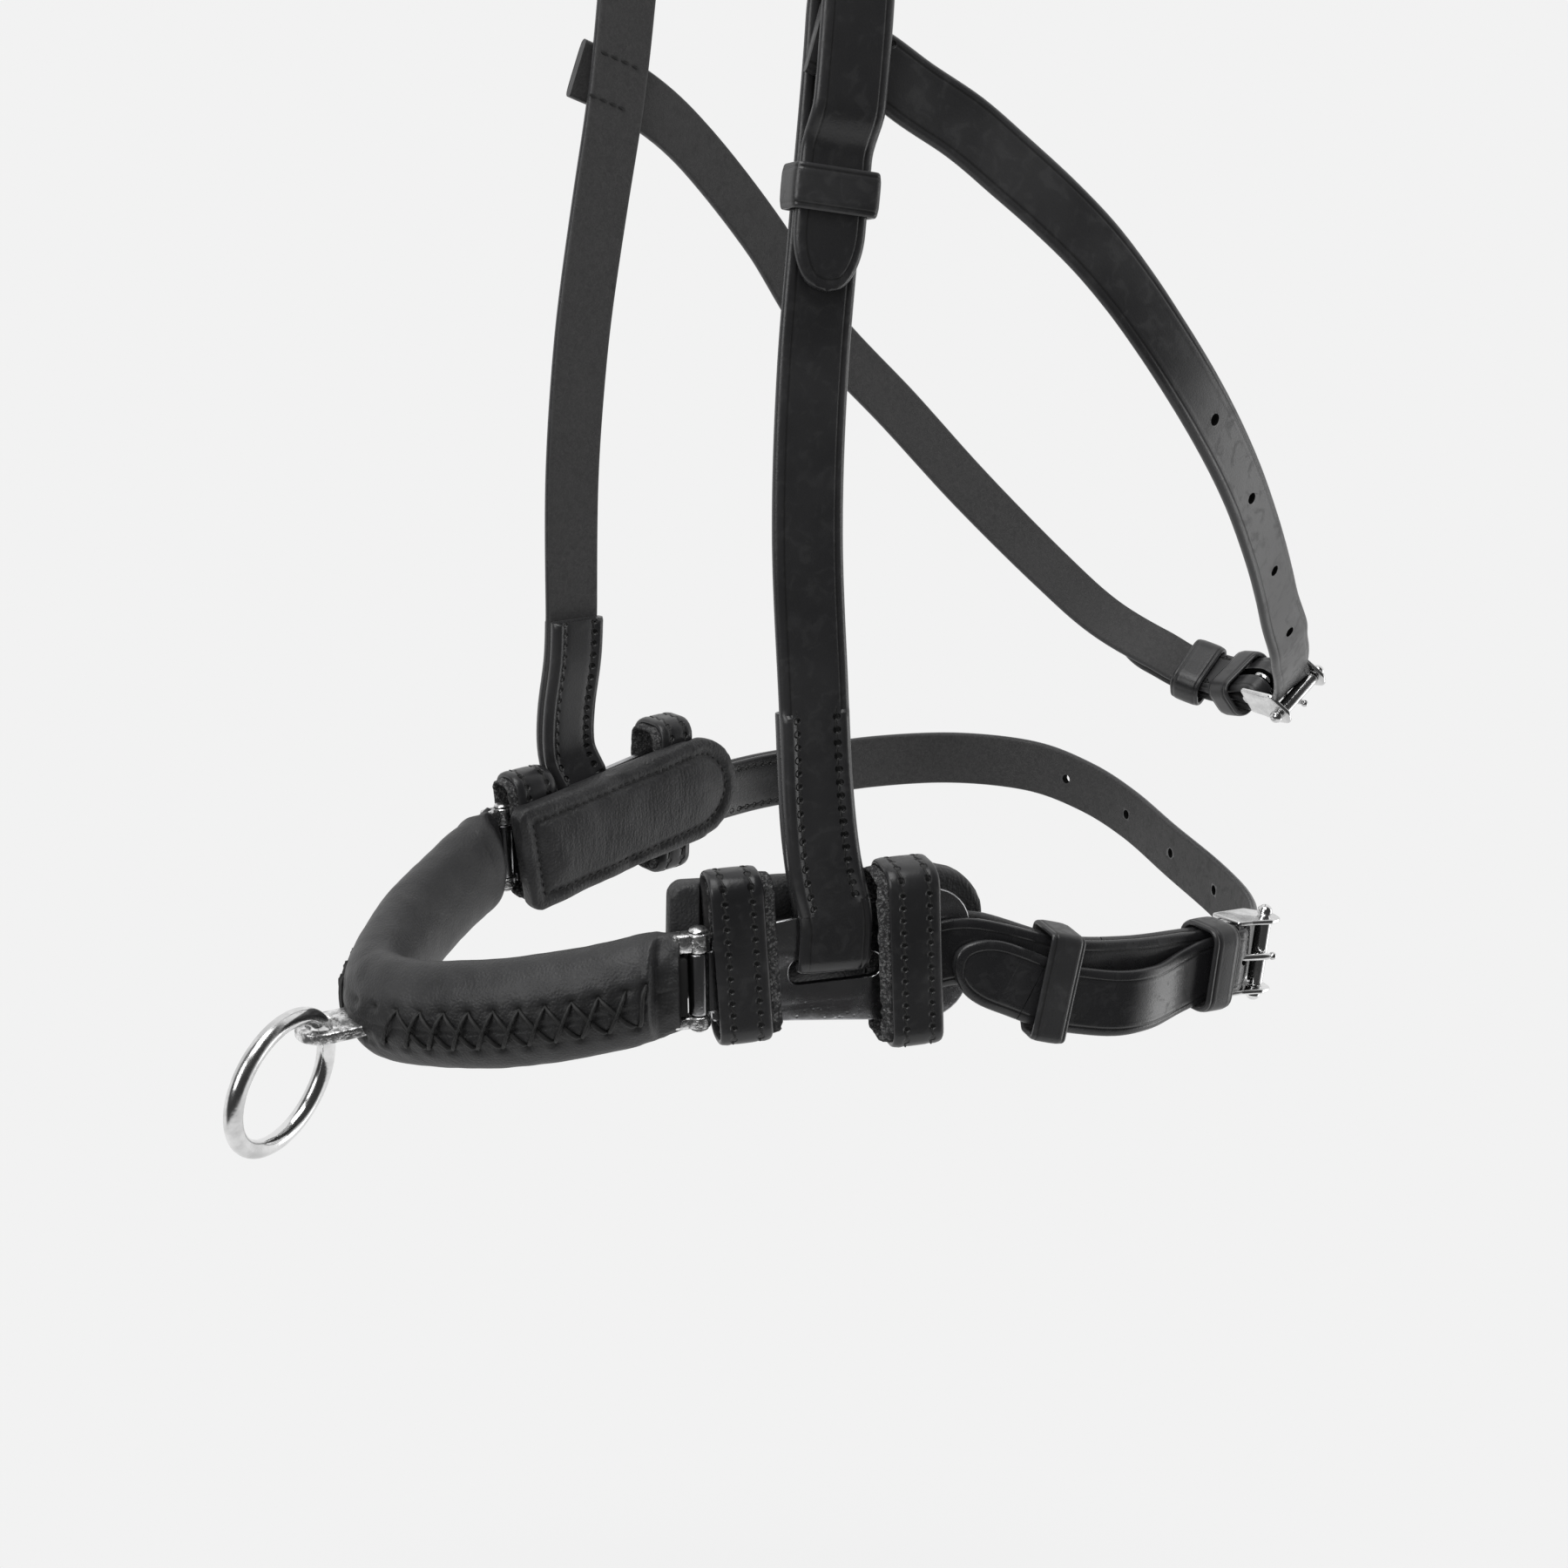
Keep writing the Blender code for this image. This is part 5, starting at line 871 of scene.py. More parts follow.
def inflated(bm, voxel, pressure, cap):
    """The shape puffed up as cloth under pressure, no point moving further than the cap."""
    mesh = bpy.data.meshes.new("puff")
    bm.to_mesh(mesh)
    bm.free()
    obj = bpy.data.objects.new("puff", mesh)
    scene.collection.objects.link(obj)
    remesh = obj.modifiers.new("remesh", "REMESH")
    remesh.mode = "VOXEL"
    remesh.voxel_size = voxel
    bpy.context.view_layer.update()
    even = bpy.data.meshes.new_from_object(obj.evaluated_get(
        bpy.context.evaluated_depsgraph_get()))
    obj.modifiers.clear()
    obj.data = even
    cloth = obj.modifiers.new("cloth", "CLOTH")
    cloth.settings.use_pressure = True
    cloth.settings.uniform_pressure_force = pressure
    cloth.settings.effector_weights.gravity = 0
    for step in range(1, 21):
        scene.frame_set(step)
    bpy.context.view_layer.update()
    puffed = obj.evaluated_get(bpy.context.evaluated_depsgraph_get()).data
    for vert, moved in zip(even.vertices, [v.co.copy() for v in puffed.vertices]):
        step = moved - vert.co
        vert.co = vert.co + step * min(1, cap / max(step.length, WELD))
    obj.modifiers.clear()
    scene.frame_set(1)
    refine = obj.modifiers.new("refine", "SUBSURF")
    refine.levels = refine.render_levels = 1
    bpy.context.view_layer.update()
    fine = bpy.data.meshes.new_from_object(obj.evaluated_get(
        bpy.context.evaluated_depsgraph_get()))
    bpy.data.objects.remove(obj)
    puffed_bm = bmesh.new()
    puffed_bm.from_mesh(fine)
    return puffed_bm


def pad_shape(place, loops):
    """A pad in its plate's axes, its back against the plate, with channels for the keepers."""
    start, height, tilt, length, tall = place
    outline = pad_outline(place, 0)
    inner = pad_outline(place, 0.0012)
    bm = bmesh.new()
    rim = [bm.verts.new((x, -0.0016, z)) for x, z in inner]
    face = bm.faces.new(rim)
    grown = bmesh.ops.extrude_face_region(bm, geom=[face])["geom"]
    bmesh.ops.translate(bm, vec=(0, -(PAD_THICKNESS - 0.0034), 0),
                        verts=[g for g in grown if isinstance(g, bmesh.types.BMVert)])
    bmesh.ops.recalc_face_normals(bm, faces=bm.faces)
    bm = inflated(bm, 0.0015, 5.0, 0.0016)
    painted_shade_layer = bm.verts.layers.float.new("shade")
    for vert in bm.verts:
        x, y, z = vert.co
        gap = edge_distance(outline, x, z)
        inside = 0 < x < length and abs(z) < tall / 2
        front = smooth((-y / PAD_THICKNESS - 0.45) / 0.3)
        if inside:
            crown = smooth((gap - PAD_SEAM) / 0.010)
            vert.co.y += front * (0.0012 * bell(gap - PAD_SEAM, 0.0014) - 0.0009 * crown)
            vert.co.y += front * 0.0005 * noise.noise(Vector((x * 110, 0, z * 60)))
            pucker = math.cos((x + z) / 0.0030 * math.tau)
            vert.co.y += front * 0.00016 * pucker * bell(gap - PAD_SEAM, 0.0030)
            # painted shade: darker along the sunk seam, kept in the shade attribute
            vert[painted_shade_layer] = front * 0.35 * bell(gap - PAD_SEAM, 0.0012)
            vert.co.y = min(vert.co.y, -0.00005)
    bm.transform(Matrix.Rotation(math.radians(-tilt), 4, "Y"))
    bm.transform(Matrix.Translation((start - PIN_ALONG, pad_face, height)))
    for vert in bm.verts:
        for along in loops:
            from_loop = abs(vert.co.x - (along - PIN_ALONG)) - LOOP_WIDTH / 2
            depth = LOOP_THICKNESS + 0.0007
            floor_y = pad_face - depth * (1 - smooth((from_loop - 0.0004) / 0.0016))
            vert.co.y = min(vert.co.y, floor_y)
    return bm


pad_leather = soft_leather("pad_leather", (0.018, 0.018, 0.019, 1), (0.036, 0.036, 0.037, 1),
                           0.42, 0.00016, 0.00013, 0.00030)
thread_black = thread_finish("sewing_thread", (0.006, 0.006, 0.006, 1), 420.0)


def stitch(bm, place, along, out, length, radius):
    """Adds one stitch: a plump short length of thread lying on the leather."""
    side = along.cross(out).normalized()
    turn = Matrix((along, side, out)).transposed().to_4x4()
    shape = Matrix.Translation(place) @ turn @ Matrix.Diagonal(
        (length / 2, radius, radius * 0.8, 1))
    bmesh.ops.create_uvsphere(bm, u_segments=6, v_segments=5, radius=1,
                              matrix=shape @ Matrix.Rotation(math.pi / 2, 4, "Y"))


def pad_stitches(place, shape):
    """Stitches round a pad's face, in the plate's axes, each laid on the shape."""
    start, height, tilt, length, tall = place
    turn = (Matrix.Translation((start - PIN_ALONG, pad_face, height))
            @ Matrix.Rotation(math.radians(-tilt), 4, "Y"))
    surface = BVHTree.FromBMesh(shape)
    bm = bmesh.new()
    outline = [Vector((x, -0.04, z)) for x, z in pad_outline(place, PAD_SEAM, 14)]
    total = sum((b - a).length for a, b in zip(outline, outline[1:] + outline[:1]))
    pitch = total / round(total / 0.0030)
    walked, due = 0.0, 0.0
    for a, b in zip(outline, outline[1:] + outline[:1]):
        reach = (b - a).length
        while due < walked + reach:
            above = turn @ a.lerp(b, (due - walked) / max(reach, WELD))
            spot = surface.ray_cast(above, Vector((0, 1, 0)))[0]
            if spot:
                along = (turn.to_3x3() @ (b - a)).normalized()
                stitch(bm, spot, along, Vector((0, -1, 0)), 0.0021, 0.00046)
            due += pitch
        walked += reach
    return bm


for prefix, side, loops, place in (("near", 1, near_loops, near_pad_place),
                                   ("far", -1, far_loops, far_pad_place)):
    axes, pin, body = plate_axes(side), plate_point(side, PIN_ALONG), prefix + "_plate"
    shape = pad_shape(place, loops)
    threads = pad_stitches(place, shape)
    pad = piece(prefix + "_plate_pad", shape, pad_leather, body, 60, axes, pin)
    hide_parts(prefix + "_pad")
    piece(prefix + "_pad_stitches", threads, thread_black, body, 80, axes, pin)


# Strap leather: bridle leather with a satin grain side, a crease pressed along each edge,
# burnished edges, and a matt flesh side. Straps and keepers are strips swept through stations.
CREASE = 0.0027              # crease this far in from the strap's edges
STITCH_PITCH = 0.0036
EDGE_POINTS = 5
CROWN = 0.00016              # the middle of a strap stands this much higher than its margins
MARGIN_FALL = 0.00026        # and each margin slopes this much more from its crease to its edge


def strap_leather(name, dark, light, rough, crease_at=CREASE, row=CREASE):
    """Bridle leather. It reads from the mesh how far the edge is, which side it is on, the
    length along the strap, and where it is sewn."""
    made, shader, out, start = new_material(name)
    where = start.node("TexCoord", output="Object")
    edge, side, run, sewn = (start.node("Attribute", {"attribute_name": key}, output="Fac")
                             for key in ("edge", "side", "run", "sewn"))
    grain = start.node("TexVoronoi", {"feature": "SMOOTH_F1"},
                       {"Vector": where, "Scale": 1700.0, "Smoothness": 0.8}, "Distance")
    fine = start.node("TexNoise", inputs={"Vector": where, "Scale": 2600.0, "Detail": 3.0})
    tone = start.node("TexNoise", inputs={"Vector": where, "Scale": 30.0, "Detail": 4.0})
    scuffs = start.node("TexNoise", inputs={"Vector": where, "Scale": 240.0, "Detail": 5.0,
                                            "Distortion": 1.0})
    fibres = start.node("TexNoise", inputs={"Vector": where, "Scale": 800.0, "Detail": 6.0,
                                            "Roughness": 0.7, "Distortion": 1.4})
    face = side.between(0.15, 0.85)
    flesh = side.between(-0.55, -0.95)
    rim = (1 - face) * (1 - flesh)
    crease_and_shade = edge.peak(crease_at, 0.00060) * face * (1 - sewn)
    ridge = edge.peak(crease_at + 0.0011, 0.0009) * face * (1 - sewn)
    step = start.maths("FRACT", run / STITCH_PITCH + 0.5) - 0.5
    from_hole = start.maths("SQRT", (edge - row) * (edge - row)
                            + (step * STITCH_PITCH) * (step * STITCH_PITCH))
    stitch_holes_and_shade = from_hole.between(0.00115, 0.00065) * sewn * face
    height = (grain * -0.00002 + fine * 0.000012 - crease_and_shade * 0.00012 + ridge * 0.00003
              - stitch_holes_and_shade * 0.0005 + flesh * fibres * 0.00022 + rim * fibres * 0.00003)
    shade = tone.between(0.32, 0.70) * 0.75 + scuffs.between(0.5, 0.7) * 0.25
    colour = shade.mix(dark, light)
    colour = (flesh * (0.35 + 0.65 * fibres.between(0.35, 0.7))).mix(
        colour, (0.052, 0.051, 0.051, 1))
    colour = (rim * 0.45).mix(colour, (0.050, 0.050, 0.052, 1))
    # painted shade: the pressed crease groove is darkened in colour, as shade in it
    colour = (crease_and_shade * 0.6).mix(colour, (0.006, 0.006, 0.006, 1))
    # painted shade: the stitch holes are coloured near black, as shade in them
    colour = (stitch_holes_and_shade * 0.96).mix(colour, (0.002, 0.002, 0.002, 1))
    start.tree.links.new(colour.output, shader.inputs["Base Color"])
    roughness = rough + 0.12 * tone + 0.10 * scuffs.between(0.5, 0.66) + 0.34 * flesh - 0.06 * rim
    start.tree.links.new(roughness.output, shader.inputs["Roughness"])
    bump = start.node("Bump", inputs={"Height": height, "Distance": 1.0, "Strength": 1.0})
    start.tree.links.new(bump.output, shader.inputs["Normal"])
    return made


def face_marks(full, lip, row):
    """Distances from the edge of a strip at which its faces have points: close by the crease and
    the row of stitches, and wider apart in the middle."""
    wanted = [lip, CREASE - 0.0006, CREASE, CREASE + 0.0006, row - 0.0009, row - 0.0003,
              row + 0.0004, row + 0.0012]
    marks = sorted({round(m, 4) for m in wanted if lip <= m < full - 0.0008})
    rest = full - marks[-1]
    return marks + [marks[-1] + rest * k / 3 for k in (1, 2, 3)]


def section(half, full, thickness, row, sewn, welt):
    """Points round a strip of leather: across it, out of it, distance from its edge, and side.
    Where it is sewn, the row of stitches is sunk and the margin outside it stands up as a welt."""
    lip = min(thickness * 0.42, half * 0.8)
    marks = [m * half / full for m in face_marks(full, thickness * 0.42, row)]
    spans = [half - max(m, lip) for m in marks]
    flat = spans[0]
    made = []
    for face, way in ((1, 1), (-1, -1)):
        for v in [-way * v for v in spans] + [way * v for v in spans[-2::-1]]:
            edge = half - abs(v)
            out = thickness / 2
            if face > 0:
                out += CROWN * (1 - (v / half) ** 2)
                out -= MARGIN_FALL * (1 - smooth(edge / CREASE))
                ridge = max(0, 1 - ((edge - row / 2) / (row / 2)) ** 2)
                out += sewn * (welt * ridge - 0.00015 * bell(edge - row, 0.0008))
            made.append((v, face * out, edge, face))
        for k in range(1, EDGE_POINTS):
            a = math.radians(face * 90 - 180 * way * k / EDGE_POINTS)
            v, out = way * (flat + lip * math.cos(a)), thickness / 2 * math.sin(a)
            if out > 0:
                out += sewn * welt * 0.6 * math.sin(a) - MARGIN_FALL * math.sin(a)
            made.append((v, out, half - abs(v), math.sin(a)))
    return made


def sweep(stations, thickness, row=CREASE, welt=0.0, loop=False):
    """A strip of leather. Each station is its middle, the directions across and out, half its
    width, the length along, how far it is sewn, and its tip's outline where it has one."""
    count = len(stations) - (0 if loop else 1)
    full = max(station[3] for station in stations)
    rings = [section(half, full, thickness, row, sewn, welt)
             for place, across, out, half, run, sewn, tip in stations]
    around = len(rings[0])
    bm = bmesh.new()
    bmesh.ops.create_grid(bm, x_segments=count, y_segments=around, size=0.5)
    layers = [bm.verts.layers.float.new(key) for key in ("edge", "side", "run", "sewn")]
    for vert in bm.verts:
        i = round((vert.co.x + 0.5) * count) % len(stations)
        place, across, out, half, run, sewn, tip = stations[i]
        v, n, edge, side = rings[i][round((vert.co.y + 0.5) * around) % around]
        if tip:
            edge = min(edge, edge_distance(tip[1], tip[0], v))
        vert.co = place + across * v + out * n
        for layer, value in zip(layers, (edge, side, run, sewn)):
            vert[layer] = value
    bmesh.ops.remove_doubles(bm, verts=bm.verts, dist=WELD)
    return closed(bm)


# Padded keepers: two on each side go round the plate. Each is a stitched leather loop with two
# rows of stitches, lined with thick felt that shows past its edge.
LOOP_CORNER = 0.0042
KEEPER_LEATHER = 0.0018
KEEPER_ROW = 0.0036
LINING_MARGIN = 0.0009
CHIN_THICKNESS = 0.0026


def filled(outline, step):
    """The outline with points added along its straight stretches."""
    made = []
    for a, b in zip(outline, outline[1:] + outline[:1]):
        count = max(1, round(math.dist(a, b) / step))
        made += [(a[0] + (b[0] - a[0]) * k / count, a[1] + (b[1] - a[1]) * k / count)
                 for k in range(count)]
    return made


def loop_stations(outline, half, to_place, across, sewn=0.0):
    """Stations round a closed outline, whose points to_place puts in space."""
    places = [to_place(*point) for point in outline]
    middle = sum(places, Vector()) / len(places)
    made, run = [], 0.0
    for i, place in enumerate(places):
        ahead = places[(i + 1) % len(places)] - places[i - 1]
        out = across.cross(ahead).normalized()
        if out.dot(place - middle) < 0:
            out = -out
        made.append((place, across, out, half, run, sewn, None))
        run += (places[(i + 1) % len(places)] - place).length
    return made


def sewn_rows(bm, stations, half, row, thickness, lean=0.25):
    """Adds two rows of slanting stitches along stations, a stitch between each pair of holes."""
    length = stations[-1][4]
    for k in range(int(length / STITCH_PITCH)):
        due = (k + 0.5) * STITCH_PITCH
        i = next(i for i, s in enumerate(stations) if s[4] >= due)
        a, b = stations[i - 1], stations[i]
        share = (due - a[4]) / max(b[4] - a[4], WELD)
        if b[5] < 0.5:
            continue
        across = a[1].lerp(b[1], share)
        out = a[2].lerp(b[2], share).normalized()
        along = (b[0] - a[0]).normalized()
        for side in (1, -1):
            place = (a[0].lerp(b[0], share) + across * side * (half - row)
                     + out * (thickness / 2 - 0.00004))
            stitch(bm, place, (along + across * lean).normalized(), out, 0.0031, 0.00042)


def felt_finish(name):
    """Grey-black felt: matted fibres that catch the light as pale specks."""
    made, shader, out, start = new_material(name)
    where = start.node("TexCoord", output="Object")
    tufts = start.node("TexNoise", inputs={"Vector": where, "Scale": 900.0, "Detail": 8.0,
                                           "Roughness": 0.8, "Distortion": 2.0})
    clumps = start.node("TexVoronoi", inputs={"Vector": where, "Scale": 1100.0},
                        output="Distance")
    pale = tufts.between(0.44, 0.62) * (1 - clumps).between(0.2, 0.7)
    colour = pale.mix((0.028, 0.028, 0.029, 1), (0.34, 0.34, 0.34, 1))
    start.tree.links.new(colour.output, shader.inputs["Base Color"])
    shader.inputs["Roughness"].default_value = 0.95
    bump = start.node("Bump", inputs={"Height": tufts * 0.0009 - clumps * 0.0002,
                                      "Distance": 1.0, "Strength": 1.0})
    start.tree.links.new(bump.output, shader.inputs["Normal"])
    return made


felt = felt_finish("keeper_felt")


def plate_edges(side, along):
    """Top and bottom edges of a plate at a distance along it."""
    share = (along - PLATE_FRONT) / (PLATE_LENGTH - PLATE_FRONT)
    top, bottom = PLATE_REAR_EDGES[side]
    return (PLATE_FRONT_TOP + (top - PLATE_FRONT_TOP) * share,
            PLATE_FRONT_BOTTOM + (bottom - PLATE_FRONT_BOTTOM) * share)


def padded_keeper(name, node, body, side, along, pad, face, lining_shift, lean, over, width):
    """A felt-lined keeper round a plate: pad is that pad's place, face the height of what lies
    under the keeper, lean how much further back its foot stands, over its room above the pad."""
    axes, pin = plate_axes(side), plate_point(side, PIN_ALONG)
    pad_start, pad_height, pad_tilt, pad_length, pad_tall = pad
    slope = math.tan(math.radians(pad_tilt))
    edge_top, edge_bottom = plate_edges(side, along)
    pad_top = (pad_height + pad_tall / 2 + slope * (along - pad_start)
               + abs(slope) * LOOP_WIDTH / 2)
    top, bottom = max(edge_top, pad_top) + over, edge_bottom - 0.0034
    middle = (top + bottom) / 2

    def at(depth, shift):
        low, high = pad_face - GAP - depth, face + depth
        outline = rounded([(bottom - depth, low), (top + depth, low), (top + depth, high),
                           (bottom - depth, high)], [LOOP_CORNER - 0.0017 + depth] * 4, 6)

        def to_place(z, y):
            x = along - PIN_ALONG + shift - lean * (z - middle)
            return Vector((x, y, z))
        return filled(outline, 0.0016), to_place

    across = Vector((1, 0, 0))
    outline, to_place = at(LOOP_THICKNESS - KEEPER_LEATHER / 2, -lining_shift * 0.35)
    half = width / 2
    stations = loop_stations(outline, half, to_place, across, 1.0)
    bm = sweep(stations, KEEPER_LEATHER, KEEPER_ROW, 0.00012, True)
    keeper = piece(name, bm, keeper_leather, body, 40, axes, pin)
    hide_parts(node)
    threads = bmesh.new()
    sewn_rows(threads, stations, half, KEEPER_ROW, KEEPER_LEATHER)
    piece(name + "_stitches", threads, thread_black, body, 80, axes, pin)
    outline, to_place = at((LOOP_THICKNESS - KEEPER_LEATHER) / 2, lining_shift)
    lining = sweep(loop_stations(outline, half + LINING_MARGIN, to_place, across),
                   LOOP_THICKNESS - KEEPER_LEATHER, loop=True)
    for vert in lining.verts:
        shake = noise.noise_vector(vert.co * 900)
        vert.co += Vector((shake.x * 0.0007, shake.y * 0.0002, shake.z * 0.0002))
    piece(name + "_felt", lining, felt, body, 60, axes, pin)


keeper_leather = strap_leather("keeper_leather", (0.012, 0.012, 0.013, 1),
                               (0.024, 0.024, 0.025, 1), 0.26, KEEPER_ROW, KEEPER_ROW)
flush = PLATE_THICKNESS / 2 + GAP
over_chin = PLATE_THICKNESS / 2 + CHIN_THICKNESS + 4 * GAP
padded_keeper("near_front_plate_keeper", "near_front_keeper", "near_plate", 1, near_loops[0],
              near_pad_place, flush, 0.0017, 0.06, 0.0006, 0.0148)
padded_keeper("near_rear_plate_keeper", "near_rear_keeper", "near_plate", 1, near_loops[1],
              near_pad_place, over_chin, -0.0014, 0.05, 0.0006, 0.0148)
padded_keeper("far_front_plate_keeper", "far_front_keeper", "far_plate", -1, far_loops[0] - 0.0017,
              far_pad_place, flush, -0.0012, 0.12, 0.0024, 0.0148)
padded_keeper("far_rear_plate_keeper", "far_rear_keeper", "far_plate", -1, far_loops[1] - 0.0015,
              far_pad_place, over_chin, -0.0010, -0.05, 0.0010, 0.0130)


# Cheek straps and crown: the near strap folds round the near plate's bar and holds the buckle.
# The crown strap runs from the buckle over the poll and folds round the far plate's bar. Both
# folds are sewn down with two rows of stitches, which raise a welt along each edge.
CHEEK_WIDTH = 0.0194
STRAP_STEP = 0.0085
FINE_STEP = 0.0022
TIP_LENGTH = 0.0150
TIP_BLUNT_SHARE = 0.16
NEAR_FOLD_ALONG = 0.0430
FAR_FOLD_ALONG = 0.0415
FOLD_SEAM = 0.0240
FOLD_STITCHED = 0.0700
FOLD_ROW = 0.0042
WELT = 0.00095
SEAM_END = 0.0007
CHEEK_CHAPE = 0.0450
JOWL_JOIN_UP = 0.2310
JOWL_WIDTH = 0.0172
JOWL_THICKNESS = 0.0026
BAR_RADIUS = 0.0017
ROLLER_REACH = 0.0140
ROLLER_RISE = 0.0036
ROLLER_RADIUS = 0.0024
TONGUE_RADIUS = 0.0011
HOLE_RADIUS = 0.0017
fold_radius = PLATE_THICKNESS / 2 + GAP + CHEEK_THICKNESS / 2 + GAP
fold_height = CHEEK_SLOT[3] + GAP
crown_height = POLL_HEIGHT + CHEEK_THICKNESS / 2

# Shares of the spread, of the way back and of the height, from the plate to the poll
cheek_route_shares = [
    (1.000, 0.00, 0.000), (1.000, 0.01, 0.030), (0.996, -0.10, 0.065), (0.974, -0.145, 0.100),
    (0.944, -0.155, 0.140), (0.928, -0.17, 0.190), (0.882, -0.16, 0.291), (0.843, -0.05, 0.392),
    (0.813, 0.13, 0.494), (0.774, 0.33, 0.595), (0.735, 0.47, 0.696), (0.690, 0.61, 0.800),
    (0.560, 0.77, 0.900), (0.330, 0.92, 0.975),
]


def cheek_points(side, fold_along):
    low = plate_point(side, fold_along, fold_radius, fold_height)
    return [Vector((low.x * x, low.y + (POLL_BACK - low.y) * y, low.z + (crown_height - low.z) * z))
            for x, y, z in cheek_route_shares]


def head_across(point):
    toe = math.radians(NEAR_TOE if point.x > 0 else FAR_TOE) * (1 - point.z / crown_height)
    return Vector((math.copysign(math.sin(toe), point.x), math.cos(toe), 0))


head_points = (cheek_points(1, NEAR_FOLD_ALONG) + [Vector((0, POLL_BACK, crown_height))]
               + cheek_points(-1, FAR_FOLD_ALONG)[::-1])
head = Route(head_points, strap_faces(head_points, [head_across(p) for p in head_points]))


def run(start, end, height, end_height=None, step=FINE_STEP):
    """Points (length, height above the route) of a stretch of strap, easing to its end height."""
    end_height = height if end_height is None else end_height
    count = max(1, math.ceil(abs(end - start) / step))
    return [(start + (end - start) * i / count, height + (end_height - height) * smooth(i / count))
            for i in range(count + 1)]


def arc(middle, radius, start, end, steps=12):
    turns = [math.radians(start + (end - start) * i / steps) for i in range(steps + 1)]
    return [(middle[0] + radius * math.cos(a), middle[1] + radius * math.sin(a)) for a in turns]


def joined(*stretches):
    """One line of points from several stretches, without points that repeat."""
    line = [stretches[0][0]]
    for stretch in stretches:
        for point in stretch:
            if math.dist(point, line[-1]) > GAP:
                line.append(point)
    return line


def eased(stops, s):
    """Value at s, easing between stops of (length, value)."""
    for (s0, v0), (s1, v1) in zip(stops, stops[1:]):
        if s <= s1:
            return v0 + (v1 - v0) * smooth((s - s0) / (s1 - s0))
    return stops[-1][1]


def with_seam_ends(line, seams):
    """The line with points added just inside and outside each end of its seams."""
    marks = [m for low, high in seams for m in (low, low + SEAM_END, high - SEAM_END, high)]
    made = [line[0]]
    for (s0, n0), (s1, n1) in zip(line, line[1:]):
        inside = [m for m in marks if min(s0, s1) + GAP < m < max(s0, s1) - GAP]
        for m in sorted(inside, reverse=s1 < s0):
            made.append((m, n0 + (n1 - n0) * (m - s0) / (s1 - s0)))
        made.append((s1, n1))
    return made


def strap_stations(route, line, width, grain=1, tip=0.0, sag=((0, 0), (1, 0)), seams=()):
    """Stations of a strap along a route. width is a number or stops of (length, width), grain is
    -1 where the grain side starts towards the horse, sag moves it sideways, seams are sewn."""
    line = with_seam_ends(line, seams)
    frames = [route.at(s) for s, height in line]
    places = [place + outward * height + across * eased(sag, s)
              for (place, along, across, outward), (s, height) in zip(frames, line)]
    walked = [0.0]
    for a, b in zip(places, places[1:]):
        walked.append(walked[-1] + (b - a).length)

    def half_at(i):
        half = (width if isinstance(width, float) else eased(width, line[i][0])) / 2
        if walked[i] < tip:
            rise = math.sqrt(1 - (1 - walked[i] / tip) ** 2)
            half *= TIP_BLUNT_SHARE + (1 - TIP_BLUNT_SHARE) * rise
        return half

    halves = [half_at(i) for i in range(len(line))]
    near_tip = [i for i in range(len(line)) if walked[i] < tip + 0.008]
    arch = ([(walked[i], halves[i]) for i in near_tip]
            + [(walked[i], -halves[i]) for i in near_tip[::-1]])
    made = []
    last = len(line) - 1
    for i, (s, height) in enumerate(line):
        ahead = (places[min(i + 1, last)] - places[max(i - 1, 0)]).normalized()
        across = frames[i][2]
        across = (across - ahead * across.dot(ahead)).normalized()
        out = across.cross(ahead)
        if i == 0:
            sign = grain if out.dot(frames[0][3]) > 0 else -grain
        sewn = max([smooth((s - low) / SEAM_END) * smooth((high - s) / SEAM_END)
                    for low, high in seams] + [0])
        outline = (walked[i], arch) if tip and walked[i] < tip + 0.004 else None
        made.append((places[i], across, out * sign, halves[i], s, sewn, outline))
    return made


def reach_over_bar(thickness):
    return BAR_RADIUS + GAP + thickness / 2


def chape_line(start, inner_end, bar, thickness, doubled=False):
    """A strap that folds round a buckle's hinge bar: its outer layer, the fold and its inner layer.
    The inner layer stops at inner_end. A doubled strap is two layers from its start on."""
    reach = reach_over_bar(thickness)
    rest = (thickness + GAP) / 2
    swell = reach * 4
    lead = inner_end - swell
    outer = run(start, lead, 0) + run(lead, inner_end, 0, rest)
    if doubled:
        outer = run(start, bar - swell, rest)
    return joined(outer, run(bar - swell, bar, rest, reach), arc((bar, 0), reach, 90, -90),
                  run(bar, bar - swell, -reach, -rest), run(bar - swell, inner_end + GAP, -rest))


def billet_window(bar, thickness):
    """Where a billet crosses a buckle's window: over the fold, down and under the roller."""
    over = BAR_RADIUS + GAP + thickness + GAP + thickness / 2
    under = ROLLER_RADIUS + GAP + thickness / 2
    distance = math.hypot(ROLLER_REACH, ROLLER_RISE)
    lean = math.degrees(math.atan2(ROLLER_RISE, ROLLER_REACH))
    leave = lean + math.degrees(math.acos((over + under) / distance))
    return (arc((bar, 0), over, 90, leave, 6),
            arc((bar + ROLLER_REACH, ROLLER_RISE), under, leave + 180, 270, 6), over)


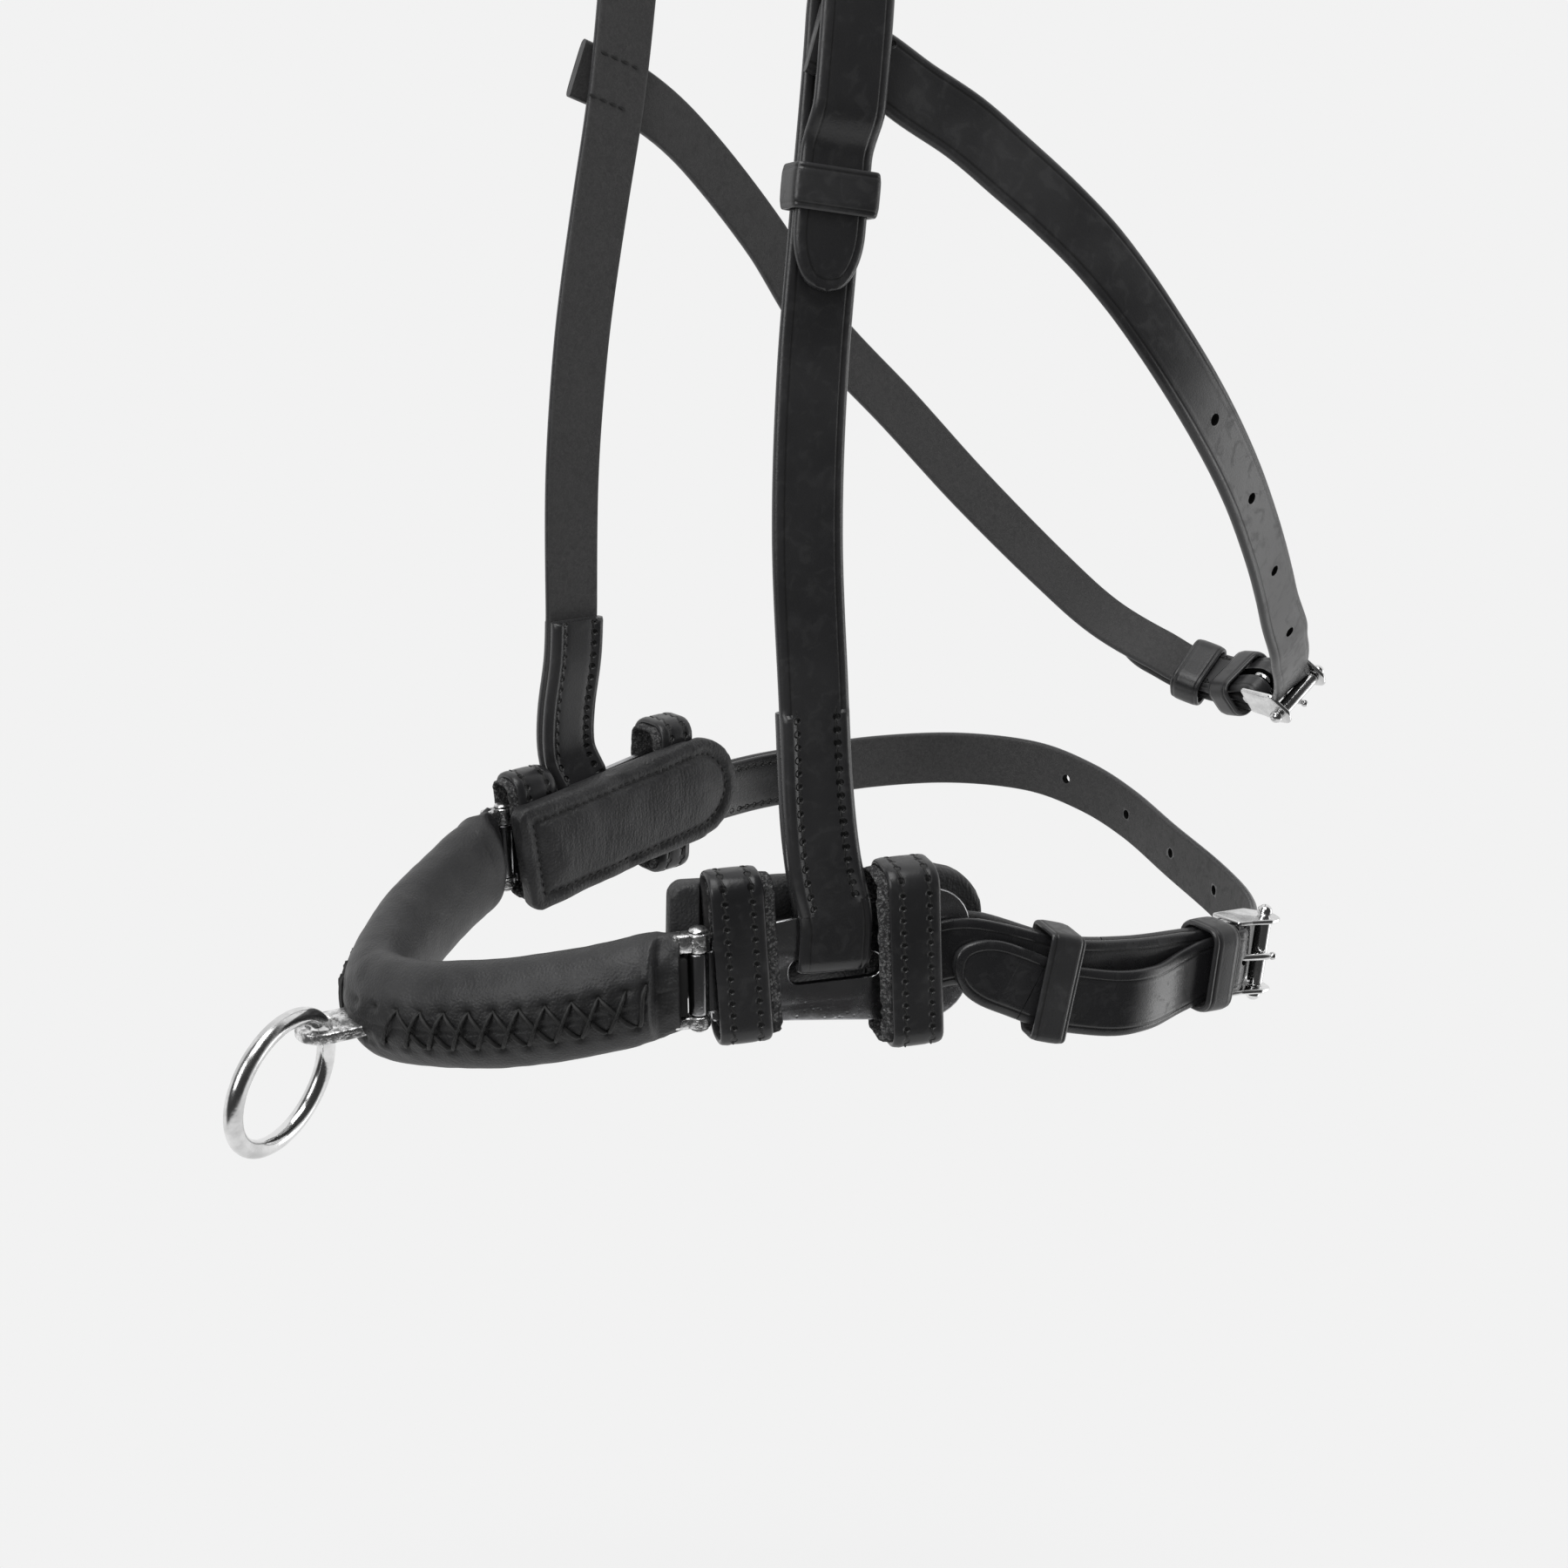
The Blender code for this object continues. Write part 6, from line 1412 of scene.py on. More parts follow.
def billet_line(tip, bar, thickness, rests, end):
    """A billet from its tip, over the chape and through the buckle, to plain strap at its end."""
    first, second, over = billet_window(bar, thickness)
    line = []
    for (s0, n0), (s1, n1) in zip(rests, rests[1:]):
        line += run(s0, s1, n0, n1)
    last_s, last_n = rests[-1]
    start = [(tip, line[0][1])]
    if line[0][0] >= tip + TIP_LENGTH:
        start = run(tip, tip + TIP_LENGTH, line[0][1], None, TIP_LENGTH / 16)
    tail_s, tail_n = second[-1]
    return joined(start, line, run(last_s, bar, last_n, over), first, second,
                  run(tail_s, tail_s + STRAP_STEP * 2, tail_n, 0),
                  run(tail_s + STRAP_STEP * 2, end, 0))


def fold_line(from_start):
    """The cheek strap's end: down outside the plate's bar, under it and up inside, sewn back."""
    top = plate_edges(1, NEAR_FOLD_ALONG)[0] - fold_height
    base, way = (0, 1) if from_start else (head.length, -1)
    inner, back = -fold_radius * 2, -(CHEEK_THICKNESS + GAP)
    line = joined(run(FOLD_SEAM - GAP, 0, 0), arc((0, -fold_radius), fold_radius, 90, 270, 16),
                  run(0, top, inner), run(top, top * 2, inner, back),
                  run(top * 2, FOLD_STITCHED, back))
    return [(base + way * s, n) for s, n in line]


def tongue_direction():
    """Angle of the tongue: it leaves the hinge bar's top and lies on the roller's top."""
    near = BAR_RADIUS + GAP + TONGUE_RADIUS
    far = ROLLER_RADIUS + GAP + TONGUE_RADIUS
    distance = math.hypot(ROLLER_REACH, ROLLER_RISE)
    return math.atan2(ROLLER_RISE, ROLLER_REACH) + math.asin((far - near) / distance), near


def tongue_hole(bar, thickness):
    """Length along the route and height where the tongue goes through the billet."""
    first, second, over = billet_window(0, thickness)
    a, b = Vector(first[-1]), Vector(second[0])
    angle, near = tongue_direction()
    start = Vector((-near * math.sin(angle), near * math.cos(angle)))
    way = Vector((math.cos(angle), math.sin(angle)))
    down = (b - a).normalized()
    meet = a + down * ((start - a).cross(way) / down.cross(way))
    return bar + meet.x, meet.y


# Walls of punched holes: painted near black, as painted shade inside the holes.
hole_wall_painted_shade, paint, hole_out, start = new_material("punched_leather_painted_shade")
paint.inputs["Base Color"].default_value = (0.004, 0.004, 0.004, 1)
paint.inputs["Roughness"].default_value = 0.9
paint.inputs["Specular IOR Level"].default_value = 0.1


def cut(bm, tools):
    """Cuts the tools, each a bmesh with its matrix, out of a shape, keeping its own numbers. The
    walls of the holes take the second finish, painted near black as shade in the holes."""
    shapes = []
    cutter = bmesh.new()
    for tool, matrix in tools:
        tool.transform(matrix)
        merge(cutter, closed(tool))
    for label, shape in (("body", bm), ("cutter", cutter)):
        mesh = bpy.data.meshes.new(label)
        shape.to_mesh(mesh)
        shape.free()
        mesh.materials.append(None)
        mesh.materials.append(hole_wall_painted_shade)
        for face in mesh.polygons:
            face.material_index = 1 if label == "cutter" else 0
        obj = bpy.data.objects.new(label, mesh)
        scene.collection.objects.link(obj)
        shapes.append(obj)
    step = shapes[0].modifiers.new("cut", "BOOLEAN")
    step.operation = "DIFFERENCE"
    step.solver = "EXACT"
    step.object = shapes[1]
    bpy.context.view_layer.update()
    mesh = bpy.data.meshes.new_from_object(shapes[0].evaluated_get(
        bpy.context.evaluated_depsgraph_get()))
    for obj in shapes:
        bpy.data.objects.remove(obj)
    result = bmesh.new()
    result.from_mesh(mesh)
    return result


def route_matrix(route, s, height=0.0):
    place, along, across, outward = route.at(s)
    turn = Matrix((along, across, outward)).transposed().to_4x4()
    return Matrix.Translation(place + outward * height) @ turn


def punch(route, s, height=0.0, radius=HOLE_RADIUS, long_radius=None):
    """A round or drawn-out hole through a strap."""
    bm = bmesh.new()
    bmesh.ops.create_cone(bm, cap_ends=True, segments=20, radius1=radius, radius2=radius,
                          depth=0.011)
    bm.transform(Matrix.Diagonal(((long_radius or radius) / radius, 1, 1, 1)))
    return bm, route_matrix(route, s, height)


def tongue_punch(route, bar, thickness):
    s, height = tongue_hole(bar, thickness)
    return punch(route, s, height, TONGUE_RADIUS + 0.0006, TONGUE_RADIUS + thickness / 2 + 0.0012)


def tongue_slot(route, bar, thickness):
    """The slot in a chape's fold, through which the tongue hooks round the hinge bar."""
    reach = (BAR_RADIUS + GAP + thickness + 4 * GAP) * 1.5
    bm = bmesh.new()
    bmesh.ops.create_cube(bm, size=1)
    bm.transform(Matrix.Diagonal((2 * reach, 2 * (TONGUE_RADIUS + 0.0006), 2 * reach, 1)))
    return bm, route_matrix(route, bar)


def row_stitches(name, route, low, high, height, half, row, inside=False, body="headstall",
                 ends=None, sag=((0, 0), (1, 0))):
    """Two rows of stitches along a strap, on its outer or inner face. height is that face's."""
    bm = bmesh.new()
    count = int((high - low) / STITCH_PITCH)
    first = math.ceil(low / STITCH_PITCH) + 0.5
    for k in range(count):
        s = (first + k) * STITCH_PITCH
        place, along, across, outward = route.at(s)
        for side in (1, -1):
            spot = place + across * (eased(sag, s) + side * (half - row)) + outward * height
            way = -1 if inside else 1
            stitch(bm, spot, (along + across * 0.2).normalized(), outward * way, 0.0030, 0.00042)
    threads = piece(name, bm, thread_black, None, 80)
    if ends:
        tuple(ends[1])
        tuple(ends[2])
        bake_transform(threads)
    else:
        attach(threads, body)


def world_point(route, s):
    return route.at(s)[0] + noseband


cheek_widths = [(0, 0.0206), (0.0180, 0.0206), (0.0700, CHEEK_WIDTH),
                (head.length - 0.0750, CHEEK_WIDTH), (head.length - 0.0180, 0.0198),
                (head.length, 0.0198)]
cheek_sag = [(0, -0.0011), (0.0180, -0.0011), (0.0700, 0), (head.length / 2, 0),
             (head.length - 0.2300, 0), (head.length - 0.1500, -0.0020),
             (head.length - 0.0750, -0.0018), (head.length - 0.0200, FAR_FOLD_SHIFT),
             (head.length, FAR_FOLD_SHIFT)]
t = CHEEK_THICKNESS
cheek_bar = JOWL_JOIN_UP + 0.0690
chape_end = cheek_bar - CHEEK_CHAPE
near_seam = (0.0158, FOLD_STITCHED)
near_line = fold_line(True)[::-1] + chape_line(FOLD_SEAM, chape_end, cheek_bar, t)
near_stations = strap_stations(head, near_line, cheek_widths, -1, sag=cheek_sag,
                               seams=(near_seam, (chape_end, cheek_bar - 0.012)))
near_bm = cut(sweep(near_stations, t, FOLD_ROW, WELT), [tongue_slot(head, cheek_bar, t)])
cheek_leather = strap_leather("cheek_strap_leather", (0.017, 0.017, 0.018, 1),
                              (0.030, 0.030, 0.031, 1), 0.25, CREASE, FOLD_ROW)
near_cheek = piece("near_cheek", near_bm, (cheek_leather, hole_wall_painted_shade), None)
near_bend = ("near_plate", world_point(head, 0.060), world_point(head, 0.004))
far_bend = ("far_plate", world_point(head, head.length - 0.060),
            world_point(head, head.length - 0.004))
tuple(near_bend[1])
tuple(near_bend[2])
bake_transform(near_cheek)
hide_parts("near_cheek_fold", "near_cheek_strap")

lap = t + GAP
jowl_lap = lap + JOWL_THICKNESS + 8 * GAP
ease = STRAP_STEP * 2
chape_rest = (t + GAP) / 2 + t + GAP
cheek_tip = JOWL_JOIN_UP - 0.0540
cheek_slider_up = JOWL_JOIN_UP - 0.0300
rests = [(cheek_tip + TIP_LENGTH, lap), (cheek_slider_up + ease / 2, lap),
         (JOWL_JOIN_UP - JOWL_WIDTH / 2 - 4 * GAP, jowl_lap),
         (JOWL_JOIN_UP + JOWL_WIDTH / 2 + ease / 3, jowl_lap),
         (cheek_bar - CHEEK_CHAPE + ease, chape_rest), (cheek_bar - ease, chape_rest)]
crown_line = joined(billet_line(cheek_tip, cheek_bar, t, rests, head.length - FOLD_SEAM),
                    fold_line(False))
far_seam = (head.length - FOLD_STITCHED, head.length - 0.0158)
crown_stations = strap_stations(head, crown_line, cheek_widths, 1, TIP_LENGTH, cheek_sag,
                                (far_seam,))
crown_tools = [tongue_punch(head, cheek_bar, t)]
crown_tools += [punch(head, cheek_bar + 0.0450 + i * 0.0250) for i in range(3)]
crown = piece("crown_and_far_cheek", cut(sweep(crown_stations, t, FOLD_ROW, WELT), crown_tools),
              (cheek_leather, hole_wall_painted_shade), None)
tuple(far_bend[1])
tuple(far_bend[2])
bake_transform(crown)
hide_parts("crown_strap", "far_cheek_fold")

row_stitches("near_fold_stitches", head, near_seam[0], near_seam[1], t / 2 - 0.0001,
             CHEEK_WIDTH / 2, FOLD_ROW, ends=near_bend, sag=cheek_sag)
row_stitches("near_fold_back_stitches", head, 0.026, near_seam[1], -t * 1.5 - GAP,
             CHEEK_WIDTH / 2, FOLD_ROW, True, ends=near_bend, sag=cheek_sag)
row_stitches("far_fold_stitches", head, far_seam[0], far_seam[1], t / 2 - 0.0001,
             CHEEK_WIDTH / 2, FOLD_ROW, ends=far_bend, sag=cheek_sag)
row_stitches("far_fold_back_stitches", head, far_seam[0], head.length - 0.026,
             -t * 1.5 - GAP, CHEEK_WIDTH / 2, FOLD_ROW, True, ends=far_bend, sag=cheek_sag)


# Keepers on the straps: plain leather loops, one fixed by the buckle and one that slides.
KEEPER_THICKNESS = 0.0016
KEEPER_WIDTH = 0.0105
SLIDING_KEEPER_WIDTH = 0.0110
SLIDING_ROOM = 0.0005
plain_leather = strap_leather("plain_keeper_leather", (0.018, 0.018, 0.019, 1),
                              (0.034, 0.034, 0.035, 1), 0.28, 0.0013)


def strap_keeper(name, node, body, route, s, width, strap_width, low, high, room, over=0.0,
                 under=0.0, corner=0.0014, layer=0.0, lean=0.0):
    """A keeper round the straps: low and high are their faces, over and under what it reaches
    further at its sides. Beside a billet that hangs over, it closes on that layer alone. A keeper
    may lean along the straps."""
    half_t = KEEPER_THICKNESS / 2
    right, left = strap_width / 2 + room + over + half_t, strap_width / 2 + room + under + half_t
    low, high = low - room - half_t, high + room + half_t
    corners = [(-left, low), (right, low), (right, high), (-left, high)]
    if layer:
        corners[1:2] = [(right - over, low), (right, high - layer - 2 * room - 2 * half_t)]
    outline = rounded(corners, [corner + half_t] * len(corners), 5)

    def to_place(w, n):
        spot, ahead, sideways, out = route.at(s)
        return spot + sideways * w + out * n + ahead * lean * w
    stations = loop_stations(filled(outline, 0.0015), width / 2, to_place, route.at(s)[1])
    bm = sweep(stations, KEEPER_THICKNESS, 0.0012, loop=True)
    keeper = piece(name, bm, plain_leather, body)
    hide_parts(node)


strap_keeper("cheek_fixed_loop", "cheek_fixed_keeper", "headstall", head, JOWL_JOIN_UP + 0.0530,
             KEEPER_WIDTH, CHEEK_WIDTH, -(t + GAP) / 2 - t / 2, chape_rest + t / 2 + 4 * GAP,
             2 * GAP)
strap_keeper("cheek_sliding_loop", "cheek_sliding_keeper", "cheek_slider", head,
             cheek_slider_up, SLIDING_KEEPER_WIDTH, CHEEK_WIDTH, -t / 2, lap + t / 2,
             SLIDING_ROOM, corner=0.0005)


# Buckles: nickel-plated roller buckles. Two leaf-shaped arms hold a hinge bar in the strap's fold
# and a roller on a pin with domed heads, and a wire tongue with a rounded tip lies on the roller.
ARM_THICKNESS = 0.0015
ROLLER_PIN_RADIUS = 0.0013
BALL_RADIUS = 0.0022
BUCKLE_SIDE_ROOM = 0.0004
TONGUE_OVERHANG = 0.0020


def buckle(prefix, route, bar, width):
    place, along, across, outward = route.at(bar)
    axes = (along, across, outward)
    arm_middle = width / 2 + BUCKLE_SIDE_ROOM + ARM_THICKNESS / 2
    leaf = rounded([(0.0016, 0.0048), (-0.0012, -0.0056), (0.0125, -0.0078), (0.0192, -0.0018),
                    (0.0186, 0.0034), (0.0140, 0.0048), (0.0070, 0.0043)],
                   [0.0010, 0.0012, 0.0022, 0.0030, 0.0030, 0.0022, 0.0040], 6)
    lean = math.atan2(ROLLER_RISE, ROLLER_REACH)
    frame_bm = bmesh.new()
    for side in (1, -1):
        arm = plate_bmesh([leaf], ARM_THICKNESS, 0.0006)
        arm.transform(Matrix.Rotation(math.pi / 2, 4, "X"))
        arm.transform(Matrix.Rotation(-lean, 4, "Y"))
        arm.transform(Matrix.Translation((0, side * arm_middle, 0)))
        merge(frame_bm, arm)
    bar_bm = rounded_bar(BAR_RADIUS, -arm_middle, arm_middle, 0.0002, 20)
    to_across = Matrix.Rotation(-math.pi / 2, 4, "X")
    bar_bm.transform(to_across)
    merge(frame_bm, bar_bm)
    frame_piece = piece(prefix + "_arms", frame_bm, polished_nickel, "headstall", 35,
                        axes, place)
    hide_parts(prefix + "_buckle_frame")

    out = arm_middle + ARM_THICKNESS / 2
    ball = [(BALL_RADIUS * math.cos(math.radians(a)) * 1.02,
             out + BALL_RADIUS * (0.62 + 0.95 * math.sin(math.radians(a))))
            for a in (90, 75, 60, 45, 30, 15, 0, -15, -30, -41)]
    pin_line = (ball + [(ROLLER_PIN_RADIUS, out), (ROLLER_PIN_RADIUS, -out)]
                + [(r, -z) for r, z in ball[::-1]])
    pin_bm = turned(pin_line, 24)
    pin_bm.transform(to_across)
    middle = place + along * ROLLER_REACH + outward * ROLLER_RISE
    pin_piece = piece(prefix + "_roller_pin", pin_bm, polished_nickel, "headstall", 50,
                      axes, middle)
    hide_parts(prefix + "_buckle_pin")

    half = arm_middle - ARM_THICKNESS / 2 - GAP
    barrel = rounded_bar(ROLLER_RADIUS, -half, half, 0.0004, 32)
    barrel.transform(to_across)
    roller = piece(prefix + "_roller_sleeve", barrel, polished_nickel,
                   prefix + "_roller", 50, axes, middle)
    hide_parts(prefix + "_buckle_roller")

    angle, near = tongue_direction()
    first = math.degrees(angle) + 90
    hook = arc((0, 0), near, first + 245, first, 16)
    length = (ROLLER_REACH + TONGUE_OVERHANG) / math.cos(angle)
    points = hook + [(hook[-1][0] + math.cos(angle) * length * k / 8,
                      hook[-1][1] + math.sin(angle) * length * k / 8) for k in range(1, 9)]
    tongue_bm = bmesh.new()
    tube(tongue_bm, [Vector((x, 0, z)) for x, z in points], TONGUE_RADIUS, 14)
    closed(tongue_bm)
    knob = Matrix.Translation((points[-1][0], 0, points[-1][1]))
    bmesh.ops.create_uvsphere(tongue_bm, u_segments=16, v_segments=10,
                              radius=TONGUE_RADIUS * 1.12, matrix=knob)
    tongue = piece(prefix + "_tongue_wire", tongue_bm, polished_nickel,
                   prefix + "_tongue", 50, axes, place)
    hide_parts(prefix + "_buckle_tongue")


buckle("cheek", head, cheek_bar, CHEEK_WIDTH)


# Jowl strap: sewn to the outer face of each cheek strap, round below the jaw, and buckled low
# on the near side, with a fixed and a sliding keeper.
JOWL_HALF_WIDTH = 0.0905
JOWL_DEPTH = 0.2140
JOWL_LOW = 0.0350
NEAR_JOWL_LAP = -0.0010
FAR_JOWL_LAP = 0.0020

# Shares of the jowl strap's half width, its depth and its height above its lowest point
jowl_side_shares = [
    (0.805, 0.187, 0.915), (0.920, 0.335, 0.775), (0.990, 0.459, 0.620), (0.925, 0.598, 0.468),
    (0.815, 0.716, 0.323), (0.650, 0.838, 0.175),
]
jowl_low_shares = [
    (-0.500, 0.915, 0.085), (-0.280, 0.980, 0.028), (-0.090, 1.016, 0.005), (0.090, 1.014, 0.015),
    (0.265, 1.013, 0.0245), (0.420, 1.011, 0.033), (0.514, 0.977, 0.0575), (0.575, 0.918, 0.1025),
]
jowl_side_faces = [
    (0.95, 0.05, -0.16), (0.95, 0.12, -0.18), (0.92, 0.25, -0.22), (0.90, 0.34, -0.26),
    (0.86, 0.38, -0.34), (0.74, 0.42, -0.52),
]
jowl_low_faces = [
    (-0.50, 0.52, -0.70), (-0.25, 0.57, -0.78), (0.08, 0.56, -0.825), (0.08, 0.56, -0.825),
    (0.08, 0.56, -0.825), (0.10, 0.56, -0.825), (0.35, 0.54, -0.765), (0.50, 0.53, -0.68),
]
jowl_join_height = CHEEK_THICKNESS / 2 + 3 * GAP + JOWL_THICKNESS / 2


def jowl_ends(side):
    """The two points where the jowl strap lies across the outer face of the cheek strap."""
    s = JOWL_JOIN_UP if side > 0 else head.length - JOWL_JOIN_UP
    place, along, across, outward = head.at(s)
    over = CHEEK_WIDTH / 2 + (NEAR_JOWL_LAP if side > 0 else FAR_JOWL_LAP)
    front = (place + outward * jowl_join_height - across * over
             + Vector((0, 0, CHEEK_WIDTH / 4)))
    rear = place + outward * (jowl_join_height + 3 * GAP) + across * CHEEK_WIDTH / 2
    return [(front, outward), (rear, outward)]


def jowl_stop(share, face, side):
    x, y, z = share
    place = Vector((side * x * JOWL_HALF_WIDTH, y * JOWL_DEPTH,
                    JOWL_LOW + z * (jowl_top - JOWL_LOW)))
    return place, Vector((side * face[0], face[1], face[2]))


near_ends = jowl_ends(1)
jowl_top = near_ends[1][0].z
far_side = [jowl_stop(p, f, -1) for p, f in zip(jowl_side_shares, jowl_side_faces)]
near_side = [jowl_stop(p, f, 1) for p, f in zip(jowl_side_shares, jowl_side_faces)]
low_side = [jowl_stop(p, f, 1) for p, f in zip(jowl_low_shares, jowl_low_faces)]
jowl_line = jowl_ends(-1) + far_side + low_side + near_side[::-1] + near_ends[::-1]
jowl = Route([p for p, f in jowl_line], [f for p, f in jowl_line])

t = JOWL_THICKNESS
jowl_leather = strap_leather("jowl_strap_leather", (0.018, 0.018, 0.019, 1),
                             (0.036, 0.036, 0.037, 1), 0.30, 0.0022, 0.0024)
jowl_bar = jowl.nearest(Vector((0, JOWL_DEPTH, JOWL_LOW))) + 0.0150
chape_end = jowl_bar - 0.0350
far_stations = strap_stations(jowl, chape_line(0, chape_end, jowl_bar, t), JOWL_WIDTH, 1,
                              seams=((0.0025, CHEEK_WIDTH + 0.0010),
                                     (chape_end, jowl_bar - 0.012)))
far_jowl = piece("far_jowl", cut(sweep(far_stations, t, 0.0024), [tongue_slot(jowl, jowl_bar, t)]),
                 (jowl_leather, hole_wall_painted_shade), "headstall")
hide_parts("far_jowl_strap")
chape_rest = (t + GAP) / 2 + t + GAP
jowl_tip = jowl_bar - 0.0620
first, second, over = billet_window(jowl_bar, t)
rests = [(jowl_tip, t + 2 * GAP), (jowl_tip + TIP_LENGTH, t + 3 * GAP),
         (chape_end, chape_rest + GAP), (jowl_bar - ease, chape_rest), (jowl_bar, over)]
billet = [(s, eased(rests, s)) for s, n in run(jowl_tip, jowl_bar, 0, None, 0.004)][:-1]
billet += first + second[:1]
points, faces = [], []
for s, n in billet:
    place, along, across, outward = jowl.at(s)
    points.append(place + outward * n)
    faces.append(outward)
upper_start = jowl_bar + 0.0720
place, along, across, outward = jowl.at(upper_start)
chord = place - points[-1]
roller_axis = jowl.at(jowl_bar)[2]
leaving = roller_axis.cross(chord).normalized()
for share in (0.12, 0.26, 0.42, 0.60, 0.80):
    points.append(points[len(billet) - 1] + chord * share + leaving * 0.0016 * math.sin(
        math.pi * share))
    faces.append(leaving.lerp(outward, share))
reach = jowl.length - upper_start
for k in range(18):
    place, along, across, outward = jowl.at(upper_start + reach * k / 17)
    shift = 0.0008 + 0.0018 * bell(k / 17 - 0.62, 0.28) if k < 15 else 0.0
    points.append(place + across * shift)
    faces.append(outward)
near_run = Route(points, faces)
near_line = joined(run(0, TIP_LENGTH, 0, None, 0.0010), run(TIP_LENGTH, near_run.length, 0))
near_end = near_run.length
near_stations = strap_stations(near_run, near_line, JOWL_WIDTH, 1, TIP_LENGTH,
                               seams=((near_end - CHEEK_WIDTH - 0.0010, near_end - 0.0025),))
upper_hole = near_run.nearest(jowl.at(jowl_bar + 0.0770)[0])
s, height = tongue_hole(jowl_bar, t)
tongue_place = near_run.nearest(jowl.at(s)[0] + jowl.at(s)[3] * height)
tools = [punch(near_run, tongue_place, 0, TONGUE_RADIUS + 0.0006, TONGUE_RADIUS + t)]
tools += [punch(near_run, upper_hole + i * 0.0342) for i in range(4)]
near_jowl = piece("near_jowl", cut(sweep(near_stations, t, 0.0024), tools),
                  (jowl_leather, hole_wall_painted_shade), "headstall")
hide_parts("near_jowl_strap")
row_stitches("jowl_chape_stitches", jowl, chape_end, jowl_bar - 0.013, (t + GAP) / 2 + t / 2,
             JOWL_WIDTH / 2, 0.0024)
row_stitches("jowl_chape_back_stitches", jowl, chape_end, jowl_bar - 0.013,
             -(t + GAP) / 2 - t / 2, JOWL_WIDTH / 2, 0.0024, True)
row_stitches("far_jowl_end_stitches", jowl, 0.0030, CHEEK_WIDTH, t / 2, JOWL_WIDTH / 2, 0.0024)
row_stitches("near_jowl_end_stitches", near_run, near_end - CHEEK_WIDTH, near_end - 0.0030,
             t / 2, JOWL_WIDTH / 2, 0.0024)


def joint_stitches(name, route, low, high):
    """Rows of a jowl strap's end where they come through to the cheek strap's inner face."""
    bm = bmesh.new()
    for k in range(int((high - low) / STITCH_PITCH)):
        place, along, across, outward = route.at(low + (k + 0.5) * STITCH_PITCH)
        for side in (1, -1):
            spot = place + across * side * (JOWL_WIDTH / 2 - 0.0024)
            under, down, sideways, out = head.at(head.nearest(spot))
            spot -= out * ((spot - under).dot(out) + CHEEK_THICKNESS / 2)
            stitch(bm, spot, along, -out, 0.0029, 0.00055)
    piece(name, bm, thread_black, "headstall", 80)


joint_stitches("far_joint_stitches", jowl, 0.0030, CHEEK_WIDTH)
joint_stitches("near_joint_stitches", near_run, near_end - CHEEK_WIDTH, near_end - 0.0030)
buckle("jowl", jowl, jowl_bar, JOWL_WIDTH)
low = -(t + GAP) / 2 - t / 2
strap_keeper("jowl_fixed_loop", "jowl_fixed_keeper", "headstall", jowl, jowl_bar - 0.0112,
             KEEPER_WIDTH, JOWL_WIDTH, low - 4 * GAP, chape_rest + t / 2 + 5 * GAP, 2 * GAP,
             under=0.0012, corner=0.0030)
strap_keeper("jowl_sliding_loop", "jowl_sliding_keeper", "jowl_slider", jowl, jowl_bar - 0.0310,
             SLIDING_KEEPER_WIDTH, JOWL_WIDTH, low, chape_rest + t / 2, SLIDING_ROOM + GAP,
             under=0.0014, corner=0.0030)


# Chin strap: each end goes out through the plate's rear slot and is sewn back on itself. The
# buckle sits behind the near plate, and the long billet comes round from the far side.
CHIN_HALF_WIDTH = 0.0970
CHIN_DEPTH = 0.1860
CHIN_DROP = 0.0210
CHIN_SEAM = 0.0340
CHIN_TURNED_END = 0.0560
CHIN_TIP_BACK = 0.0070
CHIN_SAG = 0.0075

# Shares of the chin strap's half width, of its depth and of its drop
chin_route_shares = [
    (0.975, 0.330, 0.42), (0.990, 0.455, 0.66), (0.985, 0.580, 0.80), (0.975, 0.680, 0.90),
    (0.935, 0.765, 0.97), (0.780, 0.835, 0.98), (0.520, 0.895, 0.96), (0.175, 0.950, 0.90),
    (-0.145, 0.990, 0.75), (-0.400, 0.990, 0.58), (-0.640, 0.950, 0.44), (-0.815, 0.825, 0.32),
    (-0.880, 0.650, 0.22), (-0.880, 0.480, 0.17), (-0.872, 0.360, 0.15),
]
chin_points = [plate_point(1, CHIN_SLOT_MIDDLE, 0, plate_middle),
               plate_point(1, PLATE_LENGTH, 0, plate_middle)]
chin_points += [Vector((x * CHIN_HALF_WIDTH, y * CHIN_DEPTH, plate_middle - z * CHIN_DROP))
                for x, y, z in chin_route_shares]
chin_points += [plate_point(-1, PLATE_LENGTH, 0, plate_middle),
                plate_point(-1, CHIN_SLOT_MIDDLE, 0, plate_middle)]
chin = Route(chin_points, strap_faces(chin_points, [Vector((0, 0, -1))] * len(chin_points)))


def chin_fold_line(from_start):
    """The chin strap's end: outside the plate, forward to its slot, through it and back inside."""
    base, way = (0, 1) if from_start else (chin.length, -1)
    t = CHIN_THICKNESS
    straddle = PLATE_THICKNESS / 2 + GAP + t / 2 + GAP
    rest = (t + GAP) / 2
    plate_end = PLATE_LENGTH - CHIN_SLOT_MIDDLE
    outer_rest = rest if from_start else 0
    inner_rest = -rest if from_start else -(t + GAP)
    bend = CHIN_SLOT_WIDTH / 2 + GAP
    line = joined(run(CHIN_SEAM - GAP, plate_end + 2 * GAP, outer_rest, straddle),
                  run(plate_end, bend + straddle / 3, straddle),
                  arc((bend, 0), straddle, 90, 270, 14),
                  run(bend + straddle / 3, plate_end + 2 * GAP, -straddle),
                  run(plate_end + 2 * GAP, CHIN_SEAM - GAP, -straddle, inner_rest),
                  run(CHIN_SEAM, CHIN_TURNED_END - GAP, inner_rest))
    return [(base + way * s, n) for s, n in line]


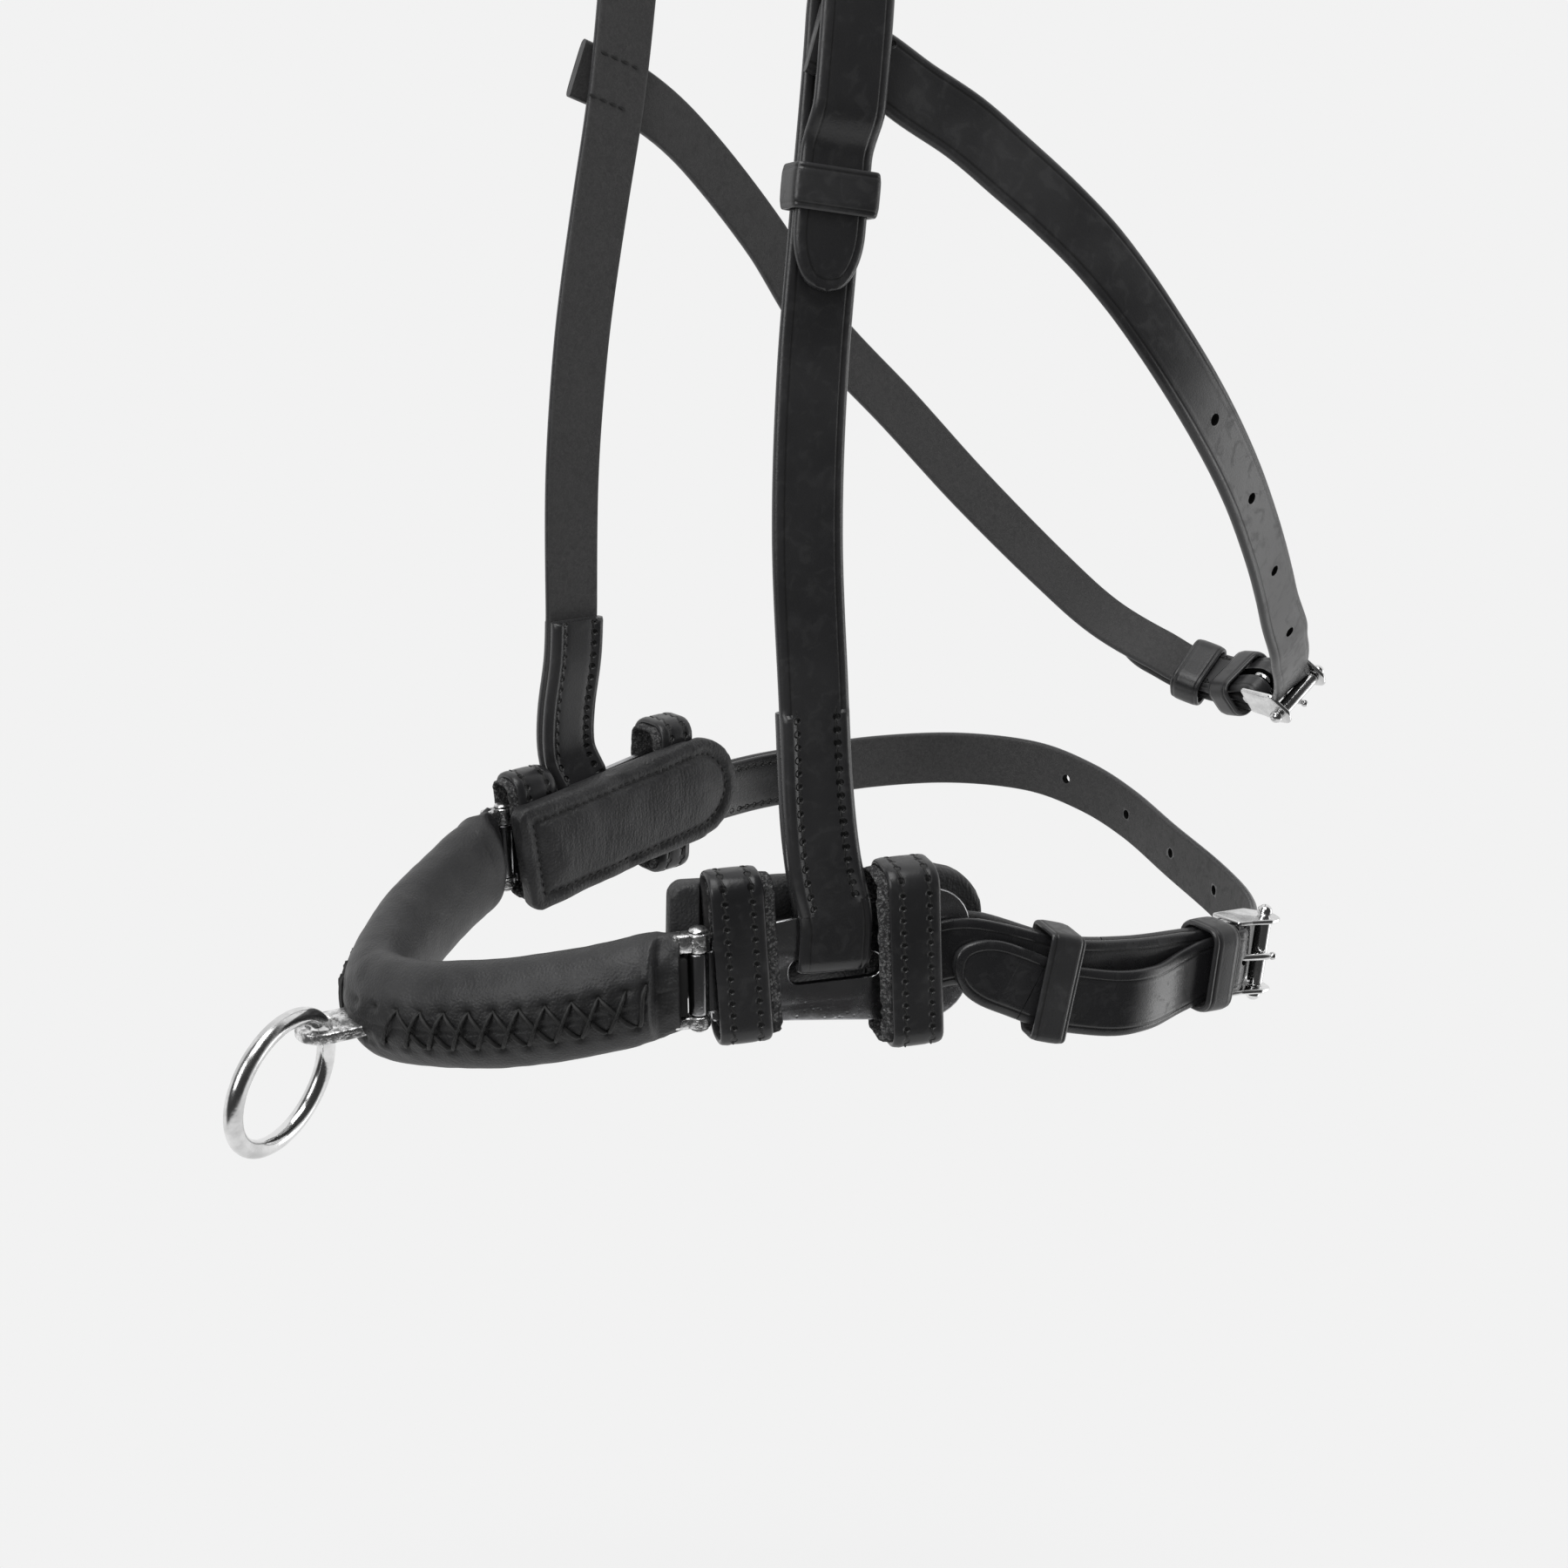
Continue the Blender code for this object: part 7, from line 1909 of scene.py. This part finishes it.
t = CHIN_THICKNESS
chin_bar = 0.1065
near_line = chin_fold_line(True)[::-1] + chape_line(CHIN_SEAM, CHIN_TURNED_END, chin_bar, t, True)
near_stations = strap_stations(chin, near_line, CHIN_WIDTH, -1)
chin_leather = strap_leather("chin_strap_leather", (0.011, 0.011, 0.012, 1),
                             (0.021, 0.021, 0.022, 1), 0.20, CREASE, 0.0026)
near_chin = piece("near_chin", cut(sweep(near_stations, t, 0.0026),
                                   [tongue_slot(chin, chin_bar, t)]),
                  (chin_leather, hole_wall_painted_shade), None)
near_chin_bend = (world_point(chin, 0.030), world_point(chin, 0.012))

# The far bend's end is measured from its start on a slant; the billet lies far off on the near side.
slant = Vector((-1, -1, 0)).normalized()
bend_start, bend_end = (world_point(chin, chin.length - back) for back in (0.040, 0.014))
far_chin_bend = (bend_start, bend_start + slant * (bend_end - bend_start).dot(slant))
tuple(near_chin_bend[0])
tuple(near_chin_bend[1])
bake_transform(near_chin)
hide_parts("near_chin_fold", "near_chin_strap")

rest = (t + GAP) / 2 + t + GAP
straddle = PLATE_THICKNESS / 2 + GAP + t / 2 + GAP + t + GAP
slider_back = 0.0395
rests = [(CHIN_SEAM, rest), (slider_back + ease / 2, rest),
         (slider_back + ease * 1.5, rest + t * 1.2),
         (chin_bar - ease * 1.15, rest), (chin_bar - ease * 0.9, rest)]
sag = [(CHIN_TIP_BACK, CHIN_SAG * 0.4), (slider_back + ease, CHIN_SAG),
       (chin_bar - ease * 2, CHIN_SAG * 0.9), (chin_bar, 0)]
tip_end = CHIN_TIP_BACK + TIP_LENGTH
billet_end = joined(run(CHIN_TIP_BACK, tip_end, straddle, None, TIP_LENGTH / 16),
                    run(tip_end, CHIN_SEAM - GAP, straddle, rest))
end_bm = sweep(strap_stations(chin, billet_end, CHIN_WIDTH, 1, TIP_LENGTH, sag), t, 0.0026)
billet_tip = piece("chin_billet_tip", end_bm, chin_leather, None)
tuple(near_chin_bend[0])
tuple(near_chin_bend[1])
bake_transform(billet_tip)
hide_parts("chin_billet_end")

far_line = joined(billet_line(CHIN_SEAM, chin_bar, t, rests, chin.length - CHIN_SEAM),
                  chin_fold_line(False))
far_seam = (chin.length - CHIN_TURNED_END, chin.length - 0.0165)
far_stations = strap_stations(chin, far_line, CHIN_WIDTH, 1, 0.0, sag, seams=(far_seam,))
tools = [tongue_punch(chin, chin_bar, t)]
tools += [punch(chin, chin_bar + 0.0300 + i * 0.0338) for i in range(5)]
far_chin = piece("far_chin", cut(sweep(far_stations, t, 0.0026), tools),
                 (chin_leather, hole_wall_painted_shade), None)
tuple(far_chin_bend[0])
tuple(far_chin_bend[1])
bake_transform(far_chin)
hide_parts("far_chin_strap", "far_chin_fold")
row_stitches("far_chin_fold_stitches", chin, far_seam[0], far_seam[1] - 0.008, t / 2,
             CHIN_WIDTH / 2, 0.0026, ends=("far_plate", *far_chin_bend))
row_stitches("far_chin_fold_back_stitches", chin, far_seam[0], far_seam[1] - 0.016,
             -t * 1.5 - GAP, CHIN_WIDTH / 2, 0.0026, True, ends=("far_plate", *far_chin_bend))
buckle("chin", chin, chin_bar, CHIN_WIDTH)
low = -(t + GAP) / 2 - t / 2
strap_keeper("chin_fixed_loop", "chin_fixed_keeper", "headstall", chin, 0.0985, KEEPER_WIDTH,
             CHIN_WIDTH, low - 4 * GAP, rest + t / 2 + 6 * GAP, 2 * GAP,
             eased(sag, 0.0985 - KEEPER_WIDTH / 2), corner=0.0030)
strap_keeper("chin_sliding_loop", "chin_sliding_keeper", "chin_slider", chin, slider_back,
             SLIDING_KEEPER_WIDTH, CHIN_WIDTH, low, rest + t / 2, SLIDING_ROOM + 2 * GAP,
             eased(sag, slider_back + SLIDING_KEEPER_WIDTH / 2), corner=0.0006, layer=t,
             lean=0.12)
